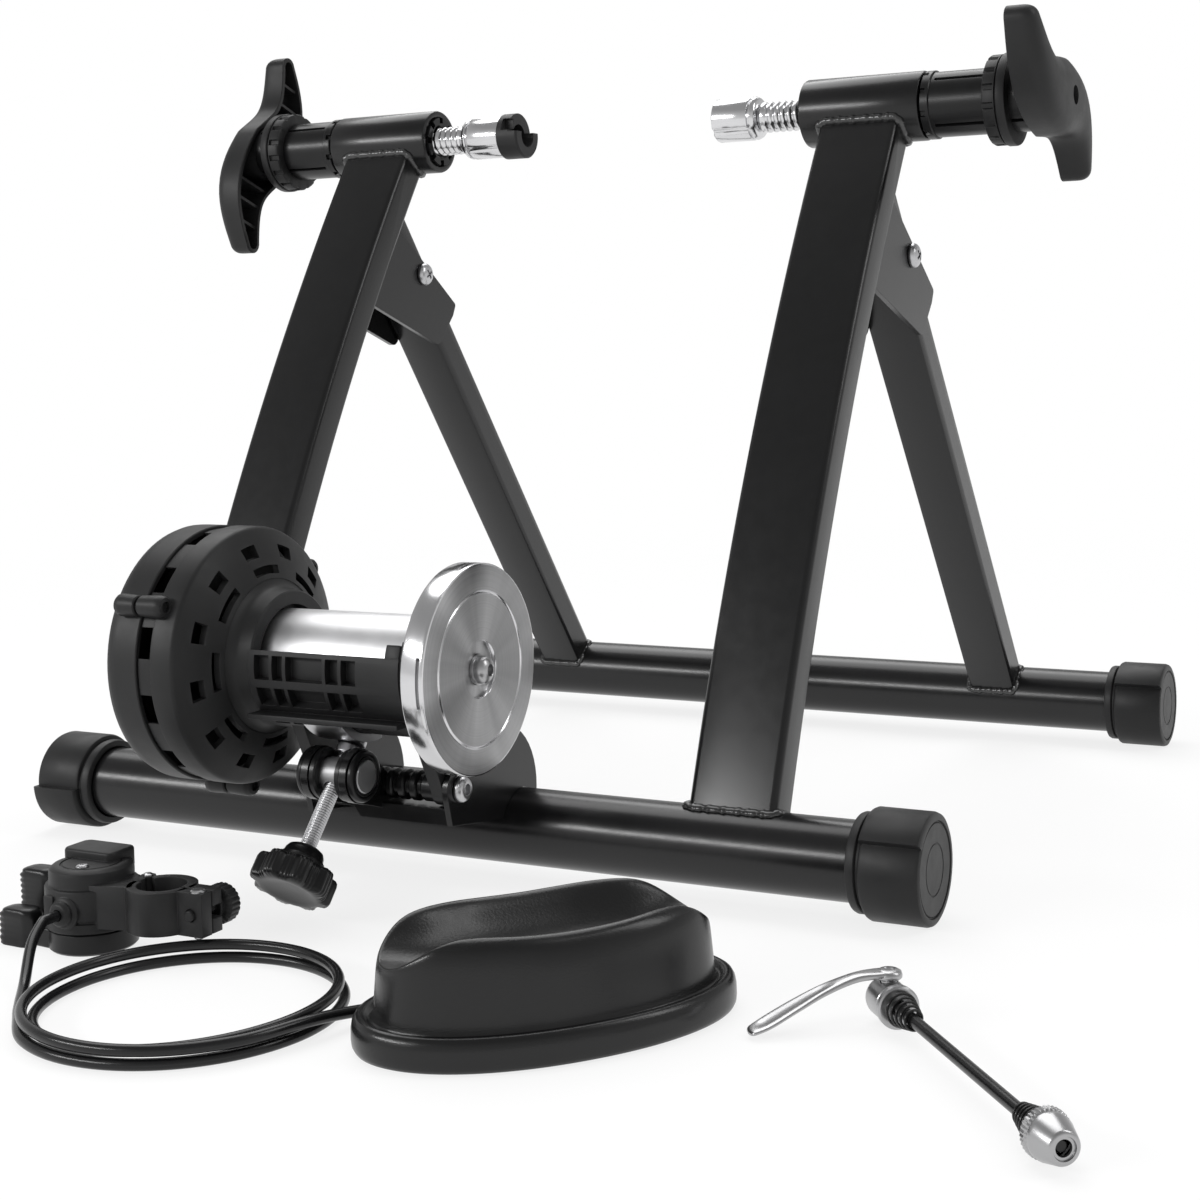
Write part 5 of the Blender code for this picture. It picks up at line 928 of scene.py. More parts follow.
def hinge_bolt(side, parent):
    """The fold bolt, with a low round cross-slotted head on its +X end and a thin nut on the other."""
    low, high = bracket_sides(side)
    low -= GAP
    high += GAP
    foot = low - HINGE_HEAD_HEIGHT
    profile = [(0.0, foot - 1.0), (HINGE_BOLT, foot - 1.0), (HINGE_BOLT, high), (HINGE_HEAD - 0.3, high)]
    for i in range(11):
        c, s = polar(1.0, 9.0 * i)
        profile.append((HINGE_HEAD * c ** 0.7, high + 0.9 + (HINGE_HEAD_HEIGHT - 0.9) * s))
    bolt = turned(profile, SMALL, HINGE)
    deep = high + HINGE_HEAD_HEIGHT - 1.7
    for swing in (35.0, 125.0):
        bolt = cut(bolt, moved(box((deep, -3.3, -0.75), (high + 10.0, 3.3, 0.75)), HINGE, turn(swing)))
    nut = softened(prism(circle(HINGE_HEAD, 6, HINGE[1:]), foot, low), 0.5)
    part(side + "_hinge_bolt", gather([bolt, nut]), ZINC, parent, 30.0)


def clamp_housing(side, parent):
    """The steel tube that carries the clamp screw, with rounded rims."""
    profile = [
        *offsets(HOUSING_BORE, HOUSING_IN, (0.0, 1.2), (0.48, 0.24), (1.2, 0.0)),
        *offsets(HOUSING_RADIUS, HOUSING_IN, (-1.2, 0.0), (-0.36, 0.36), (0.0, 1.2)),
        *offsets(HOUSING_RADIUS, HOUSING_OUT, (0.0, -1.2), (-0.36, -0.36), (-1.2, 0.0)),
        *offsets(HOUSING_BORE, HOUSING_OUT, (1.2, 0.0), (0.0, -1.2)),
    ]
    part(side + "_clamp_housing", turned(profile, FINE, CLAMP, sign=SIGN[side]), STEEL, parent)


def clamp_bushing(side, parent):
    """The nut moulding in the housing's inner end, with notches round its mouth."""
    sign = SIGN[side]
    low = HOUSING_IN - BUSHING_PROUD
    high = HOUSING_IN + BUSHING_DEPTH
    bore = SPINDLE_RADIUS + RUN
    edge = HOUSING_BORE - GAP
    profile = [(bore, low + 1.5), (bore + 1.5, low), (edge, low), (edge, high), (bore, high)]
    tooth = (sign * (low - 1.0), SPINDLE_RADIUS + 2.6, -1.8), (sign * (low + 3.0), HOUSING_BORE + 1.0, 1.8)
    body = cut(turned(profile, ROUND, CLAMP, sign=sign), spokes(8, *tooth, CLAMP))
    part(side + "_clamp_bushing", body, NYLON, parent)


def thread_rows(radius, depth, pitch, low, high, hand):
    """Rows of a coarse round thread for a skin."""
    rows = []
    count = int((high - low) / pitch * 8)
    for i in range(count + 1):
        along = low + (high - low) * i / count

        def reach(angle, along=along):
            phase = (along / pitch - hand * angle / 360.0) % 1.0
            crest = 0.5 + 0.5 * math.cos(2.0 * math.pi * phase)
            fade = min(1.0, (along - low) / pitch, (high - along) / pitch)
            return radius - depth * (1.0 - crest ** 0.7) * max(fade, 0.0)

        rows.append((along, reach))
    return rows


def clamp_spindle(side, parent):
    """The screw: a nose that the tip turns on, and a coarse round thread."""
    sign = SIGN[side]
    start = TIP_START[side] + TIP_LENGTH + GAP
    end = HANDLE_IN + HANDLE_DEPTH - HANDLE_WALL - 6.0
    rows = [
        (start - NOSE_LENGTH, NOSE_RADIUS), (start - 0.1, NOSE_RADIUS), (start, SPINDLE_RADIUS - 1.6),
        (start + 1.6, SPINDLE_RADIUS - 0.9),
        *thread_rows(SPINDLE_RADIUS, 1.5, 4.0, start + 2.0, HOUSING_IN + 24.0, sign),
        (end, SPINDLE_RADIUS),
    ]
    part(side + "_spindle", skin(rows, 40, CLAMP, sign=sign), CHROME, parent, 50.0)


def clamp_tip(side, parent):
    """The chrome cup that takes the bike's axle end, with flutes and a turned neck."""
    def outside(drop):
        def reach(angle):
            flute = 0.0
            for middle, half in ((218.0, 9.0), (330.0, 4.0), (100.0, 9.0)):
                away = apart(angle, middle)
                if away < half:
                    flute = 1.1 * math.cos(math.pi / 2.0 * away / half) ** 0.5
            return TIP_RADIUS - drop - flute
        return reach

    rows = [
        (TIP_CUP_DEPTH, 1.0), *offsets(TIP_CUP_DEPTH, TIP_CUP_RADIUS, (0.0, -2.0), (-2.0, 0.0)),
        *offsets(0.0, TIP_CUP_RADIUS, (0.5, 0.0), (0.0, 0.5)),
        (0.0, outside(0.9)), (0.3, outside(0.25)), (0.9, outside(0.0)),
        *offsets(TIP_LENGTH, 0.0, (-5.2, outside(0.0)), (-4.6, outside(0.4))),
        *offsets(
            TIP_LENGTH, TIP_RADIUS, (-4.4, -1.4), (-3.4, -1.4), (-3.2, -0.5), (-2.4, -0.2), (-0.6, -1.0),
            (0.0, -1.8),
        ),
        (TIP_LENGTH, NOSE_RADIUS + RUN),
    ]
    sign = SIGN[side]
    body = skin(rows, 120, CLAMP, start=sign * TIP_START[side], sign=sign)
    part(side + "_tip", body, CHROME, parent, 40.0)


def tip_insert(parent):
    """The plastic seat in the left tip, with a low side for a quick-release lever."""
    start = TIP_START["left"] - INSERT_REACH
    face = TIP_START["left"] - GAP
    end = face + TIP_CUP_DEPTH - 3.0
    seat = TIP_CUP_RADIUS - GAP
    bore = seat - 2.2
    profile = [
        (bore, start), *offsets(INSERT_RADIUS, start, (-1.0, 0.0), (0.0, 1.0)), (INSERT_RADIUS, face),
        (seat, face), (seat, end), (bore, end),
    ]
    low_side = box(
        (-start - 6.0, CLAMP_Y - 30.0, CLAMP_Z + 2.0),
        (1.0 - start, CLAMP_Y + 30.0, CLAMP_Z + 30.0),
    )
    slot = box(
        (-start - 11.0, CLAMP_Y - 30.0, CLAMP_Z + 3.0),
        (1.0 - start, CLAMP_Y - bore + 1.0, CLAMP_Z + 10.0),
    )
    body = cut(turned(profile, ROUND, CLAMP, sign=-1.0), low_side, slot)
    part("left_tip_insert", body, PLASTIC, parent)


def clamp_sleeve(side, parent):
    """The slotted nylon sleeve that turns with the spindle and slides in the housing."""
    bore = SPINDLE_RADIUS + GAP
    inside = HOUSING_BORE - RUN
    collar = HOUSING_OUT + 0.8
    edge = SLEEVE_RADIUS
    slit = notched(edge, edge - 2.2, 90.0, 2.7, 45.0)
    soft_band = notched(COLLAR_RADIUS - 0.5, edge - 0.8, 40.0, 4.6)
    band = notched(COLLAR_RADIUS, edge - 0.8, 40.0, 4.6)
    rows = [
        (SLEEVE_IN, bore), (SLEEVE_IN, inside), (collar, inside),
        *offsets(collar, 0.0, (0.0, soft_band), (0.5, band), (2.9, band), (3.0, COLLAR_RADIUS)),
        *offsets(collar + COLLAR_WIDTH, COLLAR_RADIUS, (-0.4, 0.0), (0.0, -0.4)),
        *offsets(collar + COLLAR_WIDTH, edge, (0.0, 0.0), (2.0, 0.0), (2.1, slit)),
        *offsets(HANDLE_IN, edge, (-2.1, slit), (-2.0, 0.0), (-GAP - 0.4, 0.0), (-GAP, -0.4)),
        (HANDLE_IN - GAP, bore),
    ]
    part(side + "_sleeve", skin(rows, 200, CLAMP, sign=SIGN[side]), NYLON, parent)


def lock_ring(side, parent):
    """The jam ring: a toothed band and a smooth flange."""
    bore = SLEEVE_RADIUS + RUN
    band = RING_RADIUS - 0.6

    def toothed(drop):
        return notched(band - drop, RING_RADIUS - RING_TOOTH_DEPTH, RING_PITCH, 4.2)

    rows = [
        (0.0, bore), (0.0, toothed(1.6)), (0.5, toothed(0.5)), (1.5, toothed(0.0)),
        *offsets(
            RING_WIDTH, band, (-6.6, toothed(0.0)), (-6.5, 0.0), (-5.9, 0.0), (-5.6, -1.0), (-5.2, -1.0)
        ),
        *offsets(RING_WIDTH, RING_RADIUS, (-4.9, -0.3), (-4.5, 0.0), (-0.8, 0.0), (-0.2, -0.3), (0.0, -1.0)),
        (RING_WIDTH, bore),
    ]
    sign = SIGN[side]
    part(side + "_lock_ring", skin(rows, 240, CLAMP, start=sign * RING_IN, sign=sign), PLASTIC, parent)


def blade_middle(share):
    """The handle's S-shaped middle line, from one tip to the other."""
    return Vector((HANDLE_SWAY * math.sin(math.pi * share), HANDLE_REACH * share))


def blade_half_width(share):
    """The handle's half width along a blade, from the hub to the tip."""
    return HANDLE_HUB_WIDTH - (HANDLE_HUB_WIDTH - HANDLE_TIP_RADIUS) * abs(share) ** 1.15


def handle_ring(sign, inset, share_out, rise):
    """A ring of the handle: its outline drawn in, pulled to its middle line, at a share of the depth."""
    points = []
    for i in range(-16, 17):
        share = i / 16
        run = (blade_middle(share + 0.01) - blade_middle(share - 0.01)).normalized()
        reach = (blade_half_width(share) - inset) * share_out
        points.append(blade_middle(share) + Vector((run[1], -run[0])) * reach)
    run = (blade_middle(1.0) - blade_middle(0.98)).normalized()
    heading = math.degrees(math.atan2(-run[0], run[1]))
    tip = arc(blade_middle(1.0), (HANDLE_TIP_RADIUS - inset) * share_out, heading, heading + 180.0, 10)
    points += tip[1:-1]
    points += [(-x, -y) for x, y in points]
    ring = []
    for x, y in points:
        depth = HANDLE_DEPTH * (1.0 - HANDLE_TAPER * (y / (HANDLE_REACH + HANDLE_TIP_RADIUS)) ** 2)
        ring.append((sign * (HANDLE_IN + depth * rise), -sign * x, y))
    return ring


def clamp_handle(side, parent):
    """An S-shaped turning handle: a domed shell, open on its inner side, with ribs and a hub."""
    sign = SIGN[side]
    axis = (sign, 0.0, 0.0)
    outer = HANDLE_IN + HANDLE_DEPTH
    rings = [(0.5, 1.0, 0.0), (0.0, 1.0, 0.025), (0.0, 1.0, 0.25), (0.0, 1.0, 0.5)]
    for k in range(1, 15):
        c, s = polar(1.0, 90.0 * k / 14.0)
        rings.append((0.0, max(c, 0.002) ** 0.75, 0.5 + 0.5 * s ** 0.75))
    wall = HANDLE_WALL
    hollow = [(wall, 1.0, -0.05), (wall, 1.0, 0.5), (wall, 0.7, 0.74), (wall, 0.35, 0.8)]
    body, room = (loft([handle_ring(sign, *ring) for ring in shape]) for shape in (rings, hollow))
    body = cut(body, room)
    body = cut(body, rod(5.2, outer - 5.0, outer + 1.0, ROUND, ZERO, axis))
    shapes = [
        body, pipe(SPINDLE_RADIUS + GAP, HANDLE_HUB_RADIUS, HANDLE_IN, outer - wall - 2.0, ROUND, ZERO, axis),
    ]
    low = sign * (HANDLE_IN + 2.4)
    high = sign * (HANDLE_IN + HANDLE_DEPTH * 0.66)
    for share in (-0.82, -0.6, -0.4, 0.4, 0.6, 0.82):
        x, y = blade_middle(share)
        width = blade_half_width(share) - 1.4
        shapes.append(box(
            (low, -sign * x - width, y - HANDLE_RIB / 2.0), (high, -sign * x + width, y + HANDLE_RIB / 2.0)
        ))
    part(side + "_handle", moved(gather(shapes), CLAMP, turn(HANDLE_TURN[side])), PLASTIC, parent, 40.0)


def rotor_point(radius, angle):
    """A point round the rotor's axis, as (y, z)."""
    return polar(radius, angle, ROTOR[1:])


def sector(inner, outer, start, end, low, high, steps=4):
    """A curved block round the rotor's axis between two radii, two angles and two places along X."""
    middle = ROTOR[1:]
    return prism(arc(middle, outer, start, end, steps) + arc(middle, inner, end, start, steps), low, high)


def carrier_shell():
    """The carrier's neck and slotted inner shell, with the left bearing's seat."""
    seat = BEARING_RADIUS + GAP
    bore = ROLLER_RADIUS + ROLLER_CLEAR + 0.5
    inside = SHELL_RADIUS - SHELL_WALL
    profile = [
        *offsets(
            NECK_RADIUS, NECK_X, (-0.8, 0.0), (0.0, -0.8), (0.6, -7.2), (1.6, -9.4), (3.6, -11.0),
            (5.2, -11.8), (5.5, -11.5), (10.0, -13.1), (14.0, -14.5), (19.0, -16.5), (24.0, -18.8),
        ),
        *offsets(SHELL_RADIUS, SHELL_RIM, (-4.0, 1.5), (-1.6, 0.2), (-0.6, -0.6), (0.0, -2.0)),
        *offsets(SHELL_RADIUS, SHELL_SPLIT, (0.0, 8.6), (-0.4, 8.2), (-1.5, 8.1), (-1.5, 0.0)),
        (inside, SHELL_SPLIT), (inside, SHELL_RIM - 4.0), (SHELL_RADIUS - 9.0, SHELL_RIM + 0.2),
        *offsets(NECK_RADIUS, NECK_X, (13.0, -17.4), (0.0, -13.6)), (BEARING_RADIUS + 6.0, NECK_X - 13.6),
        *offsets(BEARING_RADIUS, BEARING_LEFT_X - GAP, (6.0, 0.0), (GAP, 0.0)),
        *offsets(0.0, BEARING_LEFT_X + BEARING_WIDTH + GAP, (seat, 0.0), (8.0, 0.0), (8.0, 1.6), (bore, 1.6)),
        (bore, NECK_X),
    ]
    slots = []
    for i in range(12):
        slots.append(sector(49.3, 55.8, 30.0 * i + 4.6, 30.0 * i + 15.4, -80.0, -57.0, 3))
    for i in range(8):
        slots.append(sector(40.8, 45.0, 45.0 * i - 10.5, 45.0 * i + 14.5, -70.0, -55.0, 6))
    notch = (SHELL_SPLIT - 1.0, inside - 2.0, -7.5), (SHELL_SPLIT + 7.0, SHELL_RADIUS + 1.0, 7.5)
    return cut(turned(profile, FINE, ROTOR), gather(slots), spokes(12, *notch, ROTOR, NOTCH_START))


def bosses(profile):
    """The small screw posts round the shell's edge."""
    return [turned(profile, SMALL, (0.0, *rotor_point(BOSS_REACH, angle))) for angle in SHELL_BOSSES]


def roller_carrier(parent):
    """The unit's moulding: inner shell, neck, ribbed roller cradle, end wall and two legs."""
    clear = ROLLER_RADIUS + ROLLER_CLEAR
    rim = CRADLE_RIM
    low, high = NECK_X - 1.0, ROLLER_RIGHT + 1.0
    pockets = []
    for start, end in POCKET_ANGLES:
        for pocket in CRADLE_POCKETS:
            pockets.append(sector(rim - 4.6, rim + 6.0, start, end, *pocket))
    cradle = cut(sector(clear, rim, 165.0, 345.0, low, high, 36), gather(pockets), push_pad(GAP))
    rail = softened(box(
        (low, ROTOR_Y - rim - 2.0, ROTOR_Z - 24.2), (high, ROTOR_Y - clear + 3.0, ROTOR_Z - 21.6)
    ), 0.6)
    wall_end = BEARING_RIGHT_X + BEARING_WIDTH + GAP
    swing = math.degrees(math.asin(16.0 / (rim - 1.0)))
    outline = arc(ROTOR[1:], rim - 1.0, 180.0 - swing, 360.0 + swing, 40)
    end_wall = cut(
        prism(outline, ROLLER_RIGHT + 0.8, wall_end),
        rod(BEARING_RADIUS + GAP, ROLLER_RIGHT, wall_end + 1.0, ROUND, ROTOR),
    )
    tab = softened(sector(clear, rim, 154.0, 166.0, ROLLER_RIGHT - 7.0, high, 6), 0.6)
    shapes = [carrier_shell(), cradle, rail, end_wall, tab]
    outline = arc(PIVOT[1:], 8.3, 190.0, 350.0, 24) + [
        (ROTOR_Y + 26.0, ROTOR_Z - 22.0), (ROTOR_Y + 10.0, ROTOR_Z - clear - 2.0),
        (ROTOR_Y - 18.0, ROTOR_Z - clear + 1.2),
    ]
    edge = BRACKET_HALF - PLATE - 0.6
    for low in (-edge, edge - LEG_PLATE):
        bolt = rod(PIVOT_RADIUS + RUN, low - 1.0, low + LEG_PLATE + 1.0, SMALL, PIVOT)
        shapes.append(cut(prism(outline, low, low + LEG_PLATE), bolt))
    start = SHELL_SPLIT + 1.2
    end = SHELL_RIM - 6.0
    shapes += bosses([
        (0.0, start), (4.6, start), (5.0, start + 0.4), (5.5, end - 4.0), (5.3, end - 1.6),
        (4.4, end - 0.4), (2.6, end), (2.6, end - 2.0), (0.0, end - 2.0),
    ])
    part("roller_carrier", gather(shapes), PLASTIC, parent)


def outer_shell(parent):
    """The unit's outer cover, with the post that the magnet plate slides on."""
    inside = SHELL_RADIUS - SHELL_WALL
    end = SHELL_SPLIT - 0.4
    profile = [
        *offsets(
            0.0, SHELL_END, (0.0, 0.8), (9.0, 0.8), (9.8, 0.0), (40.0, 0.0), (40.4, 0.6), (41.6, 0.6),
            (42.0, 0.0),
        ),
        *offsets(
            SHELL_RADIUS, SHELL_END, (-14.0, 0.0), (-7.0, 0.3), (-3.4, 1.3), (-1.2, 3.2), (-0.2, 6.0),
            (0.0, 9.0),
        ),
        *offsets(SHELL_RADIUS, end, (0.0, -0.5), (-0.5, 0.0)), (inside, end),
        *offsets(inside, SHELL_END, (0.0, 7.0), (-3.0, SHELL_WALL)), (POST_RADIUS, SHELL_END + SHELL_WALL),
        (POST_RADIUS, POST_END), (0.0, POST_END),
    ]
    shapes = [turned(profile, FINE, ROTOR)] + bosses([
        *offsets(
            0.0, SHELL_END + 9.0, (0.0, 1.0), (2.4, 1.0), (2.4, 0.0), (4.4, 0.3), (5.3, 1.4), (5.5, 4.0)
        ),
        *offsets(0.0, end, (5.0, -0.6), (4.4, 0.0), (3.4, 0.0), (3.4, 2.0), (0.0, 2.0)),
    ])
    part("outer_shell", gather(shapes), PLASTIC, parent)


def magnet_plate(parent):
    """The sliding steel plate with its ring of magnets."""
    bore = POST_RADIUS + RUN
    face = MAGNET_X + MAGNET_PLATE
    body = turned([
        (bore, MAGNET_X), (MAGNET_RADIUS, MAGNET_X), (MAGNET_RADIUS, face), (bore + 3.0, face),
        (bore + 3.0, face + 3.0), (bore, face + 3.0),
    ], FINE, ROTOR)
    pucks = []
    for i in range(MAGNET_COUNT):
        spot = (0.0, *rotor_point(MAGNET_RING, 360.0 * i / MAGNET_COUNT))
        pucks.append(rod(MAGNET_PUCK, face - 0.5, face + MAGNET_HEIGHT, SMALL, spot))
    # painted shade: the plate takes the finish that is darkened to stand for the shade inside the unit
    part("magnet_plate", join(body, gather(pucks)), "shade_dark_steel", parent)


def rotor(parent):
    """Everything that spins: axle, conductor disc, roller, flywheel and its nut."""
    fit = AXLE_RADIUS + GAP
    axle = rod(AXLE_RADIUS, DISC_X - 1.5, FLYWHEEL_OUT + 1.0, SMALL, ROTOR)
    part("rotor_axle", axle, "turned_steel", parent)
    back = DISC_X + DISC_THICK
    disc = turned([
        (fit, DISC_X), (DISC_RADIUS, DISC_X), (DISC_RADIUS, back), (12.0, back), (12.0, back + 5.0),
        (fit, back + 5.0),
    ], FINE, ROTOR)
    # painted shade: the disc is darker than its own bare metal, standing in for the shade inside the unit
    part("conductor_disc", disc, "shade_dark_steel", parent)
    inner = ROLLER_RADIUS - 3.0
    roller = turned([
        (fit, ROLLER_LEFT + 7.0), (inner, ROLLER_LEFT + 7.0), (inner, ROLLER_LEFT),
        *offsets(ROLLER_RADIUS, ROLLER_LEFT, (-0.6, 0.0), (-0.15, 0.2), (0.0, 0.6)),
        *offsets(ROLLER_RADIUS, ROLLER_RIGHT, (0.0, -0.6), (-0.15, -0.2), (-0.6, 0.0)),
        (inner, ROLLER_RIGHT), (inner, ROLLER_RIGHT - 7.0), (fit, ROLLER_RIGHT - 7.0),
    ], FINE * 2, ROTOR)
    part("roller", roller, "ground_steel", parent)
    flywheel(fit, parent)
    nut = turned([
        (fit, 0.0), (7.4, 0.0), (7.4, 1.2), (6.6, 1.4), (6.6, 3.6), (6.1, 5.2), (4.8, 6.5), (3.0, 7.2),
        (2.7, 6.9), (2.6, 4.4), (0.0, 4.4), (0.0, 3.0), (fit, 3.0),
    ], SMALL, ROTOR, start=FLYWHEEL_OUT - 2.0 + GAP)
    part("flywheel_nut", nut, ALLOY, parent)


def flywheel(fit, parent):
    """The flywheel: chrome with slots in its rim, a groove and a recess in its brushed face."""
    rim = FLYWHEEL_RADIUS

    def slotted(angle):
        return rim - 1.6 if any(apart(angle, middle) < 13.0 for middle in RIM_SLOTS) else rim

    rows = [
        (FLYWHEEL_IN, fit), *offsets(FLYWHEEL_IN, rim, (0.0, -1.0), (0.3, -0.3), (1.0, 0.0)),
        *offsets(FLYWHEEL_OUT, rim, (-3.65, 0.0), (-3.6, slotted), (-2.0, slotted)),
        *offsets(FLYWHEEL_OUT, rim, (-1.95, 0.0), (-1.0, 0.0), (-0.3, -0.3), (0.0, -1.0)),
        *offsets(FLYWHEEL_OUT, rim * 0.73, (0.0, 0.8), (-0.5, 0.5), (-0.8, 0.0), (-0.5, -0.5), (0.0, -0.8)),
        *offsets(FLYWHEEL_OUT, rim * 0.27, (0.0, 0.3), (-0.3, 0.0), (-2.0, -0.4)), (FLYWHEEL_OUT - 2.0, fit),
    ]
    wheel = part("flywheel", skin(rows, 240, ROTOR), CHROME, parent)
    wheel.data.materials.append(brushed_face())
    for polygon in wheel.data.polygons:
        if polygon.normal[0] > 0.95:
            polygon.material_index = 1


def rotor_bearing(name, low, parent):
    """A ball bearing's outer shape."""
    inner = AXLE_RADIUS + GAP
    ring = turned([
        (inner, low + 0.5), *offsets(BEARING_RADIUS, low, (-1.6, 0.5), (-1.6, 0.0), (0.0, 0.0)),
        *offsets(BEARING_RADIUS, low + BEARING_WIDTH, (0.0, 0.0), (-1.6, 0.0), (-1.6, -0.5)),
        (inner, low + BEARING_WIDTH - 0.5),
    ], SMALL + 4, ROTOR)
    part(name, ring, "turned_steel", parent)


def push_pad(grow):
    """The curved metal pad under the cradle that the tension screw presses on."""
    low, high = PAD_ANGLES
    return sector(
        CRADLE_RIM + GAP - grow, CRADLE_RIM + PAD_THICK + grow, low - grow * 0.8, high + grow * 0.8,
        SCREW_X - PAD_HALF - grow, SCREW_X + PAD_HALF + grow, 12,
    )


def tension_pad(parent):
    """The pad with the round seat that faces the screw."""
    seat = rod(SWIVEL_RADIUS + 1.0, PAD_START, PAD_START + PAD_SEAT, SMALL, SCREW, SCREW_UP)
    part("tension_pad", join(push_pad(0.0), seat), ZINC, parent)


def unit_bracket(parent):
    """The welded steel bracket on the front tube: base, two cheeks and the screw's yoke arms."""
    floor = BASE_Z + TUBE_RADIUS + GAP + 0.06
    front = PIVOT_Y - 7.0
    half = BRACKET_HALF
    cheek = arc(MOON_CENTRE, MOON_RADIUS, -12.0, 100.0, 14)
    cheek += arc(PIVOT[1:], CHEEK_LOBE, 95.0, 205.0, 8)
    cheek += [(front, floor - 5.0), (-17.2, floor - 12.0), (-12.0, floor - 14.0)]
    arm = arc(BARREL[1:], YOKE_RADIUS, 45.0, 245.0, 14) + [
        (front + 2.0, floor + 0.2), (front + 24.0, floor + 0.2), (front + 24.0, floor + PLATE + 1.0),
        (front + 14.0, floor + PLATE + 6.0),
    ]
    flange = [
        (26.0 - half, floor + 0.5 * PLATE), (31.0 - half, floor - 5.0), (half - PLATE, floor - 5.0),
        (half - PLATE, floor + 0.5 * PLATE),
    ]
    body = join(
        box((0.5 - half, front, floor), (half - 0.5, 8.0, floor + PLATE)),
        prism(cheek, -half, PLATE - half), prism(cheek, half - PLATE, half),
        prism(flange, front, front + PLATE, "Y"),
        *[prism(arm, *yoke_arm_range(index)) for index in (0, 1)],
    )
    body = cut(
        body, rod(TUBE_RADIUS + GAP, -FRONT_SPAN / 2.0, FRONT_SPAN / 2.0, FINE, (0.0, 0.0, BASE_Z)),
        rod(PIVOT_RADIUS + GAP, -half - 1.0, half + 1.0, SMALL, PIVOT),
        rod(BARREL_RADIUS + 3.0, SCREW_X - 20.0, SCREW_X + 20.0, ROUND, BARREL),
    )
    part("unit_bracket", body, STEEL, parent)


def unit_pivot_bolt(parent):
    """The bolt that the carrier tilts on, with a button head on its right end and ringed spacers."""
    face = BRACKET_HALF + GAP
    bolt = turned([
        (0.0, -face - 5.0), (PIVOT_RADIUS, -face - 5.0), (PIVOT_RADIUS, face),
        *offsets(
            0.0, face, (6.2, 0.0), (6.4, 0.4), (6.3, 1.7), (5.8, 2.9), (4.9, 3.8), (3.8, 4.2), (2.7, 4.2),
            (2.4, 1.6), (0.0, 1.6),
        ),
    ], SMALL, PIVOT)
    nut = softened(prism(circle(7.0, 6, PIVOT[1:]), -face - 4.2, -face), 0.5)
    part("unit_pivot_bolt", gather([bolt, nut]), ZINC, parent)
    end = BRACKET_HALF - PLATE - LEG_PLATE - 1.4
    profile = [(PIVOT_RADIUS + 0.1, -end)]
    spot = -end
    while spot < end - 7.0:
        profile += offsets(
            0.0, spot, (6.6, 0.0), (7.4, 0.8), (7.4, 3.4), (6.6, 4.2), (5.6, 4.4), (5.6, 6.6), (6.6, 6.8)
        )
        spot += 6.8
    profile += [(7.2, spot + 0.8), (7.2, end), (PIVOT_RADIUS + 0.1, end)]
    dress(turned(profile, SMALL, PIVOT), "pivot_spacers", NYLON, "unit_pivot_bolt", parent)


def yoke_arm_range(index):
    """Where one yoke arm lies along X: 0 is the left arm and 1 the right."""
    start = SCREW_X + YOKE_OFFSET if index else SCREW_X - YOKE_OFFSET - YOKE_PLATE
    return start, start + YOKE_PLATE


def yoke_bushing(index, name, parent):
    """A flanged nylon bushing in one yoke arm, drawn from the arm's inner face outwards."""
    low, high = yoke_arm_range(index)
    bore = BARREL_RADIUS + RUN
    wall = BARREL_RADIUS + 3.0 - GAP
    face = YOKE_PLATE + GAP
    profile = [
        (bore, -3.2), (bore + 0.4, -3.6),
        *offsets(YOKE_FLANGE, 0.0, (-1.0, -3.6), (0.0, -2.8), (0.0, -0.6), (-0.5, -0.15)),
        (wall, -0.15), (wall, face),
        *offsets(
            YOKE_FLANGE, face, (-0.5, 0.0), (0.0, 0.5), (0.0, 1.8), (-0.4, 2.6), (-1.3, 3.0), (-2.2, 3.0),
            (-2.4, 2.4), (-2.8, 2.4), (-3.0, 3.0),
        ),
        *offsets(bore, face, (0.3, 3.0), (0.0, 2.7)),
    ]
    start, sign = (low, 1.0) if index else (high, -1.0)
    part(name, turned(profile, ROUND, BARREL, start=start, sign=sign), NYLON, parent)


def tension_screw(parent):
    """The tension screw's barrel, ribbed rod and swivel cap."""
    low, high = SCREW_X - BARREL_HALF, SCREW_X + BARREL_HALF
    barrel = turned([
        (0.0, low), *offsets(BARREL_RADIUS, low, (-0.5, 0.0), (0.0, 0.5)),
        *offsets(BARREL_RADIUS, high, (0.0, -0.5), (-0.5, 0.0)), (0.0, high),
    ], ROUND, BARREL)
    hole = rod(SCREW_RADIUS + RUN, -20.0, 20.0, SMALL, SCREW, SCREW_UP)
    part("screw_barrel", cut(barrel, hole), "worn_steel", parent)

    edge = SCREW_RADIUS
    neck = edge - 1.2
    end = SWIVEL_START - GAP
    seat = SWIVEL_START + 3.6
    start = 4.0 - SCREW_DOWN
    profile = [(0.0, start), (edge - 0.6, start)]
    for i in range(int((end - start) / SCREW_PITCH) - 1):
        base = start + SCREW_PITCH * (i + 0.5)
        profile += offsets(edge, base, (-0.55, 0.0), (0.0, 0.45 * SCREW_PITCH), (0.0, 0.6 * SCREW_PITCH))
    profile += [(edge - 0.4, end), (neck, end), (neck, seat), (0.0, seat)]
    part("tension_rod", turned(profile, SMALL, SCREW, SCREW_UP), ZINC, parent, 50.0)

    low = SWIVEL_START
    top = low + SWIVEL_HEIGHT
    cap = turned([
        (neck + RUN, low), *offsets(SWIVEL_RADIUS, low, (-0.4, 0.0), (0.0, 0.4)),
        *offsets(SWIVEL_RADIUS, top, (0.0, -1.9), (-0.8, -0.8), (-2.5, 0.0)),
        (0.0, top), (0.0, seat + GAP), (neck + RUN, seat + GAP),
    ], SMALL, SCREW, SCREW_UP)
    part("screw_cap", cap, ZINC, parent)


def aligned(item, spot, way):
    """Turn a shape that was built along X so that it runs from a spot along a direction."""
    return moved(item, spot, Vector(ACROSS).rotation_difference(Vector(way)).to_matrix().to_4x4())


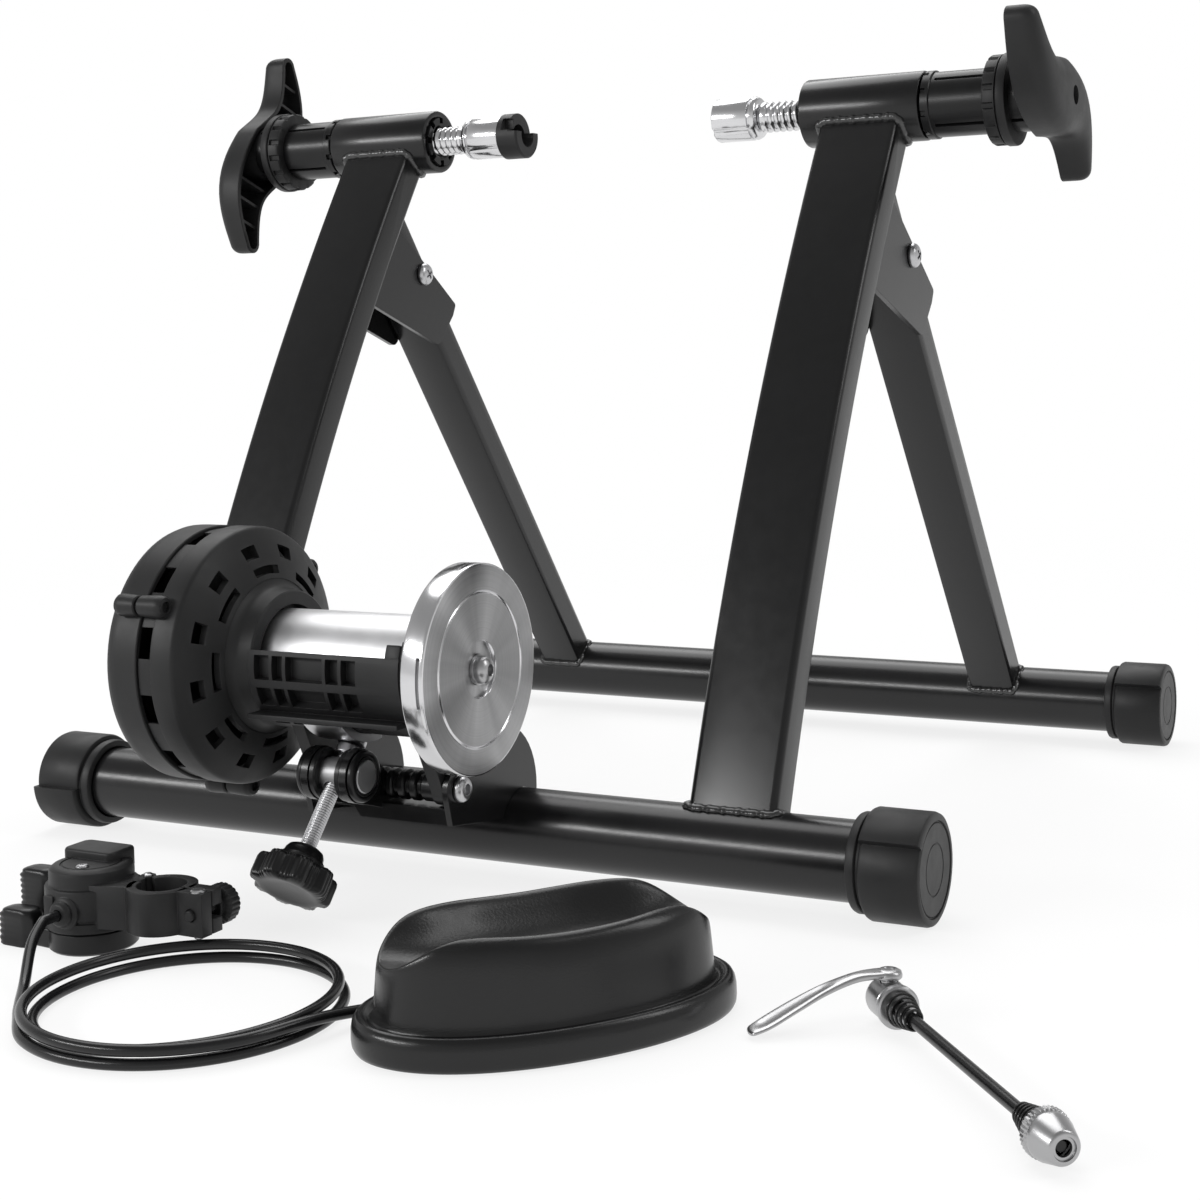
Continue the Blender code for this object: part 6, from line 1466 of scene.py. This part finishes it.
def tension_knob(parent):
    """The tension screw's star knob, with a fine ripple on its lobes."""
    def lobed(drop):
        def reach(angle):
            wave = math.tanh(2.4 * math.cos(math.radians(angle * KNOB_LOBES)))
            ripple = 0.2 * math.cos(math.radians(angle * KNOB_LOBES * 7))
            return KNOB_RADIUS - 1.5 + 1.3 * wave + ripple - drop
        return reach

    bore = SCREW_RADIUS + GAP
    rows = [
        (1.3, 0.8), (1.1, 7.0), (0.4, 12.0), (0.0, 13.8), (0.1, 15.4), (0.5, lobed(1.2)), (1.3, lobed(0.4)),
        (2.6, lobed(0.0)), (10.4, lobed(0.0)), (11.9, lobed(0.4)), (12.8, lobed(1.3)), (13.0, 14.6),
        (12.8, 12.2), (13.2, 11.6), (16.0, 11.4), (17.0, 10.9), (17.6, 10.0), (20.0, 9.5), (21.6, 8.6),
        (22.5, 7.0), (22.5, bore), (20.0, bore),
    ]
    knob = aligned(skin(rows, KNOB_LOBES * 42, start=-SCREW_DOWN), SCREW, SCREW_UP)
    part("tension_knob", knob, NYLON, parent, 50.0)


def upright_rod(radius, low, high, spot, steps=SMALL):
    """A vertical cylinder at a spot on the floor."""
    return rod(radius, low, high, steps, (*spot, 0.0), UP)


def bar_room(allowance=0.0):
    """The room for the handlebar in the shifter's clamp."""
    return upright_rod(BAR_RADIUS + allowance, JAW_LOW - 1.0, JAW_HIGH + 1.0, BAR_CENTRE, FINE)


def lever_body(parent):
    """The thumb shifter's ringed drum with its cap, fixed clamp jaw and the cable's nozzle."""
    top = DRUM_HIGH
    low = DRUM_LOW
    edge = DRUM_RADIUS
    drum = turned([
        (0.0, low),
        *offsets(edge, low, (-0.8, 0.0), (0.0, 0.8), (0.0, 4.6), (-0.8, 4.9), (-0.8, 5.9), (0.0, 6.2)),
        *offsets(
            edge, top, (0.0, -9.4), (-0.3, -8.6), (-1.6, -8.2), (-1.9, -7.0), (-1.9, -3.4), (-2.4, -1.4),
            (-3.8, -0.3), (-5.4, 0.0), (-7.0, 0.0), (-7.3, -0.5), (-8.0, -0.5), (-8.3, 0.0),
        ),
        (0.0, top),
    ], ROUND, axis=UP)
    outline = rounded([(-20.0, 2.0), (10.0, 2.0), (10.0, 20.0), (-20.0, 20.0)], 4.0, 8)
    cap = softened(prism(outline, top - 6.0, top + 4.0, "Z"), 1.5, 4)
    jaw = prism(arc(BAR_CENTRE, JAW_RADIUS, 181.0, 359.0, 40), JAW_LOW, JAW_HIGH, "Z")
    jaw = softened(cut(jaw, bar_room()), 0.7, 3)
    thumb_hole = rod(THUMB_ROD + RUN, -20.0, 20.0, SMALL, THUMB_SPOT, (0.0, 1.0, 0.0))
    lug = box((54.0, -7.0, JAW_LOW), (69.0, -GAP, JAW_HIGH))
    lug = softened(cut(lug, bar_room(2.0), thumb_hole), 0.8, 3)
    web = prism([
        (12.0, -15.0), (31.0, -10.5), (30.0, -0.28), (28.5, -0.28), (27.5, 4.5), (22.0, 8.0), (12.0, 12.0),
    ], JAW_LOW, JAW_HIGH, "Z")
    knuckle_room = upright_rod(KNUCKLE + GAP, HINGE_SPLIT - GAP, JAW_HIGH + 1.0, JAW_HINGE)
    web = softened(cut(web, bar_room(2.0), knuckle_room), 0.6)
    hinge = upright_rod(KNUCKLE, JAW_LOW, HINGE_SPLIT - GAP, JAW_HINGE)
    start = edge - 3.0
    bore = CABLE_RADIUS + 0.2
    gland = turned([
        *offsets(0.0, start, (7.6, 0.0), (7.6, 2.4), (6.6, 3.6), (5.6, 3.9), (5.6, 4.5), (6.0, 4.7)),
        *offsets(0.0, GLAND_END, (5.6, -1.2), (4.8, -0.3), (4.0, 0.0)), (bore, GLAND_END), (bore, start),
    ], SMALL, (GLAND_X, 0.0, CABLE_EXIT_Z), (0.0, -1.0, 0.0))
    panel = softened(box((-9.0, -edge - 0.7, low + 8.0), (-3.5, 4.0 - edge, top - 11.0)), 0.5)
    part("shifter_body", gather([drum, cap, jaw, lug, web, hinge, gland, panel]), PLASTIC, parent)
    high = JAW_HIGH
    for name, finish, spot, profile in (
        ("hinge_rivet", ZINC, JAW_HINGE, offsets(
            0.0, high, (0.0, 0.05), (2.4, 0.05), (2.3, 0.5), (1.6, 1.0), (0.0, 1.2)
        )),
        ("strap_pin", ALLOY, (64.6, -3.9), [
            *offsets(0.0, JAW_LOW, (0.0, -1.2), (1.8, -1.2), (2.2, -0.8)),
            *offsets(0.0, high, (2.2, 0.0), (3.3, 0.0), (3.3, 0.7), (2.6, 1.3), (0.0, 1.5)),
        ]),
        ("drum_screw", ZINC, (3.0, -9.0), offsets(
            0.0, top, (0.0, 0.0), (2.9, 0.0), (2.9, 0.5), (2.3, 1.1), (0.9, 1.3), (0.9, 0.5), (0.0, 0.5)
        )),
    ):
        dress(turned(profile, SMALL, (*spot, 0.0), UP), name, finish, "shifter_body", parent)


def bar_strap(parent):
    """The hinged half of the handlebar clamp."""
    knuckle = upright_rod(KNUCKLE, HINGE_SPLIT, JAW_HIGH, JAW_HINGE)
    band = prism(arc(BAR_CENTRE, JAW_RADIUS, 1.0, 148.0, 40) + [BAR_CENTRE], JAW_LOW, JAW_HIGH, "Z")
    knuckle_room = upright_rod(KNUCKLE + GAP, JAW_LOW - 1.0, HINGE_SPLIT, JAW_HINGE)
    band = softened(cut(band, bar_room(), knuckle_room), 0.7, 3)
    x, _, z = THUMB_SPOT
    half = THUMB_ROD + RUN
    slot = box((x - half - STRAP_SWING_ROOM, -1.0, z - half), (75.0, 20.0, z + half))
    lug = softened(cut(box((54.0, GAP, JAW_LOW), (69.0, 7.0, JAW_HIGH)), bar_room(2.0), slot), 0.8, 3)
    part("bar_strap", gather([band, lug, knuckle]), PLASTIC, parent)


def threaded(start, radius, depth, low, high):
    """Rows for a plain end and the fine ridges of a small screw up to a height."""
    rows = list(start)
    while low < high:
        rows += [(low, radius - depth), (low + 0.4, radius)]
        low += 0.8
    return rows


def thumb_screw(parent):
    """The screw with a knurled thumb head that closes the handlebar clamp."""
    head = JAW_HALF_GAP + 7.0 + GAP

    def knurled(drop):
        def reach(angle):
            return THUMB_HEAD - drop - 0.45 * (0.5 - 0.5 * math.cos(math.radians(angle * 22.0))) ** 2
        return reach

    start = [(-THUMB_REACH, THUMB_ROD - 0.5), (0.5 - THUMB_REACH, THUMB_ROD)]
    rows = threaded(start, THUMB_ROD, 0.35, 0.9 - THUMB_REACH, head - 1.0)
    for along, radius in (
        (0.0, THUMB_ROD), (0.0, 5.0), (0.4, 5.5), (2.0, 5.5), (2.2, 6.0), (2.4, knurled(1.0)),
        (3.2, knurled(0.0)), (8.8, knurled(0.0)), (9.8, knurled(0.6)), (10.6, knurled(1.8)), (11.0, 5.6),
        (10.4, 5.0), (10.2, 0.8),
    ):
        rows.append((head + along, radius))
    part("thumb_screw", aligned(skin(rows, 176), THUMB_SPOT, (0.0, 1.0, 0.0)), PLASTIC, parent)


def paddle(x, y, high):
    """A ribbed thumb paddle that stands on the floor, with one outer flank hollowed."""
    outline = rounded(PADDLE_CORNERS, 5.4, 8)
    rings = []
    count = int(high / 0.45)
    for i in range(count + 1):
        z = high * i / count
        below = min(z / 1.2, 1.0)
        above = min((high - z) / 4.6, 1.0)
        shrink = 0.92 + 0.08 * math.sqrt(below)
        shrink *= 0.5 + 0.5 * math.sqrt(1.0 - (1.0 - above) ** 2)
        wave = 0.5 * math.cos(2.0 * math.pi * z / 2.7) * min(above * 3.0, 1.0) * below
        dish = 1.6 * math.sin(math.pi * z / high)
        rings.append([
            (x + a * shrink - between(-a, 4.0, 10.0) * wave, y + b * shrink + between(-b, 3.0, 6.0) * dish, z)
            for a, b in outline
        ])
    room = upright_rod(DRUM_RADIUS + 0.6, DRUM_LOW - 0.2, 60.0, (0.0, 0.0), FINE)
    return cut(loft(rings), room)


def thumb_lever(parent):
    """The shifter's lever: a ring under the drum with two ribbed thumb paddles."""
    top = DRUM_LOW - GAP
    edge = DRUM_RADIUS
    ring = turned([
        (0.0, 0.0), (edge - 2.0, 0.0), (edge - 1.0, 1.0), *offsets(edge, top, (-1.0, -0.6), (-1.6, 0.0)),
        (0.0, top),
    ], ROUND, axis=UP)
    arm = prism([(-28.0, -14.0), (-8.0, -16.0), (-8.0, 16.0), (-28.0, 10.0)], 0.4, top, "Z")
    shapes = [ring, *[paddle(*row) for row in PADDLES], softened(arm, 1.2, 3)]
    part("thumb_lever", gather(shapes), NYLON, parent)


def spline(values, at):
    """A smooth curve's value at a place along its stations, which are numbers or vectors."""
    i = min(int(at), len(values) - 2)
    t = at - i
    p0, p1, p2, p3 = values[max(i - 1, 0)], values[i], values[i + 1], values[min(i + 2, len(values) - 1)]
    return 0.5 * (
        2.0 * p1 + (p2 - p0) * t + (2.0 * p0 - 5.0 * p1 + 4.0 * p2 - p3) * t * t
        + (3.0 * p1 - p0 - 3.0 * p2 + p3) * t ** 3
    )


def length_of(points):
    """The length of a line of points."""
    return sum((b - a).length for a, b in zip(points, points[1:]))


def evenly(points, count):
    """Even stations along a line of points: the distance, the place and the direction of each."""
    lengths = [0.0]
    for a, b in zip(points, points[1:]):
        lengths.append(lengths[-1] + (b - a).length)
    stations = []
    index = 0
    for k in range(count + 1):
        target = lengths[-1] * k / count
        while index < len(lengths) - 2 and lengths[index + 1] < target:
            index += 1
        run = points[index + 1] - points[index]
        share = (target - lengths[index]) / max(run.length, 1e-6)
        stations.append((target, points[index] + run * share, run.normalized()))
    return stations


def cable_route(start):
    """The shifter cable's own points: out of its gland, down to the floor and round the piled loops."""
    points = [start + Vector((0.0, -8.0, 0.0)), *map(Vector, CABLE_LEAD)]
    half = CABLE_TURNS / 2.0
    per_turn = 16
    for i in range(round(CABLE_TURNS * per_turn) + 1):
        turns = i / per_turn
        radius = CABLE_LOOP - CABLE_DRAW * min(turns, 2.0 * half - turns)
        share = between(turns, half - CABLE_CLIMB / 2.0, half + CABLE_CLIMB / 2.0)
        height = CABLE_RADIUS + CABLE_LAYER * share * share * (3.0 - 2.0 * share)
        spot = (*polar(radius, CABLE_START + 360.0 * turns), height)
        points.append(Vector(CABLE_CENTRE) + Vector(spot))
    return points + [*map(Vector, CABLE_TAIL)]


def tube_object(name, points, radius, resolution, finish, group):
    """A round tube along a list of points, as a curve with filled ends, which stands for its node."""
    curve = bpy.data.curves.new(name + "_look", "CURVE")
    curve.dimensions = "3D"
    curve.bevel_depth = radius * MM
    curve.bevel_resolution = resolution
    curve.use_fill_caps = True
    line = curve.splines.new("POLY")
    line.points.add(len(points) - 1)
    for target, point in zip(line.points, points):
        target.co = (*(group @ (point * MM)), 1.0)
    line.use_smooth = True
    curve.materials.append(finish_material(finish))
    item = link(bpy.data.objects.new(name + "_look", curve))
    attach(item, frame["nodes"][name]["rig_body"])
    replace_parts(item, name)
    return item


def shifter_cable(group):
    """The shifter's cable: straight out of the gland, down to the floor and round its loops."""
    start = Vector((GLAND_X, -GLAND_END - GAP, CABLE_EXIT_Z))
    route = cable_route(start)
    dense = [spline(route, k / 24.0) for k in range(24 * (len(route) - 1))] + [route[-1]]
    count = max(2, round(length_of(dense) / CABLE_SPACING))
    points = [start] + [spot for _, spot, _ in evenly(dense, count)]
    cable = tube_object("shifter_cable", points, CABLE_RADIUS, 6, "cable_sheath", group)


def soft_least(a, b, width):
    """The lesser of two heights, with a rounded change from one to the other."""
    mix = between(b - a, -width, width)
    return b + (a - b) * mix - width * mix * (1.0 - mix)


def block_surface(x, y, z):
    """A height on the block, lowered to the trough and dipped between the two crests."""
    narrow = 1.0 + 0.22 * math.exp(-(((abs(x) - 46.0) / 17.0) ** 2))
    drop = 22.0 * (abs(y) * narrow / 29.0) ** 2.3
    reach = max(WHEEL_RADIUS - drop, abs(x) + 1.0)
    trough = WHEEL_RADIUS + BLOCK_TROUGH_FLOOR - math.sqrt(reach * reach - x * x)
    low = between(z, 30.0, 44.0)
    dip = 1.6 * math.exp(-((x / 26.0) ** 2)) * low * low * (3.0 - 2.0 * low)
    return soft_least(z - dip, trough, 6.5)


def wheel_block(parent):
    """The front wheel block: an oval base with a lip, steep sides and a curved trough between two crests."""
    rows = list(BLOCK_BASE)
    inset, foot = BLOCK_SIDE_FOOT
    for i in range(BLOCK_SIDE_ROWS + 1):
        share = i / BLOCK_SIDE_ROWS
        c, s = polar(1.0, 90.0 * share)
        drawn_in = inset + BLOCK_LEAN * share ** 0.9 + BLOCK_SHOULDER * (1.0 - c) ** 3.0
        rows.append((drawn_in, foot + (BLOCK_HEIGHT - foot) * s ** 1.08))
    last = rows[-1][0]
    for i in range(1, BLOCK_TOP_ROWS + 1):
        rows.append((last + (BLOCK_TOP_INSET - last) * (i / BLOCK_TOP_ROWS) ** 0.9, BLOCK_HEIGHT))
    rings = []
    for index, (inset, height) in enumerate(rows):
        power = 2.1 + 0.3 * between(index, 11, 61)
        length = BLOCK_LENGTH - inset * (1.0 if inset < 50.0 else 1.0 + (inset - 50.0) / 66.0)
        width = BLOCK_WIDTH - inset
        ring = []
        for c, s in circle(1.0, 240):
            x = length / 2.0 * math.copysign(abs(c) ** (2.0 / power), c)
            y = width / 2.0 * math.copysign(abs(s) ** (2.0 / power), s)
            ring.append((x, y, block_surface(x, y, height) if index >= len(BLOCK_BASE) else height))
        rings.append(ring)
    block = part("wheel_block", loft(rings), "block_plastic", parent, 60.0)
    block.data.materials.append(finish_material("grained_plastic"))
    back = parent.inverted()
    for polygon in block.data.polygons:
        spot = back @ polygon.center
        if polygon.normal[2] > 0.5 and spot[2] > GRAIN_HEIGHT * MM and abs(spot[1]) < GRAIN_HALF * MM:
            polygon.material_index = 1


def spring_points(start, end, radius_start, radius_end):
    """A conical spring along X."""
    points = []
    per_turn = 28
    total = SPRING_TURNS * per_turn
    for i in range(total + 1):
        share = i / total
        radius = radius_start + (radius_end - radius_start) * share
        spot = polar(radius, 360.0 * i / per_turn, (0.0, SKEWER_HEIGHT))
        points.append(Vector((start + (end - start) * share, *spot)))
    return points


def skewer(parent):
    """The rear axle skewer: cam head and lever, rod, two conical springs and the cone nut."""
    half = SKEWER_HALF
    end = half + 13.0
    start = [(-half - 3.0, SKEWER_RADIUS), (half - 14.0, SKEWER_RADIUS)]
    rows = threaded(start, SKEWER_RADIUS, 0.3, half - 13.6, end - 0.8)
    rows += [(end - 0.3, SKEWER_RADIUS - 0.2), (end, SKEWER_RADIUS - 0.6)]
    part("skewer_rod", skin(rows, SMALL, SKEWER), STEEL, parent)
    bore = SKEWER_RADIUS + GAP
    head = turned([
        (bore, -4.0), (bore, -0.6), (bore + 0.6, 0.0), (7.9, 0.0), (8.6, -0.5), (8.6, -2.6), (8.3, -3.0),
        (7.7, -3.3), (7.7, -4.2), (8.0, -4.6), (8.0, -15.0), (7.7, -16.4), (6.9, -17.4), (5.6, -18.0),
        (0.0, -18.0), (0.0, -3.0 - GAP), (bore, -3.0 - GAP),
    ], ROUND, SKEWER, start=-half)
    slot = rod(LEVER_PIN + RUN, -7.4 - GAP, 20.0, SMALL, (-half - PIN_BACK, 0.0, SKEWER_HEIGHT), UP)
    part("skewer_head", cut(head, slot), ALLOY, parent)
    lever(parent, -half - PIN_BACK)

    def knurled(radius):
        def reach(angle):
            return radius - 0.35 * (0.5 - 0.5 * math.cos(math.radians(angle * 36.0)))
        return reach

    rows = [
        (8.0, bore), (0.0, bore), (0.0, 6.6), (0.3, knurled(8.4)), (0.8, knurled(9.0)), (3.4, knurled(9.0)),
        (3.9, knurled(8.5)), (4.1, 7.9), (4.6, 7.9), (4.9, 8.4), (6.4, 8.4), (7.0, 8.2), (14.6, 6.1),
        (15.3, 5.6), (15.6, 5.0), (15.6, 4.2), (14.8, 3.9), (14.8, bore + 0.2), (14.0, bore),
    ]
    part("skewer_nut", skin(rows, 216, SKEWER, "open", start=half), ALLOY, parent)
    small = SKEWER_RADIUS + SPRING_WIRE + GAP
    for name, points in (
        ("head_spring", spring_points(1.4 - half, 16.0 - half, 6.6, small)),
        ("nut_spring", spring_points(half - 16.0, half - 1.4, small, 6.6)),
    ):
        tube_object(name, points, SPRING_WIRE, 3, STEEL, parent)


def lever(parent, pin_x):
    """The skewer's cam lever: an upright cam pin, a round eye and an arm that droops to the floor."""
    centre = (pin_x, 0.0, SKEWER_HEIGHT)
    pin = rod(LEVER_PIN, -7.4, 9.4, SMALL, centre, UP)
    eye = turned([
        (0.0, 8.7), (4.6, 8.7), (5.3, 9.3), (5.4, 10.4), (5.0, 11.6), (3.8, 12.3), (2.3, 12.5), (2.0, 12.1),
        (0.0, 12.1),
    ], SMALL, centre, UP)
    stations = [Vector(row) for row in LEVER_STATIONS]
    last = len(stations) - 1
    rings = []
    for k in range(65):
        at = last * k / 64
        y, x, z, width, thick = spline(stations, at)
        close = min(at / 0.25, (last - at) / 0.35, 1.0)
        round_off = math.sqrt(max(1.0 - (1.0 - close) ** 2, 0.0004))
        width *= round_off
        thick *= 0.35 + 0.65 * round_off
        grip = between(at, 2.6, 3.1) * between(-at, -5.6, -5.1)
        ring = []
        for c, s in circle(1.0, 28):
            across = math.copysign(abs(c) ** 0.75, c)
            high = math.copysign(abs(s) ** 0.75, s)
            hollow = 0.7 * grip * math.exp(-((across / 0.5) ** 4)) if s > 0.0 else 0.0
            ring.append((
                pin_x + x + width / 2.0 * across, y, SKEWER_HEIGHT + z + thick / 2.0 * high - hollow
            ))
        rings.append(ring)
    part("skewer_lever", gather([pin, eye, loft(rings)]), ALLOY, parent, 50.0)


def weld(name, node, section, on_outline, centre, tube, size, pitch, parent):
    """A weld bead with the ripples of its pools, where a swept outline meets a round tube."""
    seam = []
    for a, b in section:
        low, high = 0.0, 1.0
        for _ in range(30):
            middle = (low + high) / 2.0
            _, y, z = on_outline(a, b, middle)
            if math.hypot(y - centre[0], z - centre[1]) < tube + 0.4:
                low = middle
            else:
                high = middle
        seam.append(Vector(on_outline(a, b, (low + high) / 2.0)))
    seam.append(seam[0])
    rings = []
    for along, spot, run in evenly(seam, max(12, int(length_of(seam) / (pitch / 5.0))))[:-1]:
        out = Vector((0.0, spot[1] - centre[0], spot[2] - centre[1])).normalized()
        across = run.cross(out).normalized()
        reach = size * (0.82 + 0.3 * (along / pitch % 1.0) ** 0.6 + 0.1 * math.sin(along * 0.9))
        rings.append([spot + across * c + out * s * 0.75 for c, s in circle(reach, 8)])
    dress(loft(rings, "loop"), name, "weld_steel", node, parent, 60.0)


def frame_welds(side, parent):
    """The weld beads at both ends of an upright and at the foot of a rear leg."""
    node = side + "_upright"
    section = rectangle(UPRIGHT_WIDTH + 1.2, UPRIGHT_DEPTH + 1.2, UPRIGHT_CORNER, 4)
    weld(
        node + "_foot_weld", node, section, lambda a, b, share: on_upright(side, a, b, share),
        (0.0, BASE_Z), TUBE_RADIUS, 2.6, 4.0, parent,
    )
    weld(
        node + "_head_weld", node, section, lambda a, b, share: on_upright(side, a, b, 1.0 - share),
        (CLAMP_Y, CLAMP_Z), HOUSING_RADIUS, 2.6, 4.0, parent,
    )
    weld(
        side + "_leg_weld", side + "_rear_leg", rectangle(LEG_WIDTH + 1.0, LEG_DEPTH + 1.0, LEG_CORNER, 4),
        lambda a, b, share: on_leg(side, a, b, 200.0 * share),
        (BASE_SPACING, BASE_Z), TUBE_RADIUS, 2.2, 3.6, parent,
    )


def place(spot, degrees=0.0, parent=Matrix()):
    """Where one group of pieces stands."""
    return parent @ Matrix.Translation(Vector(spot) * MM) @ turn(degrees, "Z")


def build():
    """The whole trainer and the loose pieces that lie in front of it."""
    trainer = place(TRAINER_SPOT)
    shifter = place(SHIFTER_SPOT, 0.0, trainer)
    shifter_cable(shifter)
    base_tube("front_base_tube", FRONT_SPAN, 0.0, trainer)
    base_tube("rear_base_tube", REAR_SPAN, BASE_SPACING, trainer)
    for side in SIGN:
        frame_welds(side, trainer)
    for side in SIGN:
        foot_cap("front_" + side + "_foot", side, FRONT_SPAN, 0.0, trainer)
        foot_cap("rear_" + side + "_foot", side, REAR_SPAN, BASE_SPACING, trainer)
        for make in (
            upright, rear_leg, hinge_bracket, hinge_bolt, clamp_housing, clamp_bushing, clamp_spindle,
            clamp_tip, clamp_sleeve, lock_ring, clamp_handle,
        ):
            make(side, trainer)
    for make in (tip_insert, unit_bracket, unit_pivot_bolt):
        make(trainer)
    for index, side in enumerate(SIGN):
        yoke_bushing(index, side + "_yoke_bushing", trainer)
    for make in (roller_carrier, outer_shell, magnet_plate, tension_pad, rotor):
        make(trainer)
    rotor_bearing("left_bearing", BEARING_LEFT_X, trainer)
    rotor_bearing("right_bearing", BEARING_RIGHT_X, trainer)
    for make in (tension_screw, tension_knob):
        make(trainer)
    for make in (lever_body, thumb_lever, bar_strap, thumb_screw):
        make(shifter)
    wheel_block(place(BLOCK_SPOT, BLOCK_TURN, trainer))
    skewer(place(SKEWER_SPOT, SKEWER_TURN, trainer))


photo_camera()
studio()
build()
